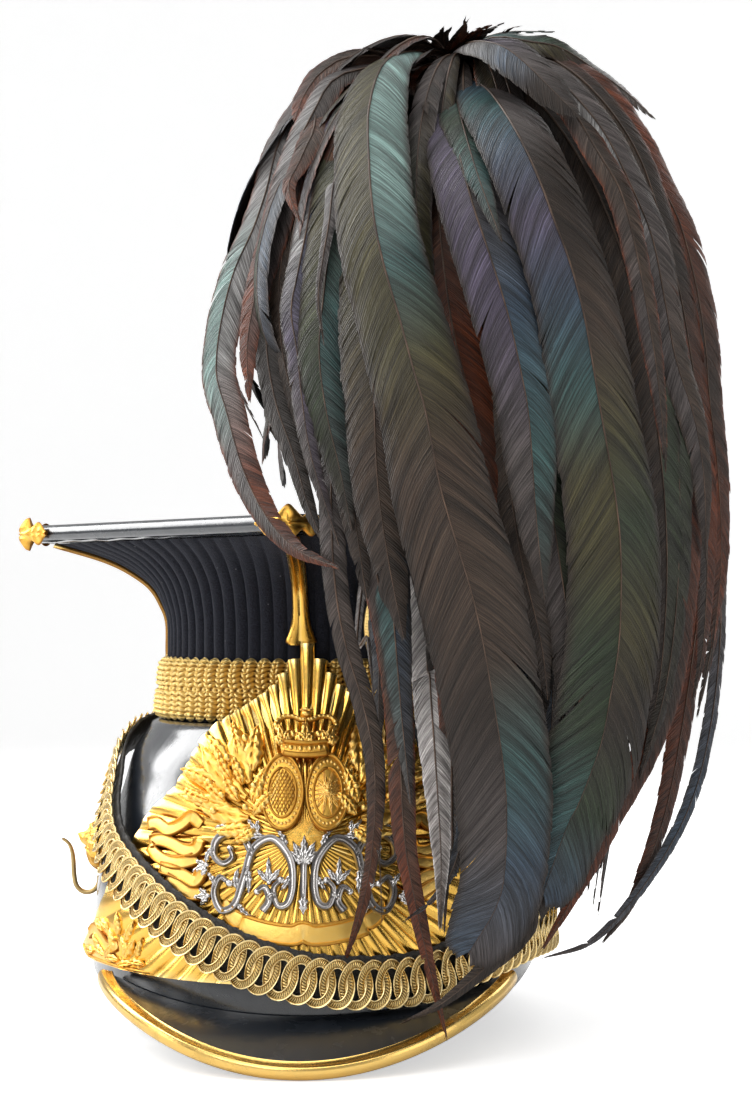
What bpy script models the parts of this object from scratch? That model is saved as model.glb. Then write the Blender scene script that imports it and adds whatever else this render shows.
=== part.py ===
"""Officer's lance cap: a leather skull with a peak, a waisted crown of ribbed cloth under a square
board, a rayed gilt plate, a chin chain and a falling plume of cock's feathers.

Units are metres and +Z is up. The cap faces -Y and the wearer's left is +X. The tables hold
millimetres and degrees. Heights are measured from the plane of the rim at the front and the sides.
Angles round the cap start at the front and grow towards the wearer's left.
"""
import math

import bmesh
import bpy
import numpy as np
from mathutils import Matrix, Vector

MM = 0.001
GAP = 0.3 * MM

# Skull, an oval dome of leather
SKULL_WALL = 2.5 * MM
SKULL_COLUMNS = 30
RIM_STRAIGHT = 6.0 * MM
BACK_REST_ARC = 50.0
BACK_SLOPE_ARC = 30.0
FRONT_DROP = 7.0 * MM
FRONT_DROP_ARC = 50.0
# (height, half width, half depth)
SHELL = [
    (-20.0, 86.0, 107.0),
    (12.0, 85.4, 105.0),
    (33.0, 83.8, 100.7),
    (50.0, 79.6, 94.2),
    (70.0, 73.8, 85.6),
    (84.0, 69.2, 79.1),
    (93.2, 63.2, 71.5),
    (119.0, 60.3, 66.3),
    (124.0, 59.6, 65.6),
]
SKULL_LEVELS = [12.0, 33.0, 50.0, 68.0, 84.0, 93.2]
SKULL_TOP = 94.2
SKULL_TOP_INSET = 2.5 * MM

# Peak, a leather crescent, and the gilt channel round its edge
PEAK_THICKNESS = 2.2 * MM
PEAK_COLUMNS = 22
PEAK_HALF_WIDTH = 76.0 * MM
PEAK_CENTRE_Y = -52.0 * MM
PEAK_REACH = 88.4 * MM
PEAK_END_HEIGHT = 3.6 * MM
PEAK_FALL = 21.0 * MM
PEAK_FALL_POWER = 2.2
PEAK_ROOT_GAP = 0.95 * MM
PEAK_ROOT_HEIGHT = 2.6 * MM
PEAK_ROOT_FALL = 8.0 * MM
PEAK_ARC = 80.0
PEAK_BULGE = 1.6 * MM
# Share of a turn of the outer edge at which the inner edge meets the skull
PEAK_FAN = 0.66
BINDING_LIP = 3.8 * MM
BINDING_WALL = 0.9 * MM
BINDING_NOSE = 1.2 * MM
BINDING_ROOM = 0.5 * MM

# Crown of cloth, from an oval waist to the square of the board
CROWN_TWIST = -2.5
CROWN_WALL = 2.2 * MM
CROWN_RIBS = 13
RIB_DEPTH = 1.0 * MM
# Edges of the outside for each edge of the plain inside
CROWN_INNER_STEP = 4
WAIST_HALF_WIDTH = 57.0 * MM
WAIST_HALF_DEPTH = 62.7 * MM
BOARD_CORNER = 113.0 * MM
# (height, how far the section has gone from the waist's oval to the board's square, widening)
CROWN_FLARE = [
    (94.5, 0.000, 2.7),
    (119.0, 0.000, 0.0),
    (137.0, 0.035, 0.0),
    (149.0, 0.200, 0.0),
    (157.0, 0.475, 0.0),
    (162.7, 0.818, 0.0),
]

# Board on top
BOARD_BOTTOM = 163.0 * MM
BOARD_THICKNESS = 7.0 * MM
BOARD_SIDE = 162.0 * MM
BOARD_CORNER_ROUND = 5.0 * MM
BOARD_EDGE_ROUND = 2.8 * MM
BOARD_RIM = 14.0 * MM
BOARD_SKIN = 3.0 * MM

# Gilt leaf on each corner of the board: (distance along the edge, half height, standing)
CORNER_LEAF = [
    (-14.5, 1.6, 1.2),
    (-9.0, 4.4, 2.2),
    (-4.0, 4.0, 2.6),
    (0.0, 6.6, 3.4),
    (4.0, 4.0, 2.6),
    (9.0, 4.4, 2.2),
    (14.5, 1.6, 1.2),
]
LEAF_SEAT = 0.8 * MM
CORNER_NAMES = ["front", "left", "back", "right"]
STRIP_RADIUS = {"front": 2.4 * MM, "left": 1.6 * MM, "back": 1.6 * MM, "right": 1.6 * MM}
STRIP_FOOT = {"front": 127.0, "left": 120.5, "back": 120.5, "right": 120.5}
STRIP_HEIGHTS = [135.0, 142.0, 148.0, 153.0, 157.0, 160.0, 162.7]
STRIP_SEAT = 0.9 * MM
STRIP_SIDES = 6

# Waist band of gold gimp: (height on the band, standing)
BAND_FOOT = 94.6 * MM
BAND_LOBES = 34
BAND_SEAT = 0.9 * MM
BAND_SCALLOP = 1.3 * MM
BAND_VALLEY = 0.55
BAND_BACK_INSET = 2.0
BAND_BACK_SEAT = 0.7 * MM
BAND_SHAPE = [
    (0.0, 0.6),
    (3.0, 2.3),
    (9.0, 2.7),
    (12.0, 1.6),
    (15.0, 2.7),
    (21.0, 2.3),
    (24.0, 0.6),
]

# Rayed plate: half of its outline as (angle, height), from the apex to the middle of the foot
PLATE_RAYS = 24
PLATE_CENTRE_HEIGHT = 48.6
PLATE_MM_PER_DEGREE = 1.4
PLATE_SEAT = 2.5 * MM
PLATE_THICKNESS = 0.9 * MM
PLATE_FLUTE = 0.45 * MM
PLATE_RINGS = [0.25, 0.5, 0.75, 1.0]
PLATE_TIP_START = 42.0
PLATE_TIP_ARC = 30.0
PLATE_TIP_STANDING = 1.9 * MM
PLATE_OUTLINE = [
    (0.0, 124.0),
    (12.4, 107.2),
    (23.5, 98.5),
    (33.0, 91.0),
    (35.0, 81.5),
    (39.0, 70.6),
    (47.0, 61.5),
    (52.0, 48.0),
    (58.0, 34.0),
    (63.0, 21.6),
    (72.0, 9.5),
    (67.0, 6.2),
    (40.0, 6.0),
    (0.0, 6.0),
]

# Cast relief on the plate
RELIEF_SEAT = 4.5 * MM
CORONET_SEAT = 6.9 * MM
SPRAY_SEAT = 4.9 * MM
CORONET_HEIGHT = 88.0
# Half of the coronet as (sideways, up)
CORONET_OUTLINE = [
    (0.0, -7.4), (7.5, -7.0), (7.0, -2.6), (11.0, 3.0), (10.2, 6.2), (7.2, 4.0), (5.2, 0.8),
    (3.8, 5.8), (1.8, 7.0), (1.6, 10.2), (0.0, 11.0),
]
OVAL_ANGLE = 5.9
OVAL_HEIGHT = 69.5
OVAL_HALF_WIDTH = 7.2
OVAL_HALF_HEIGHT = 13.0
OVAL_SIDES = 16
SPRAY_ANGLE = 24.0
SPRAY_HEIGHT = 71.0
# Leaf spray: (bearing from upright, length)
SPRAY_LOBES = [(-65.0, 8.0), (-30.0, 15.0), (8.0, 18.5), (48.0, 16.0), (95.0, 15.0), (150.0, 9.0),
               (205.0, 12.0), (250.0, 9.5)]
SPRAY_VALLEY = 0.55
RELIEF_HEIGHT = 2.0 * MM
RIBBON_SEAT = 4.1 * MM
RIBBON_HEIGHT = 22.6
RIBBON_ARC = 15.5
RIBBON_RISE = 3.4
RIBBON_HALF = 3.6 * MM
RIBBON_THICKNESS = 1.0 * MM
RIBBON_STATIONS = 9
# Folded scroll: (angle, height), from its upper end to its lower end
SCROLL_ROUTE = [
    (46.5, 58.5), (40.0, 61.0), (33.5, 59.6), (28.5, 56.6), (31.0, 52.6), (37.5, 53.2), (42.0, 51.0),
    (38.5, 47.0), (32.0, 47.4), (27.5, 44.0), (29.0, 40.0),
]
SCROLL_HALF = 2.6 * MM
SCROLL_THICKNESS = 1.2 * MM
SCROLL_STATIONS = 20

# Silver scrollwork: (angle, height) of one side, from its inner curl over the top to its outer curl
SILVER_RADIUS = 1.1 * MM
SILVER_SIDES = 5
SILVER_SCROLL_STATIONS = 24
SILVER_SEAT = 3.8 * MM
SILVER_ROUTE = [
    (5.3, 40.4), (6.9, 37.4), (5.9, 32.4), (3.6, 33.0), (2.5, 38.9), (3.3, 47.5), (7.4, 54.0),
    (11.9, 50.4), (13.9, 41.2), (16.0, 32.4), (19.3, 30.2), (21.3, 35.4), (20.0, 40.6), (17.7, 39.0),
]
# Silver bud between the scrolls, half of it as (sideways, up)
SILVER_BUD_HEIGHT = 42.0
SILVER_BUD_SEAT = 4.2 * MM
SILVER_BUD_OUTLINE = [
    (0.0, -13.0), (2.2, -11.0), (1.6, -8.4), (1.3, 0.0), (1.5, 4.5), (4.6, 7.4), (6.0, 11.4),
    (3.2, 10.6), (2.2, 13.0), (0.0, 14.0),
]

# Chin chain and its backing strap: (angle, height, standing of the strap off the skull)
CHAIN_ROUTE = [
    (-140.0, 83.0, 2.2),
    (-112.0, 85.0, 2.0),
    (-92.0, 83.0, 2.6),
    (-75.0, 70.0, 3.6),
    (-66.0, 57.0, 4.6),
    (-57.5, 46.5, 5.0),
    (-47.0, 38.0, 5.0),
    (-37.0, 30.6, 5.0),
    (-24.0, 20.6, 5.4),
    (-12.0, 13.0, 5.6),
    (0.0, 8.2, 5.6),
    (12.0, 6.4, 5.4),
    (26.0, 7.0, 5.2),
    (43.0, 12.2, 5.4),
    (60.0, 15.8, 6.0),
    (80.0, 16.0, 6.3),
    (98.0, 21.0, 3.0),
    (118.0, 42.0, 1.8),
    (145.0, 69.0, 2.0),
    (180.0, 80.0, 2.4),
]
CHAIN_STATIONS = 82
CHAIN_HALF_WIDTH = 8.6 * MM
CHAIN_SCALLOP = 1.2 * MM
CHAIN_THICKNESS = 3.4 * MM
STRAP_STATIONS = 44
STRAP_HALF_WIDTH = 8.2 * MM
STRAP_SHIFT = 1.6 * MM
STRAP_THICKNESS = 1.2 * MM

# Lion mask boss on each side: (radius, standing)
BOSS_ANGLE = 95.0
BOSS_HEIGHT = 45.0
BOSS_SIDES = 14
BOSS_LOBE = 0.9 * MM
BOSS_SHAPE = [(12.3, 0.0), (12.3, 1.6), (10.6, 5.6), (7.6, 8.6), (4.6, 11.4), (1.6, 12.4)]
# Hook under the boss on the wearer's right: (out from the middle plane, height)
HOOK_RADIUS = 0.95 * MM
HOOK_Y = 8.0 * MM
HOOK_SIDES = 6
HOOK_STATIONS = 18
HOOK_ROUTE = [
    (85.5, 30.9), (85.7, 28.2), (87.2, 25.6), (89.6, 24.4), (92.4, 24.8), (94.7, 27.2), (95.6, 31.6),
    (95.9, 37.2), (96.6, 41.2), (98.0, 43.9), (100.4, 45.7),
]

# Bullion rosette and the plume's socket, on the side of the crown between two corners
PLUME_SIDE_ANGLE = 42.5
ROSETTE_ANGLE = 36.0
ROSETTE_HEIGHT = 134.0 * MM
ROSETTE_SEAT = 70.5 * MM
ROSETTE_LEAN = 12.0
# (radius, standing)
ROSETTE_SHAPE = [(25.0, 0.0), (27.0, 1.6), (25.5, 3.4), (20.0, 3.4), (12.0, 5.6), (0.0, 7.2)]
ROSETTE_SIDES = 20
SOCKET_FOOT = (81.6, 138.0)
SOCKET_HEAD = (86.6, 186.0)
SOCKET_RADII = (2.9, 4.6)
SOCKET_SIDES = 12

# Plume: the wound head that the feathers are tied to, as (height, radius)
HEAD_SHAPE = [(186.9, 3.2), (250.0, 4.0), (285.0, 7.5), (310.0, 9.4), (334.0, 9.0), (345.0, 4.0)]
HEAD_SIDES = 12
LOCK_STATIONS = 8
LOCK_THICKNESS = 1.3
LOCK_ROOT = 5.5
# Layers of locks: name, (height of the root, rise, reach and height of the shoulder)
LOCK_LAYERS = {
    "outer": (333.0, 402.0, 146.0, 268.0),
    "middle": (313.0, 372.0, 126.0, 240.0),
    "inner": (294.0, 342.0, 98.0, 212.0),
    "short": (322.0, 388.0, 122.0, 300.0),
}
# A row for each lock: (layer, bearing from straight out, reach of the tip, its height, width)
LOCKS = [
    ("outer", -88.0, 70.0, 76.0, 25.0),
    ("outer", -62.0, 70.0, 36.0, 28.0),
    ("outer", -37.0, 68.0, 20.0, 28.0),
    ("outer", -12.0, 70.0, 30.0, 30.0),
    ("outer", 13.0, 74.0, 6.0, 30.0),
    ("outer", 39.0, 78.0, -8.0, 30.0),
    ("outer", 65.0, 82.0, 24.0, 28.0),
    ("outer", 90.0, 92.0, 150.0, 24.0),
    ("middle", -75.0, 56.0, 92.0, 22.0),
    ("middle", -49.0, 54.0, 66.0, 24.0),
    ("middle", -24.0, 54.0, 50.0, 24.0),
    ("middle", 1.0, 58.0, 40.0, 25.0),
    ("middle", 26.0, 63.0, 30.0, 25.0),
    ("middle", 52.0, 68.0, 48.0, 24.0),
    ("middle", 78.0, 74.0, 84.0, 20.0),
    ("inner", -60.0, 42.0, 112.0, 18.0),
    ("inner", -20.0, 40.0, 96.0, 20.0),
    ("inner", 20.0, 44.0, 92.0, 20.0),
    ("inner", 60.0, 52.0, 104.0, 18.0),
    ("short", -113.0, 90.0, 196.0, 24.0),
    ("short", -137.0, 82.0, 188.0, 24.0),
    ("short", -161.0, 78.0, 186.0, 24.0),
    ("short", 175.0, 78.0, 184.0, 24.0),
    ("short", 151.0, 80.0, 188.0, 24.0),
    ("short", 127.0, 84.0, 186.0, 24.0),
    ("short", 108.0, 94.0, 166.0, 20.0),
]

for leftover in list(bpy.data.objects):
    bpy.data.objects.remove(leftover, do_unlink=True)

parts = bpy.data.collections.new("lance_cap")
cutters = bpy.data.collections.new("cutters")
plume_locks = bpy.data.collections.new("plume_locks")
for collection in (parts, cutters, plume_locks):
    bpy.context.scene.collection.children.link(collection)
base = bpy.data.objects.new("cap_base", None)
parts.objects.link(base)


def material(name, colour, roughness, metallic=0.0):
    """Principled material with one colour."""
    made = bpy.data.materials.new(name)
    made.use_nodes = True
    shader = made.node_tree.nodes["Principled BSDF"]
    shader.inputs["Base Color"].default_value = (*colour, 1.0)
    shader.inputs["Roughness"].default_value = roughness
    shader.inputs["Metallic"].default_value = metallic
    return made


patent = material("patent_leather", (0.016, 0.020, 0.027), 0.18)
cloth = material("crown_cloth", (0.010, 0.011, 0.017), 0.95)
gilt = material("gilt", (0.83, 0.54, 0.14), 0.28, 1.0)
brass = material("tarnished_brass", (0.62, 0.43, 0.14), 0.35, 1.0)
gimp = material("gold_gimp", (0.80, 0.58, 0.22), 0.5, 0.8)
silver = material("oxidised_silver", (0.38, 0.36, 0.35), 0.35, 1.0)
strap_leather = material("strap_leather", (0.03, 0.028, 0.026), 0.7)
feather = material("feather", (0.030, 0.034, 0.028), 0.4)


def add_part(name, bm, finish, smooth=40.0):
    """Object of the cap from a bmesh, with its faces turned outwards."""
    bmesh.ops.recalc_face_normals(bm, faces=bm.faces)
    mesh = bpy.data.meshes.new(name)
    bm.to_mesh(mesh)
    bm.free()
    mesh.materials.append(finish)
    mesh.shade_smooth()
    mesh.set_sharp_from_angle(angle=math.radians(smooth))
    part = bpy.data.objects.new(name, mesh)
    parts.objects.link(part)
    part.parent = base
    return part


def loft(name, rings, finish, loop=False, smooth=40.0):
    """Closed solid through rings of points; a loop joins its last ring to its first."""
    bm = bmesh.new()
    rows = [[bm.verts.new(point) for point in ring] for ring in rings]
    spans = list(zip(rows, rows[1:]))
    if loop:
        spans.append((rows[-1], rows[0]))
    for near, far in spans:
        for i in range(len(near)):
            j = (i + 1) % len(near)
            bm.faces.new((near[i], near[j], far[j], far[i]))
    if not loop:
        bm.faces.new(rows[0])
        bm.faces.new(rows[-1])
    return add_part(name, bm, finish, smooth)


def smooth_route(rows, count, loop=False):
    """Rows read evenly from a smooth curve through them, as a numpy array."""
    knots = np.array(rows, dtype=float)
    if loop:
        last_turn = np.vstack([knots[-2:], knots, knots[:3]])
        last_turn[:2, 0] -= 360.0
        last_turn[-3:, 0] += 360.0
        knots = last_turn
        first, spans = 1 + 1, len(rows)
    else:
        knots = np.vstack([2 * knots[0] - knots[1], knots, 2 * knots[-1] - knots[-2]])
        first, spans = 1, len(rows) - 1
    steps = np.linspace(0.0, spans, count, endpoint=not loop)
    out = []
    for step in steps:
        k = min(int(step), spans - 1)
        t = step - k
        a, b, c, d = knots[first + k - 1: first + k + 3]
        out.append(0.5 * (2 * b + (c - a) * t + (2 * a - 5 * b + 4 * c - d) * t * t
                          + (3 * b - a - 3 * c + d) * t ** 3))
    return np.array(out)


def direction(angle):
    """Level unit vector at an angle round the cap, in degrees."""
    turn = math.radians(angle)
    return Vector((math.sin(turn), -math.cos(turn), 0.0))


def shell_point(angle, height, standing=0.0):
    """Point on the oval of the skull at an angle and a height in mm, pushed out by standing."""
    levels = [row[0] for row in SHELL]
    wide = np.interp(height, levels, [row[1] for row in SHELL]) * MM + standing
    deep = np.interp(height, levels, [row[2] for row in SHELL]) * MM + standing
    level = direction(angle)
    return Vector((wide * level.x, deep * level.y, height * MM))


def shell_normal(angle, height):
    """Outward unit normal of the skull's surface."""
    around = shell_point(angle + 1.0, height) - shell_point(angle - 1.0, height)
    upward = shell_point(angle, height + 5.0) - shell_point(angle, height - 5.0)
    return around.cross(upward).normalized()


def standing_point(angle, height, standing):
    """Point off the skull's surface along its normal."""
    return shell_point(angle, height) + shell_normal(angle, height) * standing


def eased(share):
    """Share held between 0 and 1, with a soft start and end."""
    share = min(max(share, 0.0), 1.0)
    return share * share * (3.0 - 2.0 * share)


def rim_level(angle, back_level):
    """Height of the rim: level at the sides, down behind the peak and at the back."""
    from_front = abs((angle + 180.0) % 360.0 - 180.0)
    back = eased((BACK_REST_ARC + BACK_SLOPE_ARC - (180.0 - from_front)) / BACK_SLOPE_ARC)
    front = eased((FRONT_DROP_ARC + BACK_SLOPE_ARC - from_front) / BACK_SLOPE_ARC)
    return back_level * back - FRONT_DROP * front


def peak_edge(turn):
    """Outer edge of the peak at a turn in degrees, 0 at the front."""
    swing = math.radians(turn)
    fall = PEAK_FALL * max(math.cos(swing), 0.0) ** PEAK_FALL_POWER
    return Vector((PEAK_HALF_WIDTH * math.sin(swing), PEAK_CENTRE_Y - PEAK_REACH * math.cos(swing),
                   PEAK_END_HEIGHT - fall))


def peak_root(turn):
    """Inner edge of the peak, along the foot of the skull."""
    root = shell_point(turn * PEAK_FAN, 0.0, PEAK_ROOT_GAP)
    root.z = PEAK_ROOT_HEIGHT - PEAK_ROOT_FALL * math.cos(math.radians(turn))
    return root


def peak_turns():
    return [PEAK_ARC * (2.0 * i / PEAK_COLUMNS - 1.0) for i in range(PEAK_COLUMNS + 1)]


def build_peak():
    bm = bmesh.new()
    rows = []
    for turn in peak_turns():
        root, edge = peak_root(turn), peak_edge(turn)
        middle = (root + edge) / 2 + Vector((0.0, 0.0, PEAK_BULGE * math.cos(math.radians(turn))))
        rows.append([bm.verts.new(point) for point in (root, middle, edge)])
    for near, far in zip(rows, rows[1:]):
        for i in range(2):
            bm.faces.new((near[i], near[i + 1], far[i + 1], far[i]))
    peak = add_part("peak", bm, patent)
    shell = peak.modifiers.new("thickness", "SOLIDIFY")
    shell.thickness = PEAK_THICKNESS
    shell.offset = 0.0
    return peak


def build_peak_binding():
    """Gilt channel that grips the edge of the peak."""
    half = PEAK_THICKNESS / 2 + BINDING_ROOM
    outer = half + BINDING_WALL
    profile = [(-BINDING_LIP, half), (-BINDING_LIP, outer), (BINDING_NOSE * 0.6, outer),
               (BINDING_NOSE + GAP, outer * 0.45), (BINDING_NOSE + GAP, -outer * 0.45),
               (BINDING_NOSE * 0.6, -outer), (-BINDING_LIP, -outer), (-BINDING_LIP, -half),
               (GAP, -half), (GAP, half)]
    rings = []
    for turn in peak_turns():
        edge = peak_edge(turn)
        along = (peak_edge(turn + 1.0) - peak_edge(turn - 1.0)).normalized()
        middle = (peak_root(turn) + edge) / 2
        middle.z += PEAK_BULGE * math.cos(math.radians(turn))
        out = (edge - middle)
        out = (out - along * out.dot(along)).normalized()
        up = out.cross(along)
        up = up if up.z > 0.0 else -up
        rings.append([edge + out * across + up * rise for across, rise in profile])
    return loft("peak_binding", rings, brass)


def lowest_point(part):
    return min((part.matrix_world @ vertex.co).z for vertex in part.data.vertices)


def build_skull(back_level):
    """Leather dome, open below; the back of its rim comes down to the level it stands on."""
    bm = bmesh.new()
    angles = [360.0 * i / SKULL_COLUMNS for i in range(SKULL_COLUMNS)]
    rims = [rim_level(angle, back_level) for angle in angles]
    foot = []
    second = []
    for angle, rim in zip(angles, rims):
        level = direction(angle)
        wide = Vector((shell_point(90.0, 0.0).x * level.x, -shell_point(0.0, 0.0).y * level.y, 0.0))
        foot.append(bm.verts.new(wide + Vector((0.0, 0.0, rim))))
        second.append(bm.verts.new(wide + Vector((0.0, 0.0, rim + RIM_STRAIGHT))))
    rows = [foot, second]
    for height in SKULL_LEVELS:
        rows.append([bm.verts.new(shell_point(angle, height)) for angle in angles])
    for near, far in zip(rows, rows[1:]):
        for i in range(SKULL_COLUMNS):
            j = (i + 1) % SKULL_COLUMNS
            bm.faces.new((near[i], near[j], far[j], far[i]))
    shoulder = []
    for angle in angles:
        point = shell_point(angle, SKULL_LEVELS[-1], -SKULL_TOP_INSET)
        point.z = SKULL_TOP * MM
        shoulder.append(bm.verts.new(point))
    crest = bm.verts.new((0.0, 0.0, SKULL_TOP * MM))
    for i in range(SKULL_COLUMNS):
        j = (i + 1) % SKULL_COLUMNS
        bm.faces.new((rows[-1][i], rows[-1][j], shoulder[j], shoulder[i]))
        bm.faces.new((shoulder[i], shoulder[j], crest))
    skull = add_part("skull", bm, patent)
    wall = skull.modifiers.new("wall", "SOLIDIFY")
    wall.thickness = SKULL_WALL
    wall.offset = -1.0
    wall.use_even_offset = True
    return skull


def corner_angle(corner):
    return CROWN_TWIST + 90.0 * corner


def crown_value(height, column):
    return float(np.interp(height, [row[0] for row in CROWN_FLARE],
                           [row[column] for row in CROWN_FLARE]))


def crown_point(side, share, height, standing=0.0):
    """Point of the crown's section: side 0 to 3, share 0 to 1 along it, height in mm."""
    angle = corner_angle(side) + 90.0 * share
    level = direction(angle)
    widening = crown_value(height, 2) * MM + standing
    oval = Vector(((WAIST_HALF_WIDTH + widening) * level.x, (WAIST_HALF_DEPTH + widening) * level.y,
                   0.0))
    near = direction(corner_angle(side)) * BOARD_CORNER
    far = direction(corner_angle(side + 1)) * BOARD_CORNER
    square = near.lerp(far, share) + level * standing
    point = oval.lerp(square, crown_value(height, 1))
    point.z = height * MM
    return point


def build_crown():
    """Cloth wall, ribbed outside and plain inside, open at both ends."""
    bm = bmesh.new()
    steps = CROWN_RIBS * 2
    plain = 4 * steps // CROWN_INNER_STEP
    outside = []
    inside = []
    for height, _, _ in CROWN_FLARE:
        outer_ring = []
        for side in range(4):
            for i in range(steps):
                rib = RIB_DEPTH / 2 if i % 2 else -RIB_DEPTH / 2
                outer_ring.append(bm.verts.new(crown_point(side, i / steps, height, rib)))
        inner_ring = []
        for i in range(plain):
            place = i * CROWN_INNER_STEP
            inner_ring.append(bm.verts.new(crown_point(place // steps, (place % steps) / steps,
                                                       height, -CROWN_WALL)))
        outside.append(outer_ring)
        inside.append(inner_ring)
    for rings in (outside, inside):
        for near, far in zip(rings, rings[1:]):
            for i in range(len(near)):
                j = (i + 1) % len(near)
                bm.faces.new((near[i], near[j], far[j], far[i]))
    for outer_ring, inner_ring in ((outside[0], inside[0]), (outside[-1], inside[-1])):
        for i, inner in enumerate(inner_ring):
            following = inner_ring[(i + 1) % plain]
            fan = [outer_ring[(i * CROWN_INNER_STEP + k) % len(outer_ring)]
                   for k in range(CROWN_INNER_STEP + 1)]
            half = CROWN_INNER_STEP // 2
            for k in range(CROWN_INNER_STEP):
                bm.faces.new((inner if k < half else following, fan[k], fan[k + 1]))
            bm.faces.new((inner, fan[half], following))
    return add_part("crown_cloth", bm, cloth)


def build_board():
    """Square board with a rolled leather edge, hollow on its underside."""
    def block(side, height, middle):
        bm = bmesh.new()
        bmesh.ops.create_cube(bm, size=1.0)
        bmesh.ops.scale(bm, vec=(side, side, height), verts=bm.verts)
        bmesh.ops.rotate(bm, verts=bm.verts, matrix=Matrix.Rotation(
            math.radians(45.0 + CROWN_TWIST), 3, "Z"))
        bmesh.ops.translate(bm, vec=(0.0, 0.0, middle), verts=bm.verts)
        return bm

    bm = block(BOARD_SIDE, BOARD_THICKNESS, BOARD_BOTTOM + BOARD_THICKNESS / 2)
    upright = [edge for edge in bm.edges
               if abs(edge.verts[0].co.z - edge.verts[1].co.z) > BOARD_THICKNESS / 2]
    bmesh.ops.bevel(bm, geom=upright, offset=BOARD_CORNER_ROUND, segments=3, profile=0.5,
                    affect="EDGES")
    board = add_part("top_board", bm, patent)
    hollow = block(BOARD_SIDE - 2 * BOARD_RIM, 2 * (BOARD_THICKNESS - BOARD_SKIN), BOARD_BOTTOM)
    cutter = add_part("board_hollow", hollow, patent)
    parts.objects.unlink(cutter)
    cutters.objects.link(cutter)
    cutter.hide_render = True
    cutter.display_type = "WIRE"
    cut = board.modifiers.new("hollow", "BOOLEAN")
    cut.operation = "DIFFERENCE"
    cut.solver = "EXACT"
    cut.object = cutter
    edge = board.modifiers.new("rolled_edge", "BEVEL")
    edge.width = BOARD_EDGE_ROUND
    edge.segments = 2
    edge.limit_method = "ANGLE"
    edge.angle_limit = math.radians(60.0)
    return board


def board_edge(corner, distance):
    """Point on the board's outline and its outward direction, along the edge from a corner."""
    outward = direction(corner_angle(corner))
    along = direction(corner_angle(corner) + 90.0)
    round_radius = BOARD_CORNER_ROUND
    centre = outward * (BOARD_SIDE / math.sqrt(2.0) - round_radius * math.sqrt(2.0))
    quarter = round_radius * math.pi / 4
    if abs(distance) <= quarter:
        facing = direction(corner_angle(corner) + math.degrees(distance / round_radius))
        return centre + facing * round_radius, facing
    side = math.copysign(1.0, distance)
    facing = (outward + along * side).normalized()
    run = (along * side - outward).normalized()
    return centre + facing * round_radius + run * (abs(distance) - quarter), facing


def build_corner_leaf(corner):
    middle = BOARD_BOTTOM + BOARD_THICKNESS / 2
    rings = []
    for distance, half_height, standing in CORNER_LEAF:
        point, facing = board_edge(corner, distance * MM)
        half_height *= MM
        standing *= MM
        rings.append([point + facing * (LEAF_SEAT + out) + Vector((0.0, 0.0, middle + rise))
                      for out, rise in ((0.0, -half_height), (0.0, half_height),
                                        (standing * 0.7, half_height * 0.8), (standing, 0.0),
                                        (standing * 0.7, -half_height * 0.8))])
    return loft("corner_leaf_" + CORNER_NAMES[corner], rings, gilt)


def tube(name, points, radius, finish, sides, upward):
    """Round bar along a route of points; radius may be one value or one for each point."""
    radii = radius if isinstance(radius, (list, tuple)) else [radius] * len(points)
    rings = []
    for i, point in enumerate(points):
        near, far = points[max(i - 1, 0)], points[min(i + 1, len(points) - 1)]
        along = (far - near).normalized()
        across = along.cross(upward).normalized()
        rise = across.cross(along)
        rings.append([point + (across * math.cos(turn) + rise * math.sin(turn)) * radii[i]
                      for turn in (math.tau * k / sides for k in range(sides))])
    return loft(name, rings, finish, smooth=70.0)


def build_corner_strip(corner):
    """Gilt strip down a corner edge of the crown, seated just off the cloth."""
    name = CORNER_NAMES[corner]
    radius = STRIP_RADIUS[name]
    level = direction(corner_angle(corner))
    points = []
    for height in [STRIP_FOOT[name]] + STRIP_HEIGHTS:
        here = crown_point(corner, 0.0, height)
        step = crown_point(corner, 0.0, height + 0.5) - crown_point(corner, 0.0, height - 0.5)
        outward = (level * step.z - Vector((0.0, 0.0, step.dot(level)))).normalized()
        points.append(here + outward * (radius + STRIP_SEAT))
    across = direction(corner_angle(corner) + 90.0)
    return tube("corner_strip_" + name, points, radius, gilt, STRIP_SIDES, across)


def build_waist_band():
    """Gimp of lobes in two rows, scalloped along both edges."""
    rings = []
    steps = BAND_LOBES * 2
    top = BAND_SHAPE[-1][0]
    for i in range(steps):
        share = 4.0 * i / steps
        side = int(share)
        crest = i % 2 == 0
        ring = []
        for rise, standing in BAND_SHAPE:
            height = BAND_FOOT / MM + rise
            out = BAND_SEAT + standing * MM * (1.0 if crest else BAND_VALLEY)
            point = crown_point(side, share - side, height, out)
            if rise in (0.0, top) and not crest:
                point.z += BAND_SCALLOP if rise == 0.0 else -BAND_SCALLOP
            ring.append(point)
        for rise in (top - BAND_BACK_INSET, BAND_BACK_INSET):
            ring.append(crown_point(side, share - side, BAND_FOOT / MM + rise, BAND_BACK_SEAT))
        rings.append(ring)
    return loft("waist_band", rings, gimp, loop=True)


def plate_standing(angle):
    beyond = max(abs(angle) - PLATE_TIP_START, 0.0) / PLATE_TIP_ARC
    return PLATE_SEAT + PLATE_TIP_STANDING * beyond * beyond


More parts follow.
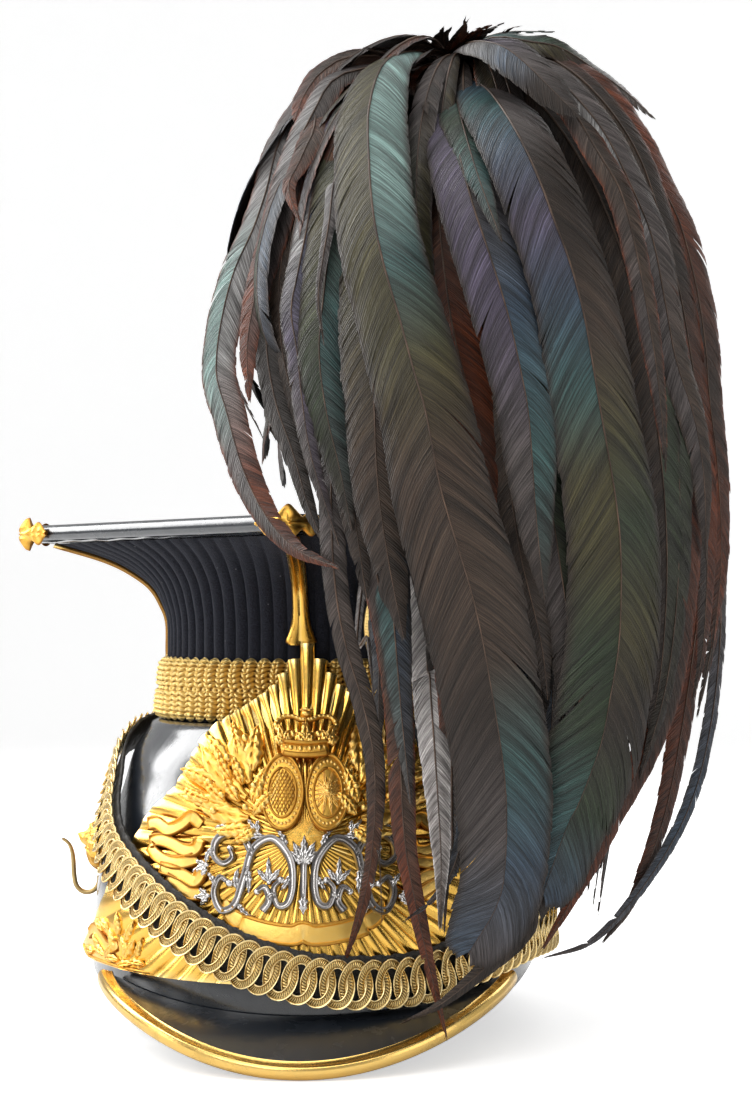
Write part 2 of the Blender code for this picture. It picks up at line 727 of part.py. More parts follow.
def plate_reach(bearing):
    """Distance in mm from the middle of the rays to the plate's outline, bearing 0 upwards."""
    right = [(angle * PLATE_MM_PER_DEGREE, height - PLATE_CENTRE_HEIGHT)
             for angle, height in PLATE_OUTLINE]
    loop = right + [(-x, y) for x, y in right[-2:0:-1]]
    dx, dy = math.sin(bearing), math.cos(bearing)
    best = None
    for (ax, ay), (bx, by) in zip(loop, loop[1:] + loop[:1]):
        ex, ey = bx - ax, by - ay
        turn = dx * ey - dy * ex
        if abs(turn) < 1e-9:
            continue
        reach = (ax * ey - ay * ex) / turn
        along = (ax * dy - ay * dx) / turn
        if reach > 0.0 and -1e-6 <= along <= 1.0 + 1e-6:
            best = reach if best is None else max(best, reach)
    return best


def build_plate():
    """Sheet of fluted rays that spread from the middle to the outline."""
    bm = bmesh.new()
    steps = PLATE_RAYS * 2
    middle = bm.verts.new(standing_point(0.0, PLATE_CENTRE_HEIGHT, PLATE_SEAT + PLATE_THICKNESS))
    rows = []
    for share in PLATE_RINGS:
        row = []
        for i in range(steps):
            bearing = math.tau * i / steps
            reach = plate_reach(bearing) * share
            angle = reach * math.sin(bearing) / PLATE_MM_PER_DEGREE
            height = PLATE_CENTRE_HEIGHT + reach * math.cos(bearing)
            flute = PLATE_FLUTE * share * (1.0 if i % 2 == 0 else -1.0)
            row.append(bm.verts.new(standing_point(
                angle, height, plate_standing(angle) + PLATE_THICKNESS + flute)))
        rows.append(row)
    for i in range(steps):
        j = (i + 1) % steps
        bm.faces.new((middle, rows[0][j], rows[0][i]))
        for near, far in zip(rows, rows[1:]):
            bm.faces.new((near[i], near[j], far[j], far[i]))
    bmesh.ops.recalc_face_normals(bm, faces=bm.faces)
    front = [face for face in bm.faces if face.normal.y < 0.0]
    if len(front) < len(bm.faces) / 2:
        bmesh.ops.reverse_faces(bm, faces=bm.faces)
    plate = add_open_sheet("plate", bm, gilt)
    sheet = plate.modifiers.new("thickness", "SOLIDIFY")
    sheet.thickness = PLATE_THICKNESS
    sheet.offset = -1.0
    return plate


def add_open_sheet(name, bm, finish):
    """Part from an open sheet whose faces already point outwards."""
    mesh = bpy.data.meshes.new(name)
    bm.to_mesh(mesh)
    bm.free()
    mesh.materials.append(finish)
    part = bpy.data.objects.new(name, mesh)
    parts.objects.link(part)
    part.parent = base
    return part


def relief(name, angle, height, outline, seat=RELIEF_SEAT, finish=gilt):
    """Low cast form on the plate from an outline in mm, domed towards its middle."""
    def place(sideways, up, standing):
        wide = shell_point(90.0, height).x / MM
        return standing_point(angle + math.degrees(sideways / wide), height + up, standing)

    bm = bmesh.new()
    layers = ((1.0, seat), (0.96, seat + RELIEF_HEIGHT * 0.6), (0.6, seat + RELIEF_HEIGHT))
    rows = [[bm.verts.new(place(x * scale, y * scale, standing)) for x, y in outline]
            for scale, standing in layers]
    count = len(outline)
    foot = bm.verts.new(place(0.0, 0.0, seat))
    crest = bm.verts.new(place(0.0, 0.0, seat + RELIEF_HEIGHT))
    for i in range(count):
        j = (i + 1) % count
        for near, far in zip(rows, rows[1:]):
            bm.faces.new((near[i], near[j], far[j], far[i]))
        bm.faces.new((foot, rows[0][i], rows[0][j]))
        bm.faces.new((crest, rows[-1][i], rows[-1][j]))
    return add_part(name, bm, finish)


def both_sides(half):
    """Whole outline from its half on the wearer's left, which starts and ends on the middle."""
    return half + [(-x, y) for x, y in half[-2:0:-1]]


def build_coronet():
    relief("coronet", 0.0, CORONET_HEIGHT, both_sides(CORONET_OUTLINE), CORONET_SEAT)


def build_ovals():
    turns = [math.tau * i / OVAL_SIDES for i in range(OVAL_SIDES)]
    outline = [(OVAL_HALF_WIDTH * math.cos(turn), OVAL_HALF_HEIGHT * math.sin(turn))
               for turn in turns]
    relief("oval_right", -OVAL_ANGLE, OVAL_HEIGHT, outline)
    relief("oval_left", OVAL_ANGLE, OVAL_HEIGHT, outline)


def build_sprays():
    """Leaf spray on each side of the ovals, pointed lobes round a middle."""
    for name, side in (("spray_right", -1.0), ("spray_left", 1.0)):
        outline = []
        for (bearing, length), (following, next_length) in zip(
                SPRAY_LOBES, SPRAY_LOBES[1:] + [(SPRAY_LOBES[0][0] + 360.0, SPRAY_LOBES[0][1])]):
            for place, reach in ((bearing, length),
                                 ((bearing + following) / 2,
                                  min(length, next_length) * SPRAY_VALLEY)):
                turn = math.radians(place) * side
                outline.append((reach * math.sin(turn), reach * math.cos(turn)))
        relief(name, side * SPRAY_ANGLE, SPRAY_HEIGHT, outline, SPRAY_SEAT)


def ribbon(name, rows, half_width, thickness, standing, finish, stations):
    """Flat band along (angle, height) rows, standing off the plate."""
    route = smooth_route(rows, stations)
    rings = []
    for i, (angle, height) in enumerate(route):
        near, far = route[max(i - 1, 0)], route[min(i + 1, stations - 1)]
        normal = shell_normal(angle, height)
        point = shell_point(angle, height)
        along = (shell_point(*far) - shell_point(*near)).normalized()
        across = normal.cross(along).normalized()
        rings.append([point + across * half_width * x + normal * (standing + thickness * y)
                      for x, y in ((-1.0, 0.0), (1.0, 0.0), (0.9, 1.0), (-0.9, 1.0))])
    return loft(name, rings, finish)


def build_scrolls():
    for name, side in (("scroll_right", -1.0), ("scroll_left", 1.0)):
        rows = [(angle * side, height) for angle, height in SCROLL_ROUTE]
        ribbon(name, rows, SCROLL_HALF, SCROLL_THICKNESS, RELIEF_SEAT, gilt, SCROLL_STATIONS)


def build_title_ribbon():
    rows = [(RIBBON_ARC * share, RIBBON_HEIGHT + RIBBON_RISE * share * share)
            for share in (-1.0, -0.5, 0.0, 0.5, 1.0)]
    ribbon("ribbon", rows, RIBBON_HALF, RIBBON_THICKNESS, RIBBON_SEAT, gilt, RIBBON_STATIONS)


def build_silver():
    for name, side in (("silver_scroll_right", -1.0), ("silver_scroll_left", 1.0)):
        rows = [(angle * side, height) for angle, height in SILVER_ROUTE]
        points = [standing_point(angle, height, SILVER_SEAT + SILVER_RADIUS)
                  for angle, height in smooth_route(rows, SILVER_SCROLL_STATIONS)]
        tube(name, points, SILVER_RADIUS, silver, SILVER_SIDES, direction(0.0))
    relief("silver_knot", 0.0, SILVER_BUD_HEIGHT, both_sides(SILVER_BUD_OUTLINE), SILVER_BUD_SEAT,
           silver)


def chain_frames(stations):
    """Point, way across and outward normal at each station of the chain's loop."""
    route = smooth_route(CHAIN_ROUTE, stations, loop=True)
    frames = []
    for i, (angle, height, standing) in enumerate(route):
        near, far = route[i - 1], route[(i + 1) % stations]
        normal = shell_normal(angle, height)
        along = (shell_point(far[0], far[1]) - shell_point(near[0], near[1])).normalized()
        across = normal.cross(along).normalized()
        frames.append((shell_point(angle, height) + normal * standing * MM, across, normal))
    return frames


def build_chain():
    rings = []
    for point, across, normal in chain_frames(STRAP_STATIONS):
        rings.append([point + across * (STRAP_SHIFT + STRAP_HALF_WIDTH * x)
                      + normal * STRAP_THICKNESS * y
                      for x, y in ((-1.0, 0.0), (1.0, 0.0), (1.0, 1.0), (-1.0, 1.0))])
    loft("chain_strap", rings, strap_leather, loop=True)
    rings = []
    low = STRAP_THICKNESS + 2 * GAP
    high = low + CHAIN_THICKNESS
    for i, (point, across, normal) in enumerate(chain_frames(CHAIN_STATIONS)):
        half = CHAIN_HALF_WIDTH - (CHAIN_SCALLOP if i % 2 else 0.0)
        rings.append([point + across * half * x + normal * y
                      for x, y in ((-0.85, low), (0.85, low), (1.0, (low + high) / 2),
                                   (0.6, high), (-0.6, high), (-1.0, (low + high) / 2))])
    loft("chain", rings, brass, loop=True)


def build_bosses():
    """Domed mask with a lobed mane on each side of the skull."""
    for name, side in (("boss_right", -1.0), ("boss_left", 1.0)):
        angle = side * BOSS_ANGLE
        normal = shell_normal(angle, BOSS_HEIGHT)
        across = direction(angle + 90.0)
        upward = normal.cross(across).normalized()
        upward = upward if upward.z > 0.0 else -upward
        centre = shell_point(angle, BOSS_HEIGHT) + normal * 2 * GAP
        rings = []
        for radius, standing in BOSS_SHAPE:
            ring = []
            for k in range(BOSS_SIDES):
                turn = math.tau * k / BOSS_SIDES
                lobe = BOSS_LOBE * (1.0 if k % 2 else -1.0) * radius / BOSS_SHAPE[0][0]
                reach = radius * MM + lobe
                ring.append(centre + (across * math.cos(turn) + upward * math.sin(turn)) * reach
                            + normal * standing * MM)
            rings.append(ring)
        loft(name, rings, gilt)


def build_hook():
    points = [Vector((-out * MM, HOOK_Y, height * MM))
              for out, height in smooth_route(HOOK_ROUTE, HOOK_STATIONS)]
    tube("hook_right", points, HOOK_RADIUS, brass, HOOK_SIDES, Vector((0.0, 1.0, 0.0)))


def turned(name, profile, sides, finish):
    """Solid of revolution about its own Z, from (radius, height) in mm, down its outer side."""
    mesh = bpy.data.meshes.new(name)
    rows = [(radius * MM, 0.0, height * MM) for radius, height in profile]
    mesh.from_pydata(rows, [(i, i + 1) for i in range(len(rows) - 1)], [])
    mesh.materials.append(finish)
    part = bpy.data.objects.new(name, mesh)
    parts.objects.link(part)
    part.parent = base
    spin = part.modifiers.new("turn", "SCREW")
    spin.steps = sides
    spin.render_steps = sides
    spin.use_merge_vertices = True
    spin.merge_threshold = 0.00001
    return part


def build_rosette():
    profile = [(0.0, ROSETTE_SHAPE[-1][1])] + ROSETTE_SHAPE[-2::-1] + [(0.0, 0.0)]
    rosette = turned("rosette", profile, ROSETTE_SIDES, gimp)
    outward = direction(ROSETTE_ANGLE)
    rosette.location = outward * ROSETTE_SEAT + Vector((0.0, 0.0, ROSETTE_HEIGHT))
    tip = Vector((outward.x, outward.y, -math.sin(math.radians(ROSETTE_LEAN))))
    rosette.rotation_euler = tip.to_track_quat("Z", "Y").to_euler()
    return rosette


def plume_place(out, height):
    """Point in the upright plane of the plume: distance from the cap's axis and height, in mm."""
    return direction(PLUME_SIDE_ANGLE) * out * MM + Vector((0.0, 0.0, height * MM))


def build_socket():
    foot = plume_place(*SOCKET_FOOT)
    head = plume_place(*SOCKET_HEAD)
    shares = (0.0, 0.5, 0.8, 0.9, 1.0)
    radii = [SOCKET_RADII[0], SOCKET_RADII[0], SOCKET_RADII[0], SOCKET_RADII[1], SOCKET_RADII[1]]
    points = [foot.lerp(head, share) for share in shares]
    return tube("plume_socket", points, [radius * MM for radius in radii], gilt, SOCKET_SIDES,
                direction(PLUME_SIDE_ANGLE + 90.0))


def lock_rings(layer, bearing, tip_reach, tip_height, width):
    """Rings of one lock of feathers: it rises from the head, turns over and falls to its tip."""
    root, rise, shoulder_reach, shoulder = LOCK_LAYERS[layer]
    away = direction(PLUME_SIDE_ANGLE - bearing)
    side = direction(PLUME_SIDE_ANGLE - bearing + 90.0)
    stem = plume_place(SOCKET_HEAD[0], 0.0)
    knots = [(LOCK_ROOT, root), (30.0, rise), (shoulder_reach, shoulder), (tip_reach, tip_height)]
    rings = []
    for i in range(LOCK_STATIONS):
        t = i / (LOCK_STATIONS - 1)
        weights = ((1 - t) ** 3, 3 * t * (1 - t) ** 2, 3 * t * t * (1 - t), t ** 3)
        slopes = (-3 * (1 - t) ** 2, 3 * (1 - t) ** 2 - 6 * t * (1 - t),
                  6 * t * (1 - t) - 3 * t * t, 3 * t * t)
        out = sum(w * knot[0] for w, knot in zip(weights, knots))
        up = sum(w * knot[1] for w, knot in zip(weights, knots))
        d_out = sum(s * knot[0] for s, knot in zip(slopes, knots))
        d_up = sum(s * knot[1] for s, knot in zip(slopes, knots))
        normal = (away * -d_up + Vector((0.0, 0.0, d_out))).normalized()
        half = width / 2 * MM * lock_width_share(t)
        thick = LOCK_THICKNESS / 2 * MM * (0.5 + 0.5 * lock_width_share(t))
        middle = stem + away * out * MM + Vector((0.0, 0.0, up * MM))
        rings.append([middle - side * half, middle + normal * thick, middle + side * half,
                      middle - normal * thick])
    return rings


def lock_width_share(t):
    """Width along a lock: narrow at the quill, full past the middle, pointed at the tip."""
    return float(np.interp(t, (0.0, 0.15, 0.4, 0.75, 0.9, 1.0), (0.06, 0.22, 0.85, 1.0, 0.6, 0.1)))


def build_plume():
    """Locks of feathers joined to the wound head by one union."""
    head = turned("plume", [(0.0, HEAD_SHAPE[-1][0])]
                  + [(radius, height) for height, radius in HEAD_SHAPE[::-1]]
                  + [(0.0, HEAD_SHAPE[0][0])], HEAD_SIDES, feather)
    head.location = plume_place(SOCKET_HEAD[0], 0.0)
    for i, row in enumerate(LOCKS):
        lock = loft("lock_%02d" % i, lock_rings(*row), feather)
        parts.objects.unlink(lock)
        plume_locks.objects.link(lock)
        lock.hide_render = True
        lock.display_type = "WIRE"
    join = head.modifiers.new("locks", "BOOLEAN")
    join.operation = "UNION"
    join.solver = "EXACT"
    join.operand_type = "COLLECTION"
    join.collection = plume_locks
    return head


build_peak()
binding = build_peak_binding()
build_skull(lowest_point(binding))
build_crown()
build_board()
build_waist_band()
for corner_number in range(4):
    build_corner_leaf(corner_number)
    build_corner_strip(corner_number)
build_plate()
build_coronet()
build_ovals()
build_sprays()
build_scrolls()
build_title_ribbon()
build_silver()
build_chain()
build_bosses()
build_hook()
build_rosette()
build_socket()
build_plume()

# The origin goes under the middle of the whole cap, on the surface that it stands on
bpy.context.view_layer.update()
graph = bpy.context.evaluated_depsgraph_get()
corners = []
for part in parts.objects:
    if part.type == "MESH":
        evaluated = part.evaluated_get(graph)
        corners.extend(evaluated.matrix_world @ vertex.co for vertex in evaluated.data.vertices)
lowest = [min(corner[axis] for corner in corners) for axis in range(3)]
highest = [max(corner[axis] for corner in corners) for axis in range(3)]
base.location = (-(lowest[0] + highest[0]) / 2, -(lowest[1] + highest[1]) / 2, -lowest[2])
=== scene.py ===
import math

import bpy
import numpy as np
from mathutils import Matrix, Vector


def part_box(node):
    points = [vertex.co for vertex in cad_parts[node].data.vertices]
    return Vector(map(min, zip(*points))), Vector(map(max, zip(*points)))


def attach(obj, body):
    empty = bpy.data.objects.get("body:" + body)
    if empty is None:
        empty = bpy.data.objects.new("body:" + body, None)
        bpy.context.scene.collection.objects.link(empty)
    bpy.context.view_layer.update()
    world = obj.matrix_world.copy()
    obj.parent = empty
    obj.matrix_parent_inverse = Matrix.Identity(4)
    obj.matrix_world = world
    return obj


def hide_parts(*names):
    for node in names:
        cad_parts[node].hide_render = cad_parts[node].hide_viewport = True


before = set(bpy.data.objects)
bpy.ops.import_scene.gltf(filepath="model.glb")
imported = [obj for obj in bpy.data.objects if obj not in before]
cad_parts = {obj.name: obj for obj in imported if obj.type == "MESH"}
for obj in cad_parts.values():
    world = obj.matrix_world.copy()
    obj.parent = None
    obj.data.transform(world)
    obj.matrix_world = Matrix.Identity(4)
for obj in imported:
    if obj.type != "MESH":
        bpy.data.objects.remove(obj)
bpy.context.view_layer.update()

# %% [markdown]
# # An officer's lance cap
# The frame above brings in the plain solids of the cap. This script dresses them: every cell makes
# one piece or one finish of the real cap, and each piece rides on the frame. The cap has a leather
# skull with a peak, a waisted crown of ribbed cloth under a square board, a rayed gilt plate, a chin
# chain with a leather backing, and a big falling plume of cock's feathers.

# %% [markdown]
# ## The cap's own frame
# A maker measures a cap from its rim, so every table below holds millimetres from the middle of the
# rim, and angles in degrees round the cap, 0 at the front and growing towards the wearer's left.
# The frame stands the cap on a surface. The skull's middle and the board's top say where that is.

# %% Where the middle of the rim lies
MM = 0.001
BOARD_TOP = 170.0
skull_low, skull_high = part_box("skull")
board_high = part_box("top_board")[1]
rim_middle = np.array([
    (skull_low[0] + skull_high[0]) / 2 / MM,
    (skull_low[1] + skull_high[1]) / 2 / MM,
    board_high[2] / MM - BOARD_TOP,
])
print("middle of the rim in mm:", rim_middle.round(2))

# %% [markdown]
# ## Meshes from arrays
# A piece such as the plate or a feather has thousands of points that follow one rule. Writing them
# with numpy is quick: one array of points, one array of quads. A grid of rows and columns is all that
# most pieces need, closed along either way when it goes round.

# %% New object in the scene
def new_object(name, data):
    """Object with its data, linked to the scene."""
    made = bpy.data.objects.new(name, data)
    bpy.context.scene.collection.objects.link(made)
    return made


# %% Quads of a grid
def grid_faces(rows, columns, round_rows=False, round_columns=False):
    """Quads between neighbouring rows and columns, closed on itself where it goes round."""
    row_count = rows if round_rows else rows - 1
    column_count = columns if round_columns else columns - 1
    row, column = np.meshgrid(np.arange(row_count), np.arange(column_count), indexing="ij")
    next_row = (row + 1) % rows
    next_column = (column + 1) % columns
    corners = (row * columns + column, row * columns + next_column,
               next_row * columns + next_column, next_row * columns + column)
    return np.stack([corner.ravel() for corner in corners], axis=1)


# %% [markdown]
# Many small things, such as the rings of the chain or the barbs of a feather, become one mesh. A
# Heap gathers their points, their faces and the values that a material reads on them.

# %% A heap of points and faces that becomes one piece
class Heap:
    """Gathers grids in millimetres, with a place on the surface (uv) and named values a point."""

    def __init__(self):
        self.points = []
        self.faces = []
        self.places = []
        self.values = {}
        self.count = 0

    def add(self, points, faces, uv=None, **values):
        points = np.asarray(points, dtype=float).reshape(-1, 3)
        self.points.append(points)
        self.faces.extend((np.asarray(faces) + self.count).tolist())
        self.places.append(np.zeros((len(points), 2)) if uv is None
                           else np.asarray(uv, dtype=float).reshape(-1, 2))
        for name, value in values.items():
            row = np.asarray(value, dtype=float)
            wide = row.reshape(-1, 3) if row.size == 3 * len(points) or row.shape == (3,) \
                else row.reshape(-1, 1)
            full = np.broadcast_to(wide, (len(points), wide.shape[1]))
            self.values.setdefault(name, []).append(full)
        self.count += len(points)

    def fan(self, ring, centre_point):
        """Closes a ring of points with triangles to one point."""
        ring = np.asarray(ring, dtype=float)
        count = len(ring)
        faces = [(i, (i + 1) % count, count) for i in range(count)]
        self.add(np.vstack([ring, centre_point]), faces)

    def piece(self, name, finishes, replaces, slot, sharp=None):
        """Makes the object, places it on the cap and hides the plain solids that it replaces."""
        mesh = bpy.data.meshes.new(name)
        points = (np.vstack(self.points) + rim_middle) * MM
        mesh.from_pydata(points.tolist(), [], self.faces)
        corners = np.empty(len(mesh.loops), dtype=np.int32)
        mesh.loops.foreach_get("vertex_index", corners)
        layer = mesh.uv_layers.new(name="place")
        layer.data.foreach_set("uv", np.vstack(self.places)[corners].ravel())
        for value_name, blocks in self.values.items():
            block = np.vstack(blocks)
            kind = "FLOAT_VECTOR" if block.shape[1] == 3 else "FLOAT"
            field = "vector" if block.shape[1] == 3 else "value"
            attribute = mesh.attributes.new(value_name, kind, "POINT")
            attribute.data.foreach_set(field, block.ravel())
        mesh.shade_smooth()
        if sharp:
            mesh.set_sharp_from_angle(angle=math.radians(sharp))
        for finish in finishes:
            mesh.materials.append(finish)
        made = new_object(name, mesh)
        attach(made, "root")
        if replaces:
            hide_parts(*replaces)
        triangles = sum(len(polygon.vertices) - 2 for polygon in mesh.polygons)
        print(name + ":", triangles, "triangles")
        return made


# %% [markdown]
# A grid that runs round a closed line is a shell. Solids are grids too: their rows go up the outside
# and come back down the inside, and a fan closes each end.

# %% Closed solid through rings
def add_rings(heap, rings, round_rows=False, caps=True, uv=None, seam=False, **values):
    """Grid through rings of points (rows, columns, 3), each ring closed on itself.

    With seam, the last column already repeats the first, so that uv can run on up to it."""
    rings = np.asarray(rings, dtype=float)
    rows, columns = rings.shape[:2]
    heap.add(rings, grid_faces(rows, columns, round_rows, not seam), uv, **values)
    if caps and not round_rows:
        for ring in (rings[0], rings[-1]):
            fill = {name: np.asarray(value).reshape(rows, columns, -1)[0 if ring is rings[0] else -1]
                    for name, value in values.items() if np.size(value) > 3}
            middle = ring.mean(axis=0)
            faces = [(i, (i + 1) % columns, columns) for i in range(columns)]
            extra = {name: np.vstack([block, block.mean(axis=0, keepdims=True)])
                     for name, block in fill.items()}
            for name, value in values.items():
                if name not in extra:
                    extra[name] = value
            heap.add(np.vstack([ring, middle]), faces, None, **extra)


# %% [markdown]
# ## Curves through chosen points
# Routes, such as the chain's, and tables, such as the skull's sizes, are a few given rows.
# Between the rows the cap is smooth, so both are read from a curve through the rows and not from
# straight lines.

# %% Smooth curves through rows
def smooth_route(rows, count, loop=False):
    """Rows read evenly from a smooth curve through them."""
    knots = np.array(rows, dtype=float)
    if loop:
        before, after = knots[-2:].copy(), knots[:3].copy()
        before[:, 0] -= 360.0
        after[:, 0] += 360.0
        knots = np.vstack([before, knots, after])
        first, spans = 2, len(rows)
    else:
        knots = np.vstack([2 * knots[0] - knots[1], knots, 2 * knots[-1] - knots[-2]])
        first, spans = 1, len(rows) - 1
    steps = np.linspace(0.0, spans, count, endpoint=not loop)
    whole = np.minimum(steps.astype(int), spans - 1)
    t = (steps - whole)[:, None]
    a, b, c, d = (knots[first + whole + k] for k in (-1, 0, 1, 2))
    return 0.5 * (2 * b + (c - a) * t + (2 * a - 5 * b + 4 * c - d) * t * t
                  + (3 * b - a - 3 * c + d) * t ** 3)


def smooth_value(place, places, values):
    """One value read from a smooth curve through a table, for an array of places."""
    places = np.asarray(places, dtype=float)
    values = np.asarray(values, dtype=float)
    slopes = np.gradient(values, places)
    place = np.clip(place, places[0], places[-1])
    k = np.clip(np.searchsorted(places, place, side="right") - 1, 0, len(places) - 2)
    span = places[k + 1] - places[k]
    t = (place - places[k]) / span
    return ((2 * t ** 3 - 3 * t ** 2 + 1) * values[k] + (t ** 3 - 2 * t ** 2 + t) * span * slopes[k]
            + (3 * t ** 2 - 2 * t ** 3) * values[k + 1] + (t ** 3 - t ** 2) * span * slopes[k + 1])


def eased(share):
    """Share held between 0 and 1, with a soft start and end."""
    share = np.clip(share, 0.0, 1.0)
    return share * share * (3.0 - 2.0 * share)


def unit(vectors):
    """The same directions with a length of one."""
    return vectors / np.linalg.norm(vectors, axis=-1, keepdims=True)


def spread_over(values, share):
    """One value, or several set evenly from 0 to 1, read at each share."""
    return np.interp(share, np.linspace(0.0, 1.0, np.size(values)), np.ravel(values))


def paired(first, second):
    """Two values for every point of a grid, such as its place along and across a surface."""
    return np.stack(np.broadcast_arrays(first, second), axis=-1)


def round_rings(middles, across, lift, radii, turns):
    """Circle of points round each middle, with its own radius, in the plane of across and lift."""
    radii = np.broadcast_to(radii, len(middles))[:, None, None]
    return (middles[:, None, :] + across[:, None, :] * np.cos(turns)[None, :, None] * radii
            + lift[:, None, :] * np.sin(turns)[None, :, None] * radii)


def distance_along(points):
    """Distance from the first point to each point of a line."""
    return np.concatenate([[0.0], np.cumsum(np.linalg.norm(np.diff(points, axis=0), axis=1))])


# The wearer's sides and their signs across the cap
SIDES = (("right", -1.0), ("left", 1.0))

# %% [markdown]
# ## The oval of the skull
# Everything on the front of the cap lies on the skull, so its surface is the ground for the plate,
# the chain and the bosses: a point at an angle and a height, pushed out along the surface's normal.

# %% Skull surface as a function
# (height, half width, half depth)
SHELL = [
    (-20.0, 86.0, 107.0),
    (12.0, 85.4, 105.0),
    (33.0, 83.8, 100.7),
    (50.0, 79.6, 94.2),
    (70.0, 73.8, 85.6),
    (84.0, 69.2, 79.1),
    (93.2, 63.2, 71.5),
    (119.0, 60.3, 66.3),
    (124.0, 59.6, 65.6),
]
SHELL_HEIGHTS, SHELL_WIDTHS, SHELL_DEPTHS = zip(*SHELL)


def direction(angle):
    """Level unit vector at an angle round the cap."""
    turn = np.radians(angle)
    return np.stack([np.sin(turn), -np.cos(turn), np.zeros_like(turn)], axis=-1)


def shell_point(angle, height, standing=0.0):
    """Point of the skull's oval, made wider and deeper by standing."""
    angle, height, standing = np.broadcast_arrays(
        np.asarray(angle, dtype=float), np.asarray(height, dtype=float), standing)
    wide = smooth_value(height, SHELL_HEIGHTS, SHELL_WIDTHS) + standing
    deep = smooth_value(height, SHELL_HEIGHTS, SHELL_DEPTHS) + standing
    level = direction(angle)
    return np.stack([wide * level[..., 0], deep * level[..., 1], height], axis=-1)


def shell_normal(angle, height):
    """Outward unit normal of the skull."""
    angle = np.asarray(angle, dtype=float)
    height = np.asarray(height, dtype=float)
    around = shell_point(angle + 1.0, height) - shell_point(angle - 1.0, height)
    upward = shell_point(angle, height + 5.0) - shell_point(angle, height - 5.0)
    return unit(np.cross(around, upward))


def standing_point(angle, height, standing):
    """Point off the skull along its normal."""
    standing = np.asarray(standing, dtype=float)
    return shell_point(angle, height) + shell_normal(angle, height) * standing[..., None]


print("front of the skull at 50 mm:", shell_point(0.0, 50.0).round(1))

# %% [markdown]
# ## Camera, floor and light
# The photograph was taken from the front, about level with the crown, on white. The camera looks
# level, and its lens and aim put the board and the peak where the picture has them. A pale floor that
# bends up behind the cap makes the white ground, and big soft panels give the long highlights on the
# leather and the gilt.

# %% Camera
IMAGE_WIDTH = 752.0
IMAGE_HEIGHT = 1100.0
FOCAL_PIXELS = 2277.0
CAP_MIDDLE_PIXEL = (314.0, 611.0)
CAMERA_TURN = math.radians(2.0)
CAMERA_AWAY = 900.0
CAMERA_HEIGHT = 136.0
SENSOR_WIDTH = 36.0
back = np.array([math.sin(CAMERA_TURN), -math.cos(CAMERA_TURN), 0.0])
rightward = np.array([math.cos(CAMERA_TURN), math.sin(CAMERA_TURN), 0.0])
upward = np.array([0.0, 0.0, 1.0])
eye = back * CAMERA_AWAY + upward * CAMERA_HEIGHT
aim = (upward * CAMERA_HEIGHT
       + rightward * CAMERA_AWAY * (IMAGE_WIDTH / 2 - CAP_MIDDLE_PIXEL[0]) / FOCAL_PIXELS
       + upward * CAMERA_AWAY * (CAP_MIDDLE_PIXEL[1] - IMAGE_HEIGHT / 2) / FOCAL_PIXELS)


def on_cap(point):
    """Point in the scene, in metres, of a point in the cap's own millimetres."""
    return Vector(((np.asarray(point) + rim_middle) * MM).tolist())


def looking(place, target):
    """Rotation that turns a camera or a lamp at a place towards a target."""
    return (target - place).to_track_quat("-Z", "Y").to_euler()


camera_data = bpy.data.cameras.new("camera")
camera_data.sensor_fit = "HORIZONTAL"
camera_data.sensor_width = SENSOR_WIDTH
camera_data.lens = FOCAL_PIXELS / IMAGE_WIDTH * SENSOR_WIDTH
camera_data.clip_start = 0.05
camera = new_object("camera", camera_data)
camera.location = on_cap(eye)
camera.rotation_euler = looking(on_cap(eye), on_cap(aim))
bpy.context.scene.camera = camera
print("lens:", round(camera_data.lens, 1), "mm")

# %% Soft panels of light
# name: (bearing round the cap, height, distance, width, height of the panel, watts)
PANELS = {
    "window": (-110.0, 760.0, 850.0, 480.0, 1100.0, 12.0),
    "low window": (-76.0, 300.0, 900.0, 220.0, 600.0, 1.1),
    "front": (-28.0, 620.0, 1000.0, 700.0, 700.0, 4.4),
    "fill": (62.0, 330.0, 1100.0, 800.0, 900.0, 2.5),
    "top": (10.0, 1150.0, 250.0, 900.0, 900.0, 5.0),
    "behind": (150.0, 700.0, 900.0, 800.0, 600.0, 3.0),
}
PANEL_AIM = 150.0
ROOM_LIGHT = 0.42
for panel_name, (bearing, height, distance, width, tall, watts) in PANELS.items():
    lamp = bpy.data.lights.new(panel_name, "AREA")
    lamp.shape = "RECTANGLE"
    lamp.size = width * MM
    lamp.size_y = tall * MM
    lamp.energy = watts
    panel = new_object(panel_name, lamp)
    panel.location = on_cap(direction(bearing) * distance + upward * height)
    panel.rotation_euler = looking(panel.location, on_cap(upward * PANEL_AIM))
    panel.visible_camera = False

world = bpy.data.worlds.new("studio")
world.use_nodes = True
room = world.node_tree.nodes["Background"].inputs
room["Color"].default_value = (1.0, 1.0, 1.0, 1.0)
room["Strength"].default_value = ROOM_LIGHT
bpy.context.scene.world = world
bpy.context.scene.view_settings.view_transform = "Standard"
print("panels:", len(PANELS))

# %% [markdown]
# ## Small helpers for materials
# Each finish is a tree of shader nodes. These helpers add a node, join it up and hand back its
# output, so that a finish below reads like a recipe.

# %% Node helpers
def set_input(tree, socket, value):
    """Links an output to an input, or sets a plain value; a colour gets its fourth part."""
    if isinstance(value, bpy.types.NodeSocket):
        tree.links.new(value, socket)
    elif socket.type == "RGBA" and len(value) == 3:
        socket.default_value = (*value, 1.0)
    else:
        socket.default_value = value


def new_node(tree, kind, values=None, **settings):
    """Node of a kind, with its settings and with values or links for its inputs by name."""
    made = tree.nodes.new(kind)
    for setting, value in settings.items():
        setattr(made, setting, value)
    for name, value in (values or {}).items():
        set_input(tree, made.inputs[name], value)
    return made


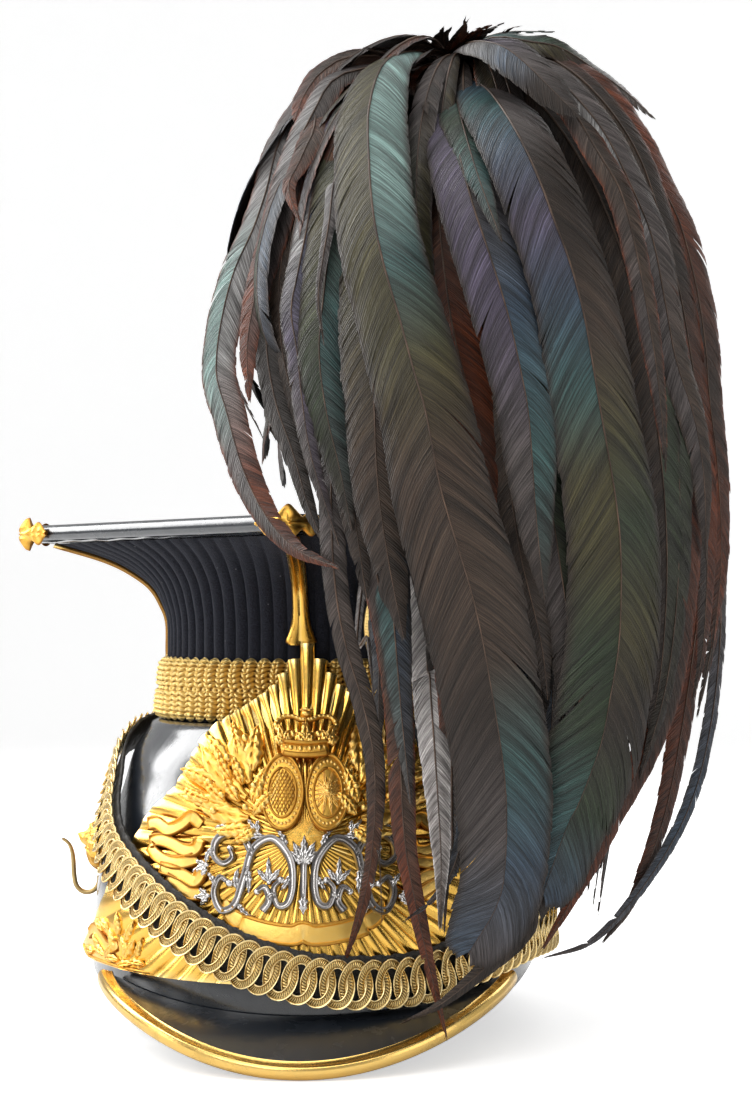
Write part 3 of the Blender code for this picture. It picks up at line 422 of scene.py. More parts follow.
def maths(tree, operation, first, second=0.0, third=0.0, clamp=False):
    """Math node on numbers or sockets."""
    return new_node(tree, "ShaderNodeMath", {0: first, 1: second, 2: third}, operation=operation,
                    use_clamp=clamp).outputs[0]


def blend(tree, share, first, second, mode="MIX"):
    """Colour mixed between two colours by a share."""
    made = tree.nodes.new("ShaderNodeMix")
    made.data_type = "RGBA"
    made.blend_type = mode
    for socket, value in ((made.inputs[0], share), (made.inputs[6], first), (made.inputs[7], second)):
        set_input(tree, socket, value)
    return made.outputs[2]


def stretch(tree, value, low, high, to_low=0.0, to_high=1.0):
    """Value mapped from one range to another, held at the ends."""
    return new_node(tree, "ShaderNodeMapRange", {
        "Value": value, "From Min": low, "From Max": high, "To Min": to_low, "To Max": to_high,
    }).outputs["Result"]


def noise(tree, place, scale, detail=3.0, roughness=0.55, distortion=0.0):
    return new_node(tree, "ShaderNodeTexNoise", {
        "Vector": place, "Scale": scale, "Detail": detail, "Roughness": roughness,
        "Distortion": distortion,
    }).outputs[0]


def cap_place(tree):
    """Place in metres on the cap itself."""
    return new_node(tree, "ShaderNodeTexCoord").outputs["Object"]


def mesh_place(tree):
    """Place that a mesh carries on its points: X along, Y across or round."""
    place = new_node(tree, "ShaderNodeUVMap", uv_map="place").outputs[0]
    return new_node(tree, "ShaderNodeSeparateXYZ", {0: place}).outputs


def wave_of(tree, turns):
    """Wave from -1 to 1 that repeats once a turn."""
    return maths(tree, "COSINE", maths(tree, "MULTIPLY", turns, math.tau))


def slanted_turns(tree, place, given):
    """Number of turns at a place, more of them further across when they slant."""
    return maths(tree, "MULTIPLY_ADD", place["Y"], given["Slant"],
                 maths(tree, "MULTIPLY", place["X"], given["Turns"]))


def new_group(name, inputs, outputs):
    """Empty node group with named inputs (name, kind, value) and outputs (name, kind)."""
    tree = bpy.data.node_groups.new(name, "ShaderNodeTree")
    for label, kind, value in inputs:
        socket = tree.interface.new_socket(label, in_out="INPUT", socket_type="NodeSocket" + kind)
        socket.default_value = value
    for label, kind in outputs:
        tree.interface.new_socket(label, in_out="OUTPUT", socket_type="NodeSocket" + kind)
    return tree, tree.nodes.new("NodeGroupInput").outputs, tree.nodes.new("NodeGroupOutput").inputs


def use_group(tree, group, values=None):
    """Places a group in a material with its own values, and hands back its outputs."""
    made = tree.nodes.new("ShaderNodeGroup")
    made.node_tree = group
    for name, value in (values or {}).items():
        set_input(tree, made.inputs[name], value)
    return made.outputs


def new_finish(name, **constants):
    """Material with a Principled shader whose even values are set on its own sockets."""
    made = bpy.data.materials.new(name)
    made.use_nodes = True
    shader = made.node_tree.nodes["Principled BSDF"]
    for label, value in constants.items():
        set_input(made.node_tree, shader.inputs[label.replace("_", " ")], value)
    return made, made.node_tree, shader


def set_surface(tree, shader, colour, roughness=None):
    """Joins a colour to a Principled shader, and a roughness where it isn't even."""
    tree.links.new(colour, shader.inputs["Base Color"])
    if roughness is not None:
        tree.links.new(roughness, shader.inputs["Roughness"])


def add_bumps(tree, shader, *layers):
    """Bump nodes in a chain, each from a height and a depth in millimetres."""
    normal = None
    for height, depth in layers:
        made = new_node(tree, "ShaderNodeBump", {"Height": height, "Distance": depth * MM,
                                                 "Strength": 1.0})
        if normal is not None:
            tree.links.new(normal, made.inputs["Normal"])
        normal = made.outputs["Normal"]
    tree.links.new(normal, shader.inputs["Normal"])


# %% [markdown]
# ## Effects that several finishes share
# Wear, tarnish, grain and wound wire show on more than one material. Each is a node group with named
# inputs, made once, and every material sets its own values. Wear follows the shape: a vertex that
# stands out is rubbed bright, and one that lies deep is darkened, which is painted shade in the
# hollows.

# %% Worn edges and painted shade in hollows
wear_and_hollow_shade, given, made_out = new_group(
    "wear and hollow shade",
    [("Edge Amount", "Float", 1.0), ("Hollow Shade Amount", "Float", 1.0), ("Unevenness", "Float", 0.4),
     ("Scale", "Float", 300.0)],
    [("Edges", "Float"), ("Shaded Hollows", "Float")])
tree = wear_and_hollow_shade
pointed = new_node(tree, "ShaderNodeNewGeometry").outputs["Pointiness"]
patches = noise(tree, cap_place(tree), given["Scale"], 4.0, 0.6)
uneven = maths(tree, "MULTIPLY", maths(tree, "SUBTRACT", patches, 0.5), given["Unevenness"])
standing_out = maths(tree, "ADD", stretch(tree, pointed, 0.505, 0.57), uneven)
# Where a vertex lies deep: painted shade in the hollows
shaded_hollows = maths(tree, "ADD", stretch(tree, pointed, 0.495, 0.42), uneven)
tree.links.new(maths(tree, "MULTIPLY", standing_out, given["Edge Amount"], clamp=True),
               made_out["Edges"])
tree.links.new(maths(tree, "MULTIPLY", shaded_hollows, given["Hollow Shade Amount"], clamp=True),
               made_out["Shaded Hollows"])
print("group:", wear_and_hollow_shade.name)

# %% Fine grain and soft unevenness of leather, cloth and metal
fine_grain, given, made_out = new_group(
    "fine grain",
    [("Grain Scale", "Float", 2500.0), ("Wave Scale", "Float", 120.0)],
    [("Grain", "Float"), ("Waves", "Float")])
tree = fine_grain
place = cap_place(tree)
tree.links.new(noise(tree, place, given["Grain Scale"], 3.0, 0.6), made_out["Grain"])
tree.links.new(noise(tree, place, given["Wave Scale"], 2.0, 0.5, 0.3), made_out["Waves"])
print("group:", fine_grain.name)

# %% Specks of lint and dust
lint_specks, given, made_out = new_group(
    "lint specks", [("Scale", "Float", 700.0), ("Share", "Float", 0.1)], [("Specks", "Float")])
tree = lint_specks
cells = new_node(tree, "ShaderNodeTexVoronoi", {"Vector": cap_place(tree), "Scale": given["Scale"],
                                                "Randomness": 1.0})
near_middle = stretch(tree, cells.outputs["Distance"], 0.16, 0.05)
lottery = new_node(tree, "ShaderNodeSeparateColor", {0: cells.outputs["Color"]}).outputs[0]
drawn = maths(tree, "LESS_THAN", lottery, given["Share"])
tree.links.new(maths(tree, "MULTIPLY", near_middle, drawn), made_out["Specks"])
print("group:", lint_specks.name)

# %% Patches of tarnish
tarnish_patches, given, made_out = new_group(
    "tarnish patches",
    [("Scale", "Float", 60.0), ("Share", "Float", 0.4), ("Softness", "Float", 0.2)],
    [("Patches", "Float")])
tree = tarnish_patches
cloudy = noise(tree, cap_place(tree), given["Scale"], 5.0, 0.65, 0.6)
start = maths(tree, "SUBTRACT", 0.78, maths(tree, "MULTIPLY", given["Share"], 0.56))
full = maths(tree, "ADD", start, given["Softness"])
tree.links.new(stretch(tree, cloudy, start, full), made_out["Patches"])
print("group:", tarnish_patches.name)

# %% Wire wound round a core, read from the place along and round it
wound_wire, given, made_out = new_group(
    "wound wire",
    [("Turns", "Float", 1.0), ("Slant", "Float", 0.0)], [("Height", "Float"), ("Shaded Gaps", "Float")])
tree = wound_wire
wave = wave_of(tree, slanted_turns(tree, mesh_place(tree), given))
tree.links.new(maths(tree, "MULTIPLY_ADD", wave, 0.5, 0.5), made_out["Height"])
# Painted shade in the gaps between the turns of wire
tree.links.new(stretch(tree, wave, -0.55, -1.0), made_out["Shaded Gaps"])
print("group:", wound_wire.name)

# %% Twisted rope in the middle of a flat band, plain at both of its edges
roped_band, given, made_out = new_group(
    "roped band",
    [("Turns", "Float", 1.0), ("Slant", "Float", 0.6), ("Half Width", "Float", 0.24)],
    [("Height", "Float"), ("Shaded Gaps", "Float")])
tree = roped_band
place = mesh_place(tree)
aside = maths(tree, "ABSOLUTE", maths(tree, "SUBTRACT", place["Y"], 0.5))
ending = maths(tree, "ADD", given["Half Width"], 0.06)
in_rope = maths(tree, "SUBTRACT", 1.0, stretch(tree, aside, given["Half Width"], ending))
wave = wave_of(tree, slanted_turns(tree, place, given))
strand = maths(tree, "MULTIPLY_ADD", wave, 0.5, 0.5)
tree.links.new(maths(tree, "MULTIPLY", strand, in_rope), made_out["Height"])
# Painted shade in the gaps between the strands of the rope
tree.links.new(maths(tree, "MULTIPLY", stretch(tree, wave, -0.2, -1.0), in_rope),
               made_out["Shaded Gaps"])
print("group:", roped_band.name)

# %% [markdown]
# ## Patent leather
# Linseed varnish in many coats makes the skull, the peak and the board black and glassy. It isn't
# flat: the leather below shows as slow waves, and the old varnish has a fine crackle and scuffs. So
# the shader is a dark base with a clear coat, and two bumps feed its normal.

# %% Patent leather of the skull, peak and board
patent_leather, tree, shader = new_finish(
    "patent leather", Coat_Weight=1.0, Coat_Roughness=0.14, Coat_IOR=1.5, Specular_IOR_Level=0.4)
grain = use_group(tree, fine_grain, {"Grain Scale": 1900.0, "Wave Scale": 85.0})
wear = use_group(tree, wear_and_hollow_shade, {"Edge Amount": 0.5, "Hollow Shade Amount": 0.6, "Scale": 200.0})
dust = use_group(tree, lint_specks, {"Scale": 900.0, "Share": 0.07})
scuffs = use_group(tree, tarnish_patches, {"Scale": 45.0, "Share": 0.45, "Softness": 0.3})
colour = blend(tree, scuffs["Patches"], (0.0095, 0.0125, 0.0175), (0.017, 0.021, 0.028))
colour = blend(tree, wear["Edges"], colour, (0.05, 0.055, 0.062))
colour = blend(tree, maths(tree, "MULTIPLY", dust["Specks"], 0.35), colour, (0.35, 0.35, 0.33))
set_surface(tree, shader, colour, stretch(tree, scuffs["Patches"], 0.0, 1.0, 0.26, 0.4))
add_bumps(tree, shader, (grain["Waves"], 0.5), (grain["Grain"], 0.035))
peak_leather = patent_leather.copy()
peak_leather.name = "peak leather"
# The peak is handled more than the skull, so its varnish is duller
peak_leather.node_tree.nodes[shader.name].inputs["Coat Roughness"].default_value = 0.36

# %% Bare leather inside the skull and under the peak
bare_leather, tree, shader = new_finish("bare leather", Roughness=0.72)
grain = use_group(tree, fine_grain, {"Grain Scale": 1300.0, "Wave Scale": 70.0})
stains = use_group(tree, tarnish_patches, {"Scale": 38.0, "Share": 0.5, "Softness": 0.3})
colour = blend(tree, stains["Patches"], (0.085, 0.047, 0.024), (0.038, 0.022, 0.013))
colour = blend(tree, stretch(tree, grain["Grain"], 0.42, 0.7, 0.0, 0.4), colour, (0.13, 0.08, 0.045))
set_surface(tree, shader, colour)
add_bumps(tree, shader, (grain["Waves"], 0.4), (grain["Grain"], 0.12))

# %% Dull cracked leather behind the chain
strap_leather, tree, shader = new_finish("strap leather", Specular_IOR_Level=0.4)
grain = use_group(tree, fine_grain, {"Grain Scale": 1500.0, "Wave Scale": 420.0})
wear = use_group(tree, wear_and_hollow_shade, {"Edge Amount": 0.9, "Hollow Shade Amount": 0.5, "Scale": 500.0})
cracks = new_node(tree, "ShaderNodeTexVoronoi", {"Vector": cap_place(tree), "Scale": 650.0,
                                                 "Randomness": 1.0}, feature="DISTANCE_TO_EDGE")
crack_lines = stretch(tree, cracks.outputs["Distance"], 0.0, 0.09)
colour = blend(tree, grain["Grain"], (0.020, 0.019, 0.018), (0.052, 0.049, 0.044))
colour = blend(tree, wear["Edges"], colour, (0.12, 0.105, 0.085))
colour = blend(tree, crack_lines, (0.009, 0.008, 0.007), colour)
set_surface(tree, shader, colour, stretch(tree, grain["Waves"], 0.3, 0.7, 0.5, 0.8))
add_bumps(tree, shader, (crack_lines, 0.12), (grain["Grain"], 0.1))
print("leathers made")

# %% [markdown]
# ## Crown cloth
# The sides of the crown are fine black wool, a little blue, pleated into ribs. Wool has no gloss, but
# its nap catches light at the edges of each rib, which the Principled shader's sheen does. A felted
# bump and a few specks of lint finish it.

# %% Black wool with lint
crown_cloth, tree, shader = new_finish(
    "crown cloth", Roughness=0.94, Specular_IOR_Level=0.18, Sheen_Weight=0.12, Sheen_Roughness=0.45,
    Sheen_Tint=(0.55, 0.6, 0.75))
grain = use_group(tree, fine_grain, {"Grain Scale": 2600.0, "Wave Scale": 330.0})
lint = use_group(tree, lint_specks, {"Scale": 420.0, "Share": 0.1})
colour = blend(tree, stretch(tree, grain["Grain"], 0.38, 0.66), (0.0035, 0.0038, 0.0062),
               (0.018, 0.019, 0.027))
colour = blend(tree, maths(tree, "MULTIPLY", lint["Specks"], 0.45), colour, (0.22, 0.22, 0.24))
set_surface(tree, shader, colour)
add_bumps(tree, shader, (grain["Waves"], 0.25), (grain["Grain"], 0.22))
print("cloth made")

# %% [markdown]
# ## Gilt, tarnished gilt and silver
# The plate and the fittings are brass with fire gilding: deep yellow and bright where it is polished,
# with painted shade that darkens the hollows to orange-brown. The chain and the peak's edge have lost
# some of their gold, so the same recipe takes a paler, dirtier colour. One helper makes all of them
# from their own colours.

# %% Metal with bright edges and painted shade in the hollows
METAL_GRAIN = {"Grain Scale": 2300.0, "Wave Scale": 500.0}
METAL_WEAR = {"Edge Amount": 0.9, "Hollow Shade Amount": 1.0, "Unevenness": 0.5, "Scale": 380.0}


def metal_finish(name, bright, body, deep, smooth, rough, grain_depth, patch_share, hollow=1.0):
    """Metal from three colours and two roughness values; grain_depth is in mm."""
    finish, tree, shader = new_finish(name, Metallic=1.0)
    grain = use_group(tree, fine_grain, METAL_GRAIN)
    wear = use_group(tree, wear_and_hollow_shade, {**METAL_WEAR, "Hollow Shade Amount": hollow})
    patches = use_group(tree, tarnish_patches, {"Scale": 110.0, "Share": patch_share,
                                                "Softness": 0.25})
    colour = blend(tree, patches["Patches"], body, tuple(0.72 * part for part in body))
    # The deep colour in the hollows is painted shade
    colour = blend(tree, wear["Shaded Hollows"], colour, deep)
    colour = blend(tree, wear["Edges"], colour, bright)
    dulled = maths(tree, "MAXIMUM", wear["Shaded Hollows"], patches["Patches"])
    set_surface(tree, shader, colour, stretch(tree, dulled, 0.0, 1.0, smooth, rough))
    add_bumps(tree, shader, (grain["Waves"], grain_depth * 1.6), (grain["Grain"], grain_depth))
    return finish


gilt = metal_finish("gilt", (1.0, 0.74, 0.28), (0.90, 0.53, 0.10), (0.34, 0.12, 0.012),
                    0.22, 0.42, 0.03, 0.25)
cast_gilt = metal_finish("cast gilt", (1.0, 0.74, 0.27), (0.90, 0.52, 0.095), (0.27, 0.09, 0.008),
                         0.36, 0.55, 0.07, 0.25)
tarnished_brass = metal_finish("tarnished brass", (0.93, 0.74, 0.40), (0.72, 0.52, 0.23),
                               (0.14, 0.075, 0.022), 0.28, 0.5, 0.05, 0.5)
binding_gilt = metal_finish("binding gilt", (1.0, 0.74, 0.28), (0.86, 0.55, 0.15),
                            (0.25, 0.12, 0.03), 0.22, 0.42, 0.03, 0.45)
# The silver's hollows are dark with oxide and with painted shade
oxidised_silver = metal_finish("oxidised silver", (0.95, 0.93, 0.91), (0.50, 0.48, 0.47),
                               (0.07, 0.062, 0.06), 0.26, 0.45, 0.04, 0.3, 0.6)

# %% Tarnished gilt of the chain's rings, with a rope between two rims
ring_gilt, tree, shader = new_finish("ring gilt", Metallic=1.0)
grain = use_group(tree, fine_grain, METAL_GRAIN)
wear = use_group(tree, wear_and_hollow_shade, METAL_WEAR)
rope = use_group(tree, roped_band, {"Turns": 1.0, "Slant": 1.4, "Half Width": 0.24})
stains = use_group(tree, tarnish_patches, {"Scale": 150.0, "Share": 0.5, "Softness": 0.3})
colour = blend(tree, stains["Patches"], (0.74, 0.53, 0.21), (0.48, 0.32, 0.11))
# Bright rims: rubbed gilt and a painted highlight
colour = blend(tree, wear["Edges"], colour, (1.0, 0.80, 0.42))
# Dark hollows and dark gaps of the rope: painted shade
colour = blend(tree, wear["Shaded Hollows"], colour, (0.10, 0.055, 0.018))
colour = blend(tree, maths(tree, "MULTIPLY", rope["Shaded Gaps"], 0.9), colour, (0.07, 0.038, 0.012))
set_surface(tree, shader, colour, stretch(tree, stains["Patches"], 0.0, 1.0, 0.27, 0.48))
add_bumps(tree, shader, (rope["Height"], 0.22), (grain["Grain"], 0.04))
print("metals made")

# %% [markdown]
# ## Gold wire work
# Gimp, cords and the rosette are gold wire wound round a core. The wire's turns are fine ridges
# across the cord, so the finish reads how far along and how far round it a point lies.

# %% Gold wire
def wire_finish(name, turns, slant, bright, body, deep):
    finish, tree, shader = new_finish(name, Metallic=0.9)
    wire = use_group(tree, wound_wire, {"Turns": turns, "Slant": slant})
    wear = use_group(tree, wear_and_hollow_shade, {"Edge Amount": 0.7, "Hollow Shade Amount": 1.1,
                                        "Unevenness": 0.4, "Scale": 700.0})
    grain = use_group(tree, fine_grain, {"Grain Scale": 3000.0, "Wave Scale": 900.0})
    # Hollows and the gaps between turns of wire: painted shade
    colour = blend(tree, wear["Shaded Hollows"], body, deep)
    colour = blend(tree, maths(tree, "MULTIPLY", wire["Shaded Gaps"], 0.7), colour, deep)
    colour = blend(tree, maths(tree, "MULTIPLY", wear["Edges"], 0.8), colour, bright)
    set_surface(tree, shader, colour, stretch(tree, wear["Shaded Hollows"], 0.0, 1.0, 0.32, 0.6))
    add_bumps(tree, shader, (wire["Height"], 0.09), (grain["Grain"], 0.05))
    return finish


gold_gimp = wire_finish("gold gimp", 1.0, 0.35, (1.0, 0.80, 0.36), (0.84, 0.56, 0.16),
                        (0.13, 0.055, 0.01))
gold_cord = wire_finish("gold cord", 1.0, 0.5, (1.0, 0.78, 0.36), (0.85, 0.56, 0.17),
                        (0.25, 0.11, 0.02))
print("wire work made")

# %% [markdown]
# ## Floor
# The floor is a shallow bowl of white paper: flat under the cap and bent up far away, so that no
# edge shows behind the cap from any side.

# %% White paper floor
paper, tree, shader = new_finish("white paper", Roughness=0.9, Emission_Color=(1.0, 1.0, 1.0))
seen_straight = new_node(tree, "ShaderNodeLightPath").outputs["Is Camera Ray"]
tree.links.new(maths(tree, "MULTIPLY", seen_straight, 0.55), shader.inputs["Emission Strength"])
fibres = noise(tree, cap_place(tree), 90.0, 4.0)
tree.links.new(blend(tree, fibres, (0.80, 0.80, 0.80), (0.84, 0.84, 0.84)),
               shader.inputs["Base Color"])

FLOOR_RADIUS = 1900.0
FLOOR_BEND = 700.0
FLOOR_WALL = 900.0
FLOOR_SIDES = 72
bends = np.linspace(0.0, math.pi / 2, 13)
floor_profile = [(20.0, 0.0)] + [(FLOOR_RADIUS + FLOOR_BEND * math.sin(bend),
                                  FLOOR_BEND * (1.0 - math.cos(bend))) for bend in bends]
floor_profile.append((FLOOR_RADIUS + FLOOR_BEND, FLOOR_BEND + FLOOR_WALL))
floor_turns = 360.0 / FLOOR_SIDES * np.arange(FLOOR_SIDES)
floor_rings = np.array([direction(floor_turns) * radius + upward * height
                        for radius, height in floor_profile])
floor_mesh = bpy.data.meshes.new("floor")
floor_mesh.from_pydata((floor_rings.reshape(-1, 3) * MM).tolist(), [],
                       grid_faces(len(floor_profile), FLOOR_SIDES, False, True).tolist()
                       + [tuple(range(FLOOR_SIDES))])
floor_mesh.shade_smooth()
floor_mesh.materials.append(paper)
floor = new_object("floor", floor_mesh)
print("floor laid")

# %% [markdown]
# ## Skull
# The skull is one piece of leather, blocked over a wooden oval and open below. It could be a
# sphere pushed into shape, but its height and width follow a table, so a grid of rings is truer. The
# rings start inside at the top, come down the inside, turn round the rim and go up the outside. The
# rim is lower behind the peak and at the back, where the cap stands on it.

# %% Rings of the skull
SKULL_WALL = 2.5
SKULL_COLUMNS = 240
RIM_JOIN = 12.0
BACK_REST_ARC = 50.0
BACK_SLOPE_ARC = 30.0
FRONT_DROP = 7.0
FRONT_DROP_ARC = 50.0
SKULL_SHOULDER = 93.2
SKULL_TOP = 94.2
RIM_JOIN_SHARE = 0.16
RIM_LIP = 1.1
SHOULDER_ROUND = 2.5
INNER_ROWS, LIP_ROWS, OUTER_ROWS = 16, 9, 44
back_level = (skull_low[2] / MM) - rim_middle[2]


def rim_level(angle):
    """Height of the rim at an angle: level at the sides, down at the front and the back."""
    from_front = np.abs((angle + 180.0) % 360.0 - 180.0)
    back_share = eased((BACK_REST_ARC + BACK_SLOPE_ARC - (180.0 - from_front)) / BACK_SLOPE_ARC)
    front_share = eased((FRONT_DROP_ARC + BACK_SLOPE_ARC - from_front) / BACK_SLOPE_ARC)
    return back_level * back_share - FRONT_DROP * front_share


def skull_ring(share, standing):
    """Ring of the skull: share 0 at the rim and 1 at the shoulder, pushed out by standing."""
    angle = 360.0 / SKULL_COLUMNS * np.arange(SKULL_COLUMNS)
    rim = rim_level(angle)
    if share < RIM_JOIN_SHARE:
        height = rim + (RIM_JOIN - rim) * share / RIM_JOIN_SHARE
    else:
        climb = (share - RIM_JOIN_SHARE) / (1.0 - RIM_JOIN_SHARE)
        height = np.full(SKULL_COLUMNS, RIM_JOIN + (SKULL_SHOULDER - RIM_JOIN) * climb)
    ring = shell_point(angle, np.maximum(height, 0.0), standing)
    ring[:, 2] = height
    return ring


rings = [skull_ring(share, -SKULL_WALL) for share in np.linspace(0.97, 0.03, INNER_ROWS)]
for turn in np.linspace(0.0, math.pi, LIP_ROWS):
    ring = skull_ring(0.0, -SKULL_WALL / 2 - SKULL_WALL / 2 * math.cos(turn))
    ring[:, 2] += RIM_LIP - RIM_LIP * math.sin(turn)
    rings.append(ring)
rings.extend(skull_ring(share, 0.0) for share in np.linspace(0.03, 1.0, OUTER_ROWS))
shoulder = skull_ring(1.0, -SHOULDER_ROUND)
shoulder[:, 2] = SKULL_TOP
rings.append(shoulder)
inner_top = rings[0].copy()
inner_top[:, 2] += 0.6
inner_top[:, :2] *= 0.985

skull_heap = Heap()
add_rings(skull_heap, [inner_top] + rings, caps=False)
skull_heap.fan(inner_top, [0.0, 0.0, SKULL_TOP - SKULL_WALL])
skull_heap.fan(shoulder, [0.0, 0.0, SKULL_TOP])
skull = skull_heap.piece("skull_leather", [patent_leather, bare_leather], ["skull"],
                         "patent_leather", sharp=50.0)
# The inner faces show bare leather
for polygon in skull.data.polygons:
    middle = polygon.center / MM - Vector(rim_middle)
    outer = shell_point(0.0, max(middle.z, 0.0))
    wide = shell_point(90.0, max(middle.z, 0.0))[0]
    inner_width, inner_depth = wide - SKULL_WALL * 0.6, abs(outer[1]) - SKULL_WALL * 0.6
    across = math.hypot(middle.x / inner_width, middle.y / inner_depth)
    if across < 1.0 and middle.z < SKULL_TOP - 0.5:
        polygon.material_index = 1

# %% [markdown]
# ## Peak and its binding
# The peak is a crescent of the same leather, sewn under the front of the skull and falling towards
# its edge. Its outline is half an ellipse and its inner edge lies along the skull. A gilt channel is
# closed over the edge.

# %% Peak
PEAK_THICKNESS = 2.2
PEAK_HALF_WIDTH = 76.0
PEAK_CENTRE_Y = -52.0
PEAK_REACH = 88.4
PEAK_END_HEIGHT = 3.6
PEAK_FALL = 21.0
PEAK_FALL_POWER = 2.2
PEAK_ROOT_GAP = 0.95
PEAK_ROOT_HEIGHT = 2.6
PEAK_ROOT_FALL = 8.0
PEAK_ARC = 80.0
PEAK_BULGE = 1.6
PEAK_FAN = 0.66
PEAK_STATIONS = 161
PEAK_ROWS = 22
peak_turns = np.linspace(-PEAK_ARC, PEAK_ARC, PEAK_STATIONS)


def peak_edge(turn):
    """Outer edge of the peak at a turn in degrees, 0 at the front."""
    swing = np.radians(turn)
    fall = PEAK_FALL * np.maximum(np.cos(swing), 0.0) ** PEAK_FALL_POWER
    return np.stack([PEAK_HALF_WIDTH * np.sin(swing), PEAK_CENTRE_Y - PEAK_REACH * np.cos(swing),
                     PEAK_END_HEIGHT - fall], axis=-1)


def peak_root(turn):
    """Inner edge of the peak, along the foot of the skull."""
    root = shell_point(turn * PEAK_FAN, 0.0, PEAK_ROOT_GAP)
    root[..., 2] = PEAK_ROOT_HEIGHT - PEAK_ROOT_FALL * np.cos(np.radians(turn))
    return root


def peak_surface(turn, share):
    """Middle of the peak's leather, share 0 at the skull and 1 at the edge."""
    root, edge = peak_root(turn), peak_edge(turn)
    bulge = PEAK_BULGE * np.cos(np.radians(turn)) * 4.0 * share * (1.0 - share)
    point = root + (edge - root) * share
    point[..., 2] += bulge
    return point


def peak_up(turn, share):
    around = peak_surface(turn + 0.5, share) - peak_surface(turn - 0.5, share)
    outward = peak_surface(turn, share + 0.02) - peak_surface(turn, share - 0.02)
    up = unit(np.cross(outward, around))
    return up * np.sign(up[..., 2:3])


shares = np.concatenate([np.linspace(0.0, 1.0, PEAK_ROWS), np.linspace(1.0, 0.0, PEAK_ROWS)])
lifts = np.repeat([PEAK_THICKNESS / 2, -PEAK_THICKNESS / 2], PEAK_ROWS)
peak_rings = [peak_surface(peak_turns, share) + peak_up(peak_turns, share) * lift
              for share, lift in zip(shares, lifts)]
peak_heap = Heap()
add_rings(peak_heap, np.array(peak_rings).transpose(1, 0, 2))
peak_heap.piece("peak_leather", [peak_leather], ["peak"], "patent_leather", sharp=50.0)

# %% Binding of the peak
BINDING_LIP = 3.8
BINDING_WALL = 0.9
BINDING_NOSE = 1.5
BINDING_ROOM = 0.5
LIP_BEAD = 0.25
grip = PEAK_THICKNESS / 2 + BINDING_ROOM
proud = grip + BINDING_WALL
nose_turns = np.linspace(math.pi / 2, -math.pi / 2, 13)
binding_profile = [(-BINDING_LIP, grip), (-BINDING_LIP, proud - 0.25), (-BINDING_LIP + 0.25, proud),
                   (-BINDING_LIP + 0.7, proud + LIP_BEAD), (-BINDING_LIP + 1.3, proud - 0.05),
                   (-0.9, proud)]
binding_profile += [(BINDING_NOSE * math.cos(turn), proud * math.sin(turn)) for turn in nose_turns]
binding_profile += [(-0.9, -proud), (-BINDING_LIP + 0.2, -proud), (-BINDING_LIP, -proud + 0.3),
                    (-BINDING_LIP, -grip), (0.25, -grip), (0.25, grip)]
edge = peak_edge(peak_turns)
along = unit(peak_edge(peak_turns + 1.0) - peak_edge(peak_turns - 1.0))
outward = edge - peak_surface(peak_turns, 0.5)
outward = unit(outward - along * (outward * along).sum(axis=1, keepdims=True))
rise = np.cross(outward, along)
rise = rise * np.sign(rise[:, 2:3])
binding_rings = np.stack([edge + outward * across + rise * up for across, up in binding_profile],
                         axis=1)
binding_heap = Heap()
add_rings(binding_heap, binding_rings)
binding_heap.piece("peak_binding_gilt", [binding_gilt], ["peak_binding"], "tarnished_brass",
                   sharp=40.0)

# %% [markdown]
# ## Crown of ribbed cloth
# Above the waist the cap is square. Seventeen ribs on each side run from the waist up to the board:
# close together below, wide apart above. The section goes from an oval to a square as it rises,
# so a point is a mix of both. Each rib is an arc across, with a sharp fold between two ribs.

# %% Section of the crown
CROWN_TWIST = -2.5
CROWN_WALL = 2.2
CROWN_RIBS = 17
RIB_HEIGHT = 1.5
WAIST_HALF_WIDTH = 57.0
WAIST_HALF_DEPTH = 62.7
BOARD_CORNER = 113.0
CROWN_FOOT, CROWN_BEND, CROWN_HEAD = 94.8, 134.0, 162.6
# (height, how far the section has gone from the waist's oval to the board's square, widening)
CROWN_FLARE = [
    (94.5, 0.000, 2.7),
    (119.0, 0.000, 0.0),
    (137.0, 0.035, 0.0),
    (149.0, 0.200, 0.0),
    (157.0, 0.475, 0.0),
    (162.7, 0.818, 0.0),
]
FLARE_HEIGHTS, FLARE_SHARES, FLARE_WIDENINGS = zip(*CROWN_FLARE)


def crown_point(around, height, standing=0.0):
    """Point of the crown: around counts the four sides from the front corner, 0 to 4."""
    around = np.asarray(around, dtype=float) % 4.0
    height = np.asarray(height, dtype=float)
    around, height, standing = np.broadcast_arrays(around, height, standing)
    corner = np.floor(around)
    share = around - corner
    level = direction(CROWN_TWIST + 90.0 * around)
    widening = np.interp(height, FLARE_HEIGHTS, FLARE_WIDENINGS) + standing
    oval = level * np.stack([WAIST_HALF_WIDTH + widening, WAIST_HALF_DEPTH + widening,
                             np.zeros_like(widening)], axis=-1)
    near = direction(CROWN_TWIST + 90.0 * corner) * BOARD_CORNER
    far = direction(CROWN_TWIST + 90.0 * (corner + 1.0)) * BOARD_CORNER
    square = near + (far - near) * share[..., None] + level * standing[..., None]
    flare = smooth_value(height, FLARE_HEIGHTS, FLARE_SHARES)[..., None]
    point = oval + (square - oval) * np.clip(flare, 0.0, 1.0)
    point[..., 2] = height
    return point


# %% Ribbed cloth
RIB_POINTS = 9
crown_columns = 4 * CROWN_RIBS * RIB_POINTS
crown_around = 4.0 / crown_columns * np.arange(crown_columns)
rib_phase = (np.arange(crown_columns) % RIB_POINTS) / RIB_POINTS
rib_rise = RIB_HEIGHT * (np.sin(math.pi * rib_phase) ** 0.62 - 0.72)
fold_wander = 0.10 * np.sin(crown_around * 9.1) + 0.08 * np.sin(crown_around * 23.0)
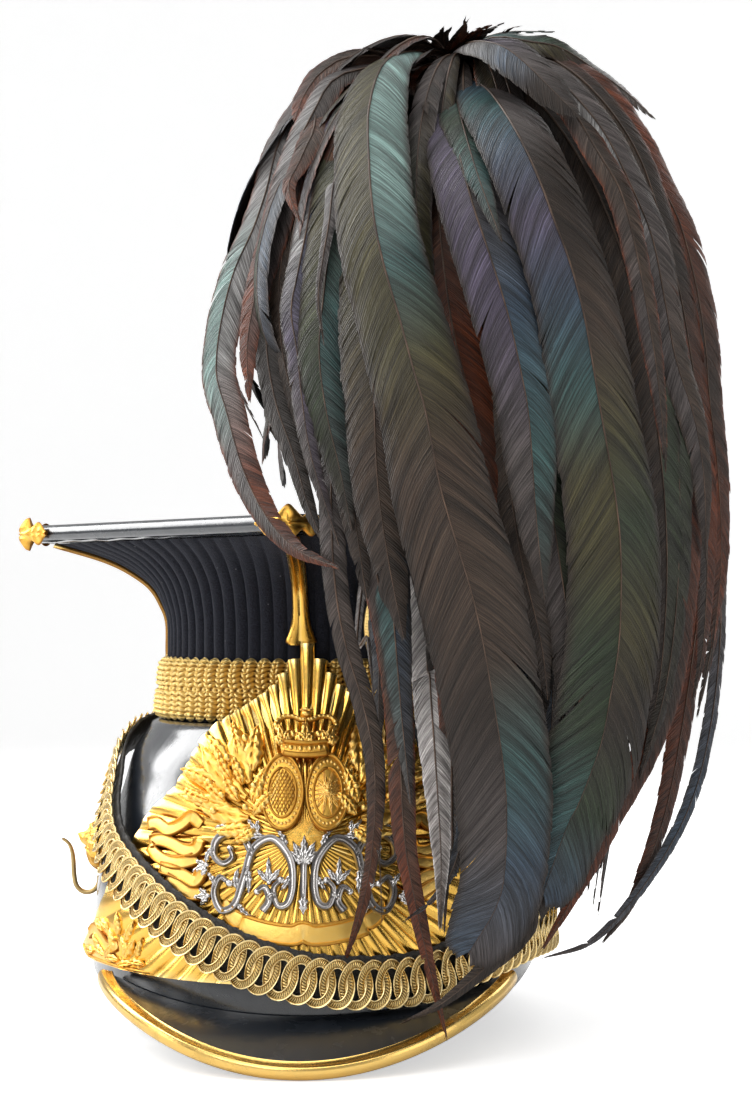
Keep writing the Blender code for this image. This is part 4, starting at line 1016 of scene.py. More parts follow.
# Few rows up the straight waist, more where the crown flares
crown_heights = np.concatenate([np.linspace(CROWN_FOOT, CROWN_BEND - 1.0, 10),
                                np.linspace(CROWN_BEND + 1.0, CROWN_HEAD, 26)])
outside = []
for height in crown_heights:
    soft = fold_wander * math.sin(height * 0.21)
    outside.append(crown_point(crown_around, height, rib_rise + soft))
inside_heights = np.append(crown_heights[:0:-3], crown_heights[0])
inside = [crown_point(crown_around, height, -CROWN_WALL) for height in inside_heights]
crown_heap = Heap()
add_rings(crown_heap, outside + inside, round_rows=True)
crown_heap.piece("crown_ribbed_cloth", [crown_cloth], ["crown_cloth"], "crown_cloth", sharp=75.0)

# %% [markdown]
# ## Board
# The square board on top is stiff and covered in patent leather. Its edge is rolled over a cord, so
# it reads as a rounded welt with a bright line along it, and its lower lip is a little wavy where the
# leather was tacked down. Rings of one outline, drawn in or out, make the whole board.

# %% Outline of the board
BOARD_BOTTOM = 163.0
BOARD_SIDE = 162.0
BOARD_CORNER_ROUND = 5.0
BOARD_RIM = 14.0
BOARD_SKIN = 3.0
SIDE_STEPS = 44
CORNER_STEPS = 10


def board_outline(inset):
    """Points round the board, drawn in from its edge by inset."""
    half = BOARD_SIDE / 2
    radius = max(BOARD_CORNER_ROUND - inset, 0.6)
    core = half - inset - radius
    points = []
    for corner in range(4):
        facing = CROWN_TWIST + 90.0 * corner
        middle = direction(facing) * core * math.sqrt(2.0)
        turns = facing + np.linspace(-45.0, 45.0, CORNER_STEPS)
        points.extend(middle + direction(turns) * radius)
        start = middle + direction(facing + 45.0) * radius
        end = direction(facing + 90.0) * core * math.sqrt(2.0) + direction(facing + 45.0) * radius
        share = np.linspace(0.0, 1.0, SIDE_STEPS + 2)[1:-1, None]
        points.extend(start + (end - start) * share)
    return np.array(points)


# %% Board
outline_count = len(board_outline(0.0))
outline_phase = np.arange(outline_count)
tack_wave = 0.22 * np.sin(outline_phase * 1.25) + 0.14 * np.sin(outline_phase * 0.53 + 1.0)
# (inset, height, share of the tacking wave)
board_profile = [(60.0, 168.2, 0.0), (40.0, 168.4, 0.0), (22.0, 168.8, 0.0), (10.0, 169.2, 0.0),
                 (6.2, 169.3, 0.0), (5.0, 169.0, 0.0), (4.2, 169.1, 0.0)]
roll_middle, roll_half = 166.6, 3.35
for turn in np.linspace(75.0, -70.0, 12):
    swing = math.radians(turn)
    board_profile.append((3.2 - 3.2 * math.cos(swing), roll_middle + roll_half * math.sin(swing), 0.0))
board_inside = BOARD_TOP - BOARD_SKIN
board_profile += [(1.6, BOARD_BOTTOM + 0.35, 1.0), (2.6, BOARD_BOTTOM, 1.0), (4.5, BOARD_BOTTOM, 0.0),
                  (BOARD_RIM - 0.5, BOARD_BOTTOM, 0.0), (BOARD_RIM, BOARD_BOTTOM + 0.6, 0.0),
                  (BOARD_RIM, board_inside - 0.4, 0.0), (60.0, board_inside - 0.2, 0.0)]
board_rings = []
for inset, height, wave in board_profile:
    ring = board_outline(inset)
    ring[:, 2] = height + wave * tack_wave
    board_rings.append(ring)
board_heap = Heap()
add_rings(board_heap, board_rings, caps=False)
board_heap.fan(board_rings[0], [0.0, 0.0, 168.1])
board_heap.fan(board_rings[-1], [0.0, 0.0, board_inside - 0.2])
board_heap.piece("board_leather", [patent_leather], ["top_board"], "patent_leather", sharp=60.0)

# %% [markdown]
# ## Corner leaves
# A cast gilt leaf is pinned over each corner of the board. It is a lumpy little casting: a fat
# knuckle on the corner itself, two lobes that lie along the edges, and veins across them. A height
# over a patch of the board's edge gives all of that.

# %% Leaf on each corner
CORNER_NAMES = ["front", "left", "back", "right"]
LEAF_SEAT = 0.8
LEAF_REACH = 14.5


def board_edge(corner, distance):
    """Point on the board's outline and its outward direction, along the edge from a corner."""
    outward = direction(CROWN_TWIST + 90.0 * corner)
    along = direction(CROWN_TWIST + 90.0 * corner + 90.0)
    radius = BOARD_CORNER_ROUND
    centre = outward * (BOARD_SIDE / math.sqrt(2.0) - radius * math.sqrt(2.0))
    quarter = radius * math.pi / 4
    if abs(distance) <= quarter:
        facing = direction(CROWN_TWIST + 90.0 * corner + math.degrees(distance / radius))
        return centre + facing * radius, facing
    side = math.copysign(1.0, distance)
    facing = unit(outward + along * side)
    run = unit(along * side - outward)
    return centre + facing * radius + run * (abs(distance) - quarter), facing


def leaf_half_height(distance):
    """Outline of the leaf: a knuckle in the middle, a lobe on each side, a pointed end."""
    reach = abs(distance) / LEAF_REACH
    knuckle = 6.6 * math.exp(-(distance / 3.1) ** 2)
    lobes = 4.7 * math.exp(-((abs(distance) - 8.6) / 3.9) ** 2)
    return max(knuckle + lobes * 0.98, 1.2) * (1.0 if reach < 0.93 else 0.75)


def leaf_standing(distance, rise):
    """How far the leaf stands out, rise from -1 to 1 across it."""
    body = math.sqrt(max(1.0 - rise * rise, 0.0))
    veins = 0.30 * math.sin(abs(distance) * 1.9 - abs(rise) * 3.0)
    midrib = -0.45 * math.exp(-(rise / 0.13) ** 2) * min(abs(distance) / 4.0, 1.0)
    knuckle = 1.5 * math.exp(-(distance / 3.4) ** 2)
    petals = 0.45 * math.cos(math.atan2(rise, distance / 7.0) * 5.0) * math.exp(-(distance / 5.0) ** 2)
    fall = 1.0 - 0.55 * (abs(distance) / LEAF_REACH) ** 2
    return 0.35 + body * (2.1 * fall + knuckle + veins + midrib + petals)


leaf_distances = np.linspace(-LEAF_REACH, LEAF_REACH, 61)
leaf_rises = np.linspace(-1.0, 1.0, 27)
leaf_middle = BOARD_BOTTOM + 3.5
for corner, corner_name in enumerate(CORNER_NAMES):
    rings = []
    for distance in leaf_distances:
        point, facing = board_edge(corner, distance)
        half = leaf_half_height(distance)
        ring = [point + facing * (LEAF_SEAT + leaf_standing(distance, rise))
                + upward * (leaf_middle + half * rise) for rise in leaf_rises]
        ring.extend(point + facing * LEAF_SEAT + upward * (leaf_middle + half * rise)
                    for rise in (1.0, 0.0, -1.0))
        rings.append(ring)
    leaf_heap = Heap()
    add_rings(leaf_heap, rings)
    leaf_heap.piece("corner_leaf_gilt_" + corner_name, [cast_gilt],
                    ["corner_leaf_" + corner_name], "gilt", sharp=60.0)

# %% [markdown]
# ## Strips down the corners
# The front corner of the crown has a half-round gilt strip with a shallow groove, narrow above and
# flared like a bell at its foot over the plate. The other corners have two thin gold cords side by
# side, pressed a little into the cloth. Both follow the crown's corner line.

# %% Corner lines
STRIP_FOOT = {"front": 123.4, "left": 117.6, "back": 117.6, "right": 117.6}
STRIP_SEAT = 0.9
STRIP_TOP = 162.7
CORD_RADIUS = 1.1
CORD_SEAT = -0.35
CORD_WIRE = 0.9
CORD_SIDES = 8


def corner_line(corner, stations):
    """Points up a corner of the crown with the way out and the way across at each."""
    foot = STRIP_FOOT[CORNER_NAMES[corner]]
    heights = np.linspace(foot, STRIP_TOP, stations)
    points = crown_point(float(corner), heights)
    step = crown_point(float(corner), heights + 0.5) - crown_point(float(corner), heights - 0.5)
    level = direction(CROWN_TWIST + 90.0 * corner)
    outward = unit(level * step[:, 2:3] - upward * (step @ level)[:, None])
    across = direction(CROWN_TWIST + 90.0 * corner + 90.0)
    return points, outward, np.broadcast_to(across, points.shape), heights


# %% Half-round strip at the front
FRONT_STRIP_HALF_WIDTH = 2.7
FRONT_STRIP_RISE = 3.3
BELL_FLARE = 3.6
BELL_SHARE = 0.16
BELL_LIP = 0.3
TOP_FLARE = 0.4
points, outward, across, heights = corner_line(0, 72)
share = (heights - heights[0]) / (heights[-1] - heights[0])
half_width = (FRONT_STRIP_HALF_WIDTH + BELL_FLARE * np.exp(-(share / BELL_SHARE) ** 1.3)
              + TOP_FLARE * share)
half_width = half_width * (1.0 - BELL_LIP * np.exp(-(share / 0.02) ** 2))
strip_turns = np.linspace(0.0, math.pi, 15)
groove = 0.25 + 0.2 * np.exp(-(share / 0.10) ** 2)
rings = []
for k in range(len(points)):
    notch = 1.0 - groove[k] * np.exp(-((strip_turns - math.pi / 2) / 0.28) ** 2)
    arc = [points[k] + across[k] * half_width[k] * math.cos(turn)
           + outward[k] * (STRIP_SEAT + FRONT_STRIP_RISE * math.sin(turn) ** 0.8 * cut)
           for turn, cut in zip(strip_turns, notch)]
    rings.append(arc + [points[k] + outward[k] * STRIP_SEAT])
strip_heap = Heap()
add_rings(strip_heap, rings)
strip_heap.piece("corner_strip_gilt_front", [gilt], ["corner_strip_front"], "gilt", sharp=50.0)


# %% Cord from wound wire
def add_cord(heap, points, outward, across, radius):
    """Round cord along points; its place runs in turns of wire along and once round."""
    swing = np.linspace(0.0, math.tau, CORD_SIDES + 1)
    rings = round_rings(points, across, outward, radius, swing)
    uv = paired((distance_along(points) * CORD_WIRE)[:, None], (swing / math.tau)[None, :])
    add_rings(heap, rings, uv=uv, seam=True)


for corner in (1, 2, 3):
    points, outward, across, heights = corner_line(corner, 60)
    cord_heap = Heap()
    for side in (-1.0, 1.0):
        centre = points + outward * (CORD_SEAT + CORD_RADIUS) + across * side * CORD_RADIUS
        add_cord(cord_heap, centre, outward, across, CORD_RADIUS)
    cord_heap.piece("corner_cords_" + CORNER_NAMES[corner], [gold_cord],
                    ["corner_strip_" + CORNER_NAMES[corner]], "gilt")

# %% [markdown]
# ## Waist band
# The band round the waist is gimp: thick gold bullion laid in upright columns, each column made of
# lobes over and under a groove, with a scalloped edge above and below. A height over a long strip
# gives the columns, and rows of little beads of wire, in a herringbone, give the grain.

# %% Waist band
BAND_FOOT = 94.6
BAND_TOP = 24.0
BAND_LOBES = 68
BAND_SEAT = 0.9
BAND_SCALLOP = 2.3
LOBE_POINTS = 13
BAND_ROWS = 84
BAND_GRAINS = 12.0
BAND_GRAIN_SLANT = 1.5
BAND_GRAIN_DEPTH = 1.5
BAND_LOBE_RISE = 2.35
BAND_GROOVE = 0.9
BAND_GROOVE_SHARE = 0.03
BAND_END_SHARE = 0.09
SCALLOP_SHARE = 0.2
COLUMN_TILT = 0.16
BAND_WIRE_TURNS = 44.0
band_columns = BAND_LOBES * LOBE_POINTS
band_around = 4.0 / band_columns * np.arange(band_columns)
lobe_number = np.arange(band_columns) // LOBE_POINTS
lobe_share = (np.arange(band_columns) % LOBE_POINTS + 0.5) / LOBE_POINTS
lobe_arch = np.sin(math.pi * lobe_share)
big = 1.0 + 0.10 * np.sin(lobe_number * 2.4) + 0.07 * np.sin(lobe_number * 5.3)
rings = []
for rise in np.linspace(0.0, 1.0, BAND_ROWS):
    edge_share = min(rise, 1.0 - rise)
    end_round = math.sin(min(edge_share / BAND_END_SHARE, 1.0) * math.pi / 2)
    scallop = BAND_SCALLOP * (1.0 - lobe_arch ** 0.6)
    inward = 1.0 if rise < 0.5 else -1.0
    height = (BAND_FOOT + BAND_TOP * rise
              + inward * scallop * max(1.0 - edge_share / SCALLOP_SHARE, 0.0))
    tilt = COLUMN_TILT * math.sin(math.tau * rise)
    waist_groove = BAND_GROOVE * math.exp(-((rise - 0.5) / BAND_GROOVE_SHARE) ** 2)
    swell = 0.88 + 0.24 * math.sin(math.pi * ((rise * 2.0) % 1.0)) ** 0.7
    strand = np.abs(np.sin(math.tau * lobe_share))
    slant = inward * np.abs(lobe_share - 0.5) * BAND_GRAIN_SLANT
    grain_wave = np.abs(np.sin(math.pi * (rise * BAND_GRAINS + slant)))
    beads = BAND_GRAIN_DEPTH * (grain_wave ** 0.8 * strand ** 0.5 - 0.6)
    slender = 0.35 + 0.9 * (1.0 - min(edge_share / 0.5, 1.0)) ** 1.5
    lobe = BAND_LOBE_RISE * swell * big * lobe_arch ** slender
    standing = BAND_SEAT + end_round * (0.4 + lobe + beads - waist_groove)
    standing = np.maximum(standing, BAND_SEAT + 0.1)
    rings.append(crown_point(band_around + tilt * 4.0 / BAND_LOBES, height, standing))
for height in (BAND_FOOT + BAND_TOP - 2.0, BAND_FOOT + 2.0):
    rings.append(crown_point(band_around, height, 0.7))
uv = paired(np.linspace(0.0, BAND_WIRE_TURNS, len(rings))[:, None], lobe_share[None, :])
band_heap = Heap()
add_rings(band_heap, rings, round_rows=True, uv=uv)
band_heap.piece("waist_band_gimp", [gold_gimp], ["waist_band"], "gold_gimp", sharp=80.0)

# %% [markdown]
# ## Rayed plate
# The plate is struck from sheet brass: rays spread from its middle, each a convex flute, and at the
# top every flute ends square, so the outline climbs in steps to the point under the corner strip. A
# flat outline with a bump texture would look like paper. Here the rays are a real height on a polar
# grid, and the plate bends with the skull.

# %% Plate outline and its place on the skull
PLATE_RAYS = 66
RAY_POINTS = 13
PLATE_CENTRE_HEIGHT = 55.0
PLATE_MM_PER_DEGREE = 1.4
PLATE_SEAT = 2.5
PLATE_THICKNESS = 0.9
PLATE_TIP_START = 42.0
PLATE_TIP_ARC = 30.0
PLATE_TIP_STANDING = 1.9
STEPPED_BEARING = 78.0
STEPPED_BLEND = 12.0
RAY_MARGIN = 0.03
PLATE_ROWS = 34
WING_START = 44.0
WING_TOP = 34.0
# Half of the outline as (angle, height), from the point on top to the middle of the foot
PLATE_OUTLINE = [
    (0.0, 124.0),
    (12.4, 107.2),
    (23.5, 98.5),
    (33.0, 91.0),
    (35.0, 81.5),
    (39.0, 70.6),
    (47.0, 61.5),
    (52.0, 48.0),
    (58.0, 34.0),
    (63.0, 21.6),
    (72.0, 9.5),
    (67.0, 6.2),
    (40.0, 6.0),
    (0.0, 6.0),
]
half_outline = [(angle * PLATE_MM_PER_DEGREE, height - PLATE_CENTRE_HEIGHT)
                for angle, height in PLATE_OUTLINE]
whole_outline = np.array(half_outline + [(-x, y) for x, y in half_outline[-2:0:-1]])


def plate_reach(bearings):
    """Distance from the middle of the rays to the outline, for bearings with 0 upwards."""
    near = whole_outline
    far = np.roll(whole_outline, -1, axis=0)
    edge = far - near
    out = []
    for bearing in np.atleast_1d(bearings):
        dx, dy = math.sin(bearing), math.cos(bearing)
        turn = dx * edge[:, 1] - dy * edge[:, 0]
        turn = np.where(np.abs(turn) < 1e-9, 1e-9, turn)
        reach = (near[:, 0] * edge[:, 1] - near[:, 1] * edge[:, 0]) / turn
        along = (near[:, 0] * dy - near[:, 1] * dx) / turn
        hit = (reach > 0.0) & (along >= -1e-6) & (along <= 1.0 + 1e-6)
        out.append(reach[hit].max())
    return np.array(out)


def plate_standing(angle):
    """How far the plate's back stands off the skull: more and more towards its tips."""
    beyond = np.maximum(np.abs(angle) - PLATE_TIP_START, 0.0) / PLATE_TIP_ARC
    return PLATE_SEAT + PLATE_TIP_STANDING * beyond * beyond


# %% Plate
ray_share = np.linspace(RAY_MARGIN, 1.0 - RAY_MARGIN, RAY_POINTS)
ray_number = np.repeat(np.arange(PLATE_RAYS), RAY_POINTS)
ray_place = np.tile(ray_share, PLATE_RAYS)
bearings = (ray_number - 0.5 + ray_place) * math.tau / PLATE_RAYS
ray_middles = np.arange(PLATE_RAYS) * math.tau / PLATE_RAYS
smooth_reach = plate_reach(bearings)
square_reach = plate_reach(ray_middles)[ray_number]
from_top = np.degrees(np.abs((bearings + math.pi) % math.tau - math.pi))
stepped = eased((STEPPED_BEARING - from_top) / STEPPED_BLEND)
plate_reaches = smooth_reach + (square_reach - smooth_reach) * stepped
ray_arch = np.sin(math.pi * ray_place) ** 0.75


def plate_row(share):
    """Reach, angle and height of every column at a share of the way out."""
    reach = plate_reaches * share
    return (reach, reach * np.sin(bearings) / PLATE_MM_PER_DEGREE,
            PLATE_CENTRE_HEIGHT + reach * np.cos(bearings))


plate_rows = []
for share in np.linspace(0.03, 1.0, PLATE_ROWS):
    reach, angle, height = plate_row(share)
    wing = eased((np.abs(angle) - WING_START) / 8.0) * eased((WING_TOP - height) / 8.0)
    depth = np.clip(0.020 * reach, 0.0, 1.0) * min((1.0 - share) / 0.02 + 0.55, 1.0)
    flute = depth * (ray_arch * 1.15 - 0.75) * (1.0 - 0.7 * wing)
    plate_rows.append(standing_point(angle, height,
                                     plate_standing(angle) + PLATE_THICKNESS + flute))
# The back of the plate is smooth, so a few rows are enough
for share in (1.0, 0.7, 0.35, 0.03):
    _, angle, height = plate_row(share)
    plate_rows.append(standing_point(angle, height, plate_standing(angle) - 0.15))
plate_heap = Heap()
add_rings(plate_heap, plate_rows)
plate_heap.piece("plate_rays", [gilt], ["plate"], "gilt", sharp=50.0)

# %% [markdown]
# ## Ornaments of the plate
# The cast ornaments are made from three small forms, laid on the plate's curve: a leaf with a rib
# and a lobed edge, a bead, and a bar along a drawn line, whose section is round, double or a flat
# ribbon. Each takes flat millimetres, sideways and up, and how far it stands off the skull.

# %% Flat drawing laid on the skull
def laid_on_plate(sideways, height, standing):
    """Point of a flat drawing: sideways in mm from the middle line, height above the rim."""
    sideways, height, standing = np.broadcast_arrays(
        np.asarray(sideways, dtype=float), np.asarray(height, dtype=float), standing)
    wide = smooth_value(height, SHELL_HEIGHTS, SHELL_WIDTHS)
    return standing_point(np.degrees(sideways / wide), height, standing)


# Sections of a bar: (place across, share of the rise)
BAR_SECTIONS = {
    "round": [(-1.0, 0.0), (-0.93, 0.42), (-0.72, 0.75), (-0.4, 0.94), (0.0, 1.0),
              (0.4, 0.94), (0.72, 0.75), (0.93, 0.42), (1.0, 0.0)],
    "double": [(-1.0, 0.0), (-0.98, 0.66), (-0.76, 1.0), (-0.46, 0.94), (-0.22, 0.4),
               (0.0, 0.22), (0.22, 0.4), (0.46, 0.94), (0.76, 1.0), (0.98, 0.66), (1.0, 0.0)],
    "ribbon": [(-1.0, 0.0), (-1.0, 0.85), (-0.92, 1.0), (-0.76, 1.0), (-0.66, 0.45),
               (0.0, 0.58), (0.66, 0.45), (0.76, 1.0), (0.92, 1.0), (1.0, 0.85), (1.0, 0.0)],
}


def add_bar(heap, route, half_width, rise, seat, section="round", stations=None, ends=0.6):
    """Bar along (sideways, height) points; its half width and rise may change along it."""
    route = np.asarray(route, dtype=float)
    count = stations or max(int(len(route) * 7), 12)
    line = smooth_route(route, count)
    run = np.linspace(0.0, 1.0, count)
    along = unit(np.gradient(line, axis=0))
    across = np.stack([-along[:, 1], along[:, 0]], axis=1)
    end_round = np.minimum(np.minimum(run, 1.0 - run) * count / 2.0, 1.0)
    half = spread_over(half_width, run) * (ends + (1.0 - ends) * end_round)
    columns = np.array(BAR_SECTIONS[section])
    sideways = line[:, 0:1] + across[:, 0:1] * half[:, None] * columns[None, :, 0]
    height = line[:, 1:2] + across[:, 1:2] * half[:, None] * columns[None, :, 0]
    lift = spread_over(seat, run)
    tall = spread_over(rise, run) * (0.35 + 0.65 * end_round)
    standing = lift[:, None] + tall[:, None] * columns[None, :, 1]
    add_rings(heap, laid_on_plate(sideways, height, standing))


def add_leaf(heap, root, heading, length, half_width, seat, rise, lobes, bend=0.0, stations=19):
    """Leaf from its root, heading clockwise from upright, with a rib and a lobed edge."""
    run = np.linspace(0.0, 1.0, stations)
    swing = np.radians(heading + bend * run)
    step = length / (stations - 1)
    line_x = root[0] + np.concatenate([[0.0], np.cumsum(np.sin(swing[:-1]) * step)])
    line_y = root[1] + np.concatenate([[0.0], np.cumsum(np.cos(swing[:-1]) * step)])
    outline = np.sin(math.pi * np.clip(run, 0.02, 0.985) ** 0.75) ** 0.8
    lobed = 1.0 - 0.28 * np.abs(np.sin(math.pi * lobes * run)) if lobes else np.ones(stations)
    half = half_width * outline * lobed
    columns = np.linspace(-1.0, 1.0, 11)
    dome = (1.0 - columns ** 2) ** 0.5
    rib = 0.30 * np.exp(-(columns / 0.16) ** 2)
    veins = 0.12 * np.cos(math.pi * lobes * 2.0 * (run[:, None] + 0.35 * np.abs(columns)[None, :]))
    body = np.sin(math.pi * np.clip(run * 0.9 + 0.08, 0.0, 1.0)) ** 0.6
    standing = seat + rise * body[:, None] * (0.15 + 0.75 * dome[None, :] - rib[None, :]
                                              + veins * dome[None, :])
    x = line_x[:, None] + np.cos(swing)[:, None] * half[:, None] * columns[None, :]
    y = line_y[:, None] - np.sin(swing)[:, None] * half[:, None] * columns[None, :]
    top = laid_on_plate(x, y, standing)
    back = laid_on_plate(x[:, ::-5], y[:, ::-5], np.full_like(x[:, ::-5], seat))
    add_rings(heap, np.concatenate([top, back], axis=1))


def add_bead(heap, x, y, radius, seat, tall=1.0, sides=12):
    """Half-round bead."""
    turns = np.linspace(0.0, math.tau, sides, endpoint=False)
    rings = []
    for climb in np.linspace(0.0, math.pi / 2 * 0.93, 6):
        spread = radius * math.cos(climb)
        rings.append(laid_on_plate(x + spread * np.cos(turns), y + spread * np.sin(turns),
                                   seat + radius * tall * math.sin(climb)))
    add_rings(heap, rings)


# %% [markdown]
# ### Coronet
# Over the two ovals stands a coronet: a band set with beads, three leaves, two beaded hoops and a
# ball on top. It is a plain ornament, made from the forms above.

# %% Coronet
CORONET_SEAT = 6.9
CORONET_HEIGHT = 88.0
coronet_heap = Heap()
for level, half, tall in ((-6.9, 0.75, 1.7), (-3.5, 0.6, 1.7)):
    bow = [(x, CORONET_HEIGHT + level + 0.012 * x * x) for x in np.linspace(-7.6, 7.6, 7)]
    add_bar(coronet_heap, bow, half, tall, CORONET_SEAT)
bow = [(x, CORONET_HEIGHT - 5.2 + 0.012 * x * x) for x in np.linspace(-7.4, 7.4, 7)]
add_bar(coronet_heap, bow, 1.6, 1.0, CORONET_SEAT)
for k, x in enumerate(np.linspace(-6.2, 6.2, 9)):
    add_bead(coronet_heap, x, CORONET_HEIGHT - 5.2 + 0.012 * x * x, 0.75 if k % 2 else 0.5,
             CORONET_SEAT + 0.9)
for x, lean, length, width in ((-8.4, -24.0, 7.0, 1.7), (0.0, 0.0, 7.2, 2.1), (8.4, 24.0, 7.0, 1.7)):
    root = (x * 0.82, CORONET_HEIGHT - 3.2)
    for turn, share in ((-48.0, 0.6), (48.0, 0.6), (0.0, 1.0)):
        add_leaf(coronet_heap, root, lean + turn, length * share, width, CORONET_SEAT + 0.3, 1.8, 3)
for side in (-1.0, 1.0):
    add_bead(coronet_heap, side * 4.2, CORONET_HEIGHT - 0.6, 1.15, CORONET_SEAT + 0.3, 1.1)
    hoop = [(8.6, -0.6), (9.9, 2.6), (8.0, 5.6), (4.8, 6.2), (2.0, 4.9), (0.0, 4.6)]
    hoop_line = [(x * side, CORONET_HEIGHT + y) for x, y in hoop]
    add_bar(coronet_heap, hoop_line, 1.0, 1.3, CORONET_SEAT + 0.1, stations=44)
    for x, y in smooth_route(hoop_line, 12)[:-1]:
        add_bead(coronet_heap, x, y, 0.8, CORONET_SEAT + 0.8, 1.0, 10)
add_bar(coronet_heap, [(0.0, CORONET_HEIGHT + 1.0), (0.0, CORONET_HEIGHT + 5.8)], 0.5, 1.3,
        CORONET_SEAT + 0.2)
add_bead(coronet_heap, 0.0, CORONET_HEIGHT + 7.2, 1.6, CORONET_SEAT + 0.5, 1.1, 16)
for heading in (-60.0, 0.0, 60.0):
    add_leaf(coronet_heap, (0.0, CORONET_HEIGHT + 8.3), heading, 2.6, 0.8, CORONET_SEAT + 0.5, 1.3, 0,
             stations=9)
coronet_heap.piece("coronet_leaves", [cast_gilt], ["coronet"], "gilt", sharp=60.0)

# %% [markdown]
# ### Two ovals
# Under the coronet two ovals stand side by side, each a frame with a beaded border round a domed field.
# One field is a lattice with a bead in each mesh, the other is a flower of leaves.

# %% Ovals
RELIEF_SEAT = 4.5
OVAL_HEIGHT = 69.5
OVAL_SIDEWAYS = 7.5
OVAL_HALF_WIDTH = 7.2
OVAL_HALF_HEIGHT = 13.0
FIELD_SHARE = 0.62
LATTICE_PITCH = 2.4


def oval_line(middle, share, count=25):
    """Points round an oval at a share of its size."""
    turns = np.linspace(0.0, math.tau, count)
    return np.stack([middle + OVAL_HALF_WIDTH * share * np.sin(turns),
                     OVAL_HEIGHT + OVAL_HALF_HEIGHT * share * np.cos(turns)], axis=1)


def add_oval(heap, middle):
    """Frame, border of beads and domed field of one oval."""
    turns = np.linspace(0.0, math.tau, 49)[:-1]
    rings = []
    for share, stand in ((1.0, 0.0), (1.0, 0.9), (0.9, 0.95), (FIELD_SHARE, 1.0), (0.4, 1.5),
                         (0.05, 1.75)):
        rings.append(laid_on_plate(middle + OVAL_HALF_WIDTH * share * np.sin(turns),
                                   OVAL_HEIGHT + OVAL_HALF_HEIGHT * share * np.cos(turns),
                                   RELIEF_SEAT + stand))
    add_rings(heap, rings)
    add_bar(heap, oval_line(middle, 0.95), 0.55, 1.15, RELIEF_SEAT + 0.8, stations=80)
    add_bar(heap, oval_line(middle, FIELD_SHARE + 0.03), 0.45, 1.0, RELIEF_SEAT + 0.9, stations=64)
    for x, y in oval_line(middle, 0.81, 31)[:-1]:
        add_bead(heap, x, y, 0.62, RELIEF_SEAT + 0.95, 0.9, 8)


def oval_share(x, y, middle):
    """How far out a place lies in an oval: 0 in its middle, 1 on its outline."""
    return math.hypot((x - middle) / OVAL_HALF_WIDTH, (y - OVAL_HEIGHT) / OVAL_HALF_HEIGHT)


def field_stand(x, y, middle):
    """How far the domed field stands off the skull at a place."""
    share = oval_share(x, y, middle)
    return RELIEF_SEAT + float(np.interp(share, (0.05, 0.4, FIELD_SHARE), (1.72, 1.45, 0.95)))


lattice_heap = Heap()
add_oval(lattice_heap, -OVAL_SIDEWAYS)
for slope in (-1.0, 1.0):
    for offset in np.arange(-12.0, 12.1, LATTICE_PITCH):
        points = []
        for reach in np.linspace(-9.0, 9.0, 37):
            point = (reach * 0.5 - OVAL_SIDEWAYS, slope * reach + offset + OVAL_HEIGHT)
            if oval_share(*point, -OVAL_SIDEWAYS) < 0.97 * FIELD_SHARE:
                points.append(point)
        if len(points) > 3:
            middle_point = points[len(points) // 2]
            add_bar(lattice_heap, [points[0], middle_point, points[-1]], 0.24, 0.5,
                    field_stand(*middle_point, -OVAL_SIDEWAYS), stations=9)
for row in range(-5, 6):
    for column in range(-2, 3):
        x = -OVAL_SIDEWAYS + LATTICE_PITCH / 2 * (column * 2 + row % 2)
        y = OVAL_HEIGHT + LATTICE_PITCH / 2 * row
        if oval_share(x, y, -OVAL_SIDEWAYS) < 0.85 * FIELD_SHARE:
            add_bead(lattice_heap, x, y, 0.4, field_stand(x, y, -OVAL_SIDEWAYS), 1.3, 6)
lattice_heap.piece("oval_lattice", [cast_gilt], ["oval_right"], "gilt", sharp=60.0)

flower_heap = Heap()
add_oval(flower_heap, OVAL_SIDEWAYS)
# (number, length, half width, seat, rise) of each ring of leaves, from the outer one inwards
FLOWER_RINGS = [(16, 8.2, 0.95, 0.85, 1.3), (12, 6.2, 1.0, 1.25, 1.4), (9, 4.3, 1.0, 1.6, 1.5),
                (6, 2.8, 0.9, 1.9, 1.5)]
for count, length, width, seat, rise in FLOWER_RINGS:
    for k in range(count):
        bearing = 360.0 * (k + 0.5 * (count % 4 == 0)) / count
        reach = length * (1.0 - 0.46 * math.sin(math.radians(bearing)) ** 2)
        add_leaf(flower_heap, (OVAL_SIDEWAYS, OVAL_HEIGHT), bearing, reach, width,
                 RELIEF_SEAT + seat, rise, 2, stations=13)
add_bead(flower_heap, OVAL_SIDEWAYS, OVAL_HEIGHT, 1.0, RELIEF_SEAT + 2.6, 1.0)
flower_heap.piece("oval_flower", [cast_gilt], ["oval_left"], "gilt", sharp=60.0)

# %% [markdown]
# ### Leaf sprays
# Beside the ovals stand sprays of broad leaves, one leaf over the other, with a few berries. They
# fan out from the side of each oval, so that the middle of the plate is thick with relief.

# %% Sprays on both sides
SPRAY_SEAT = 4.7
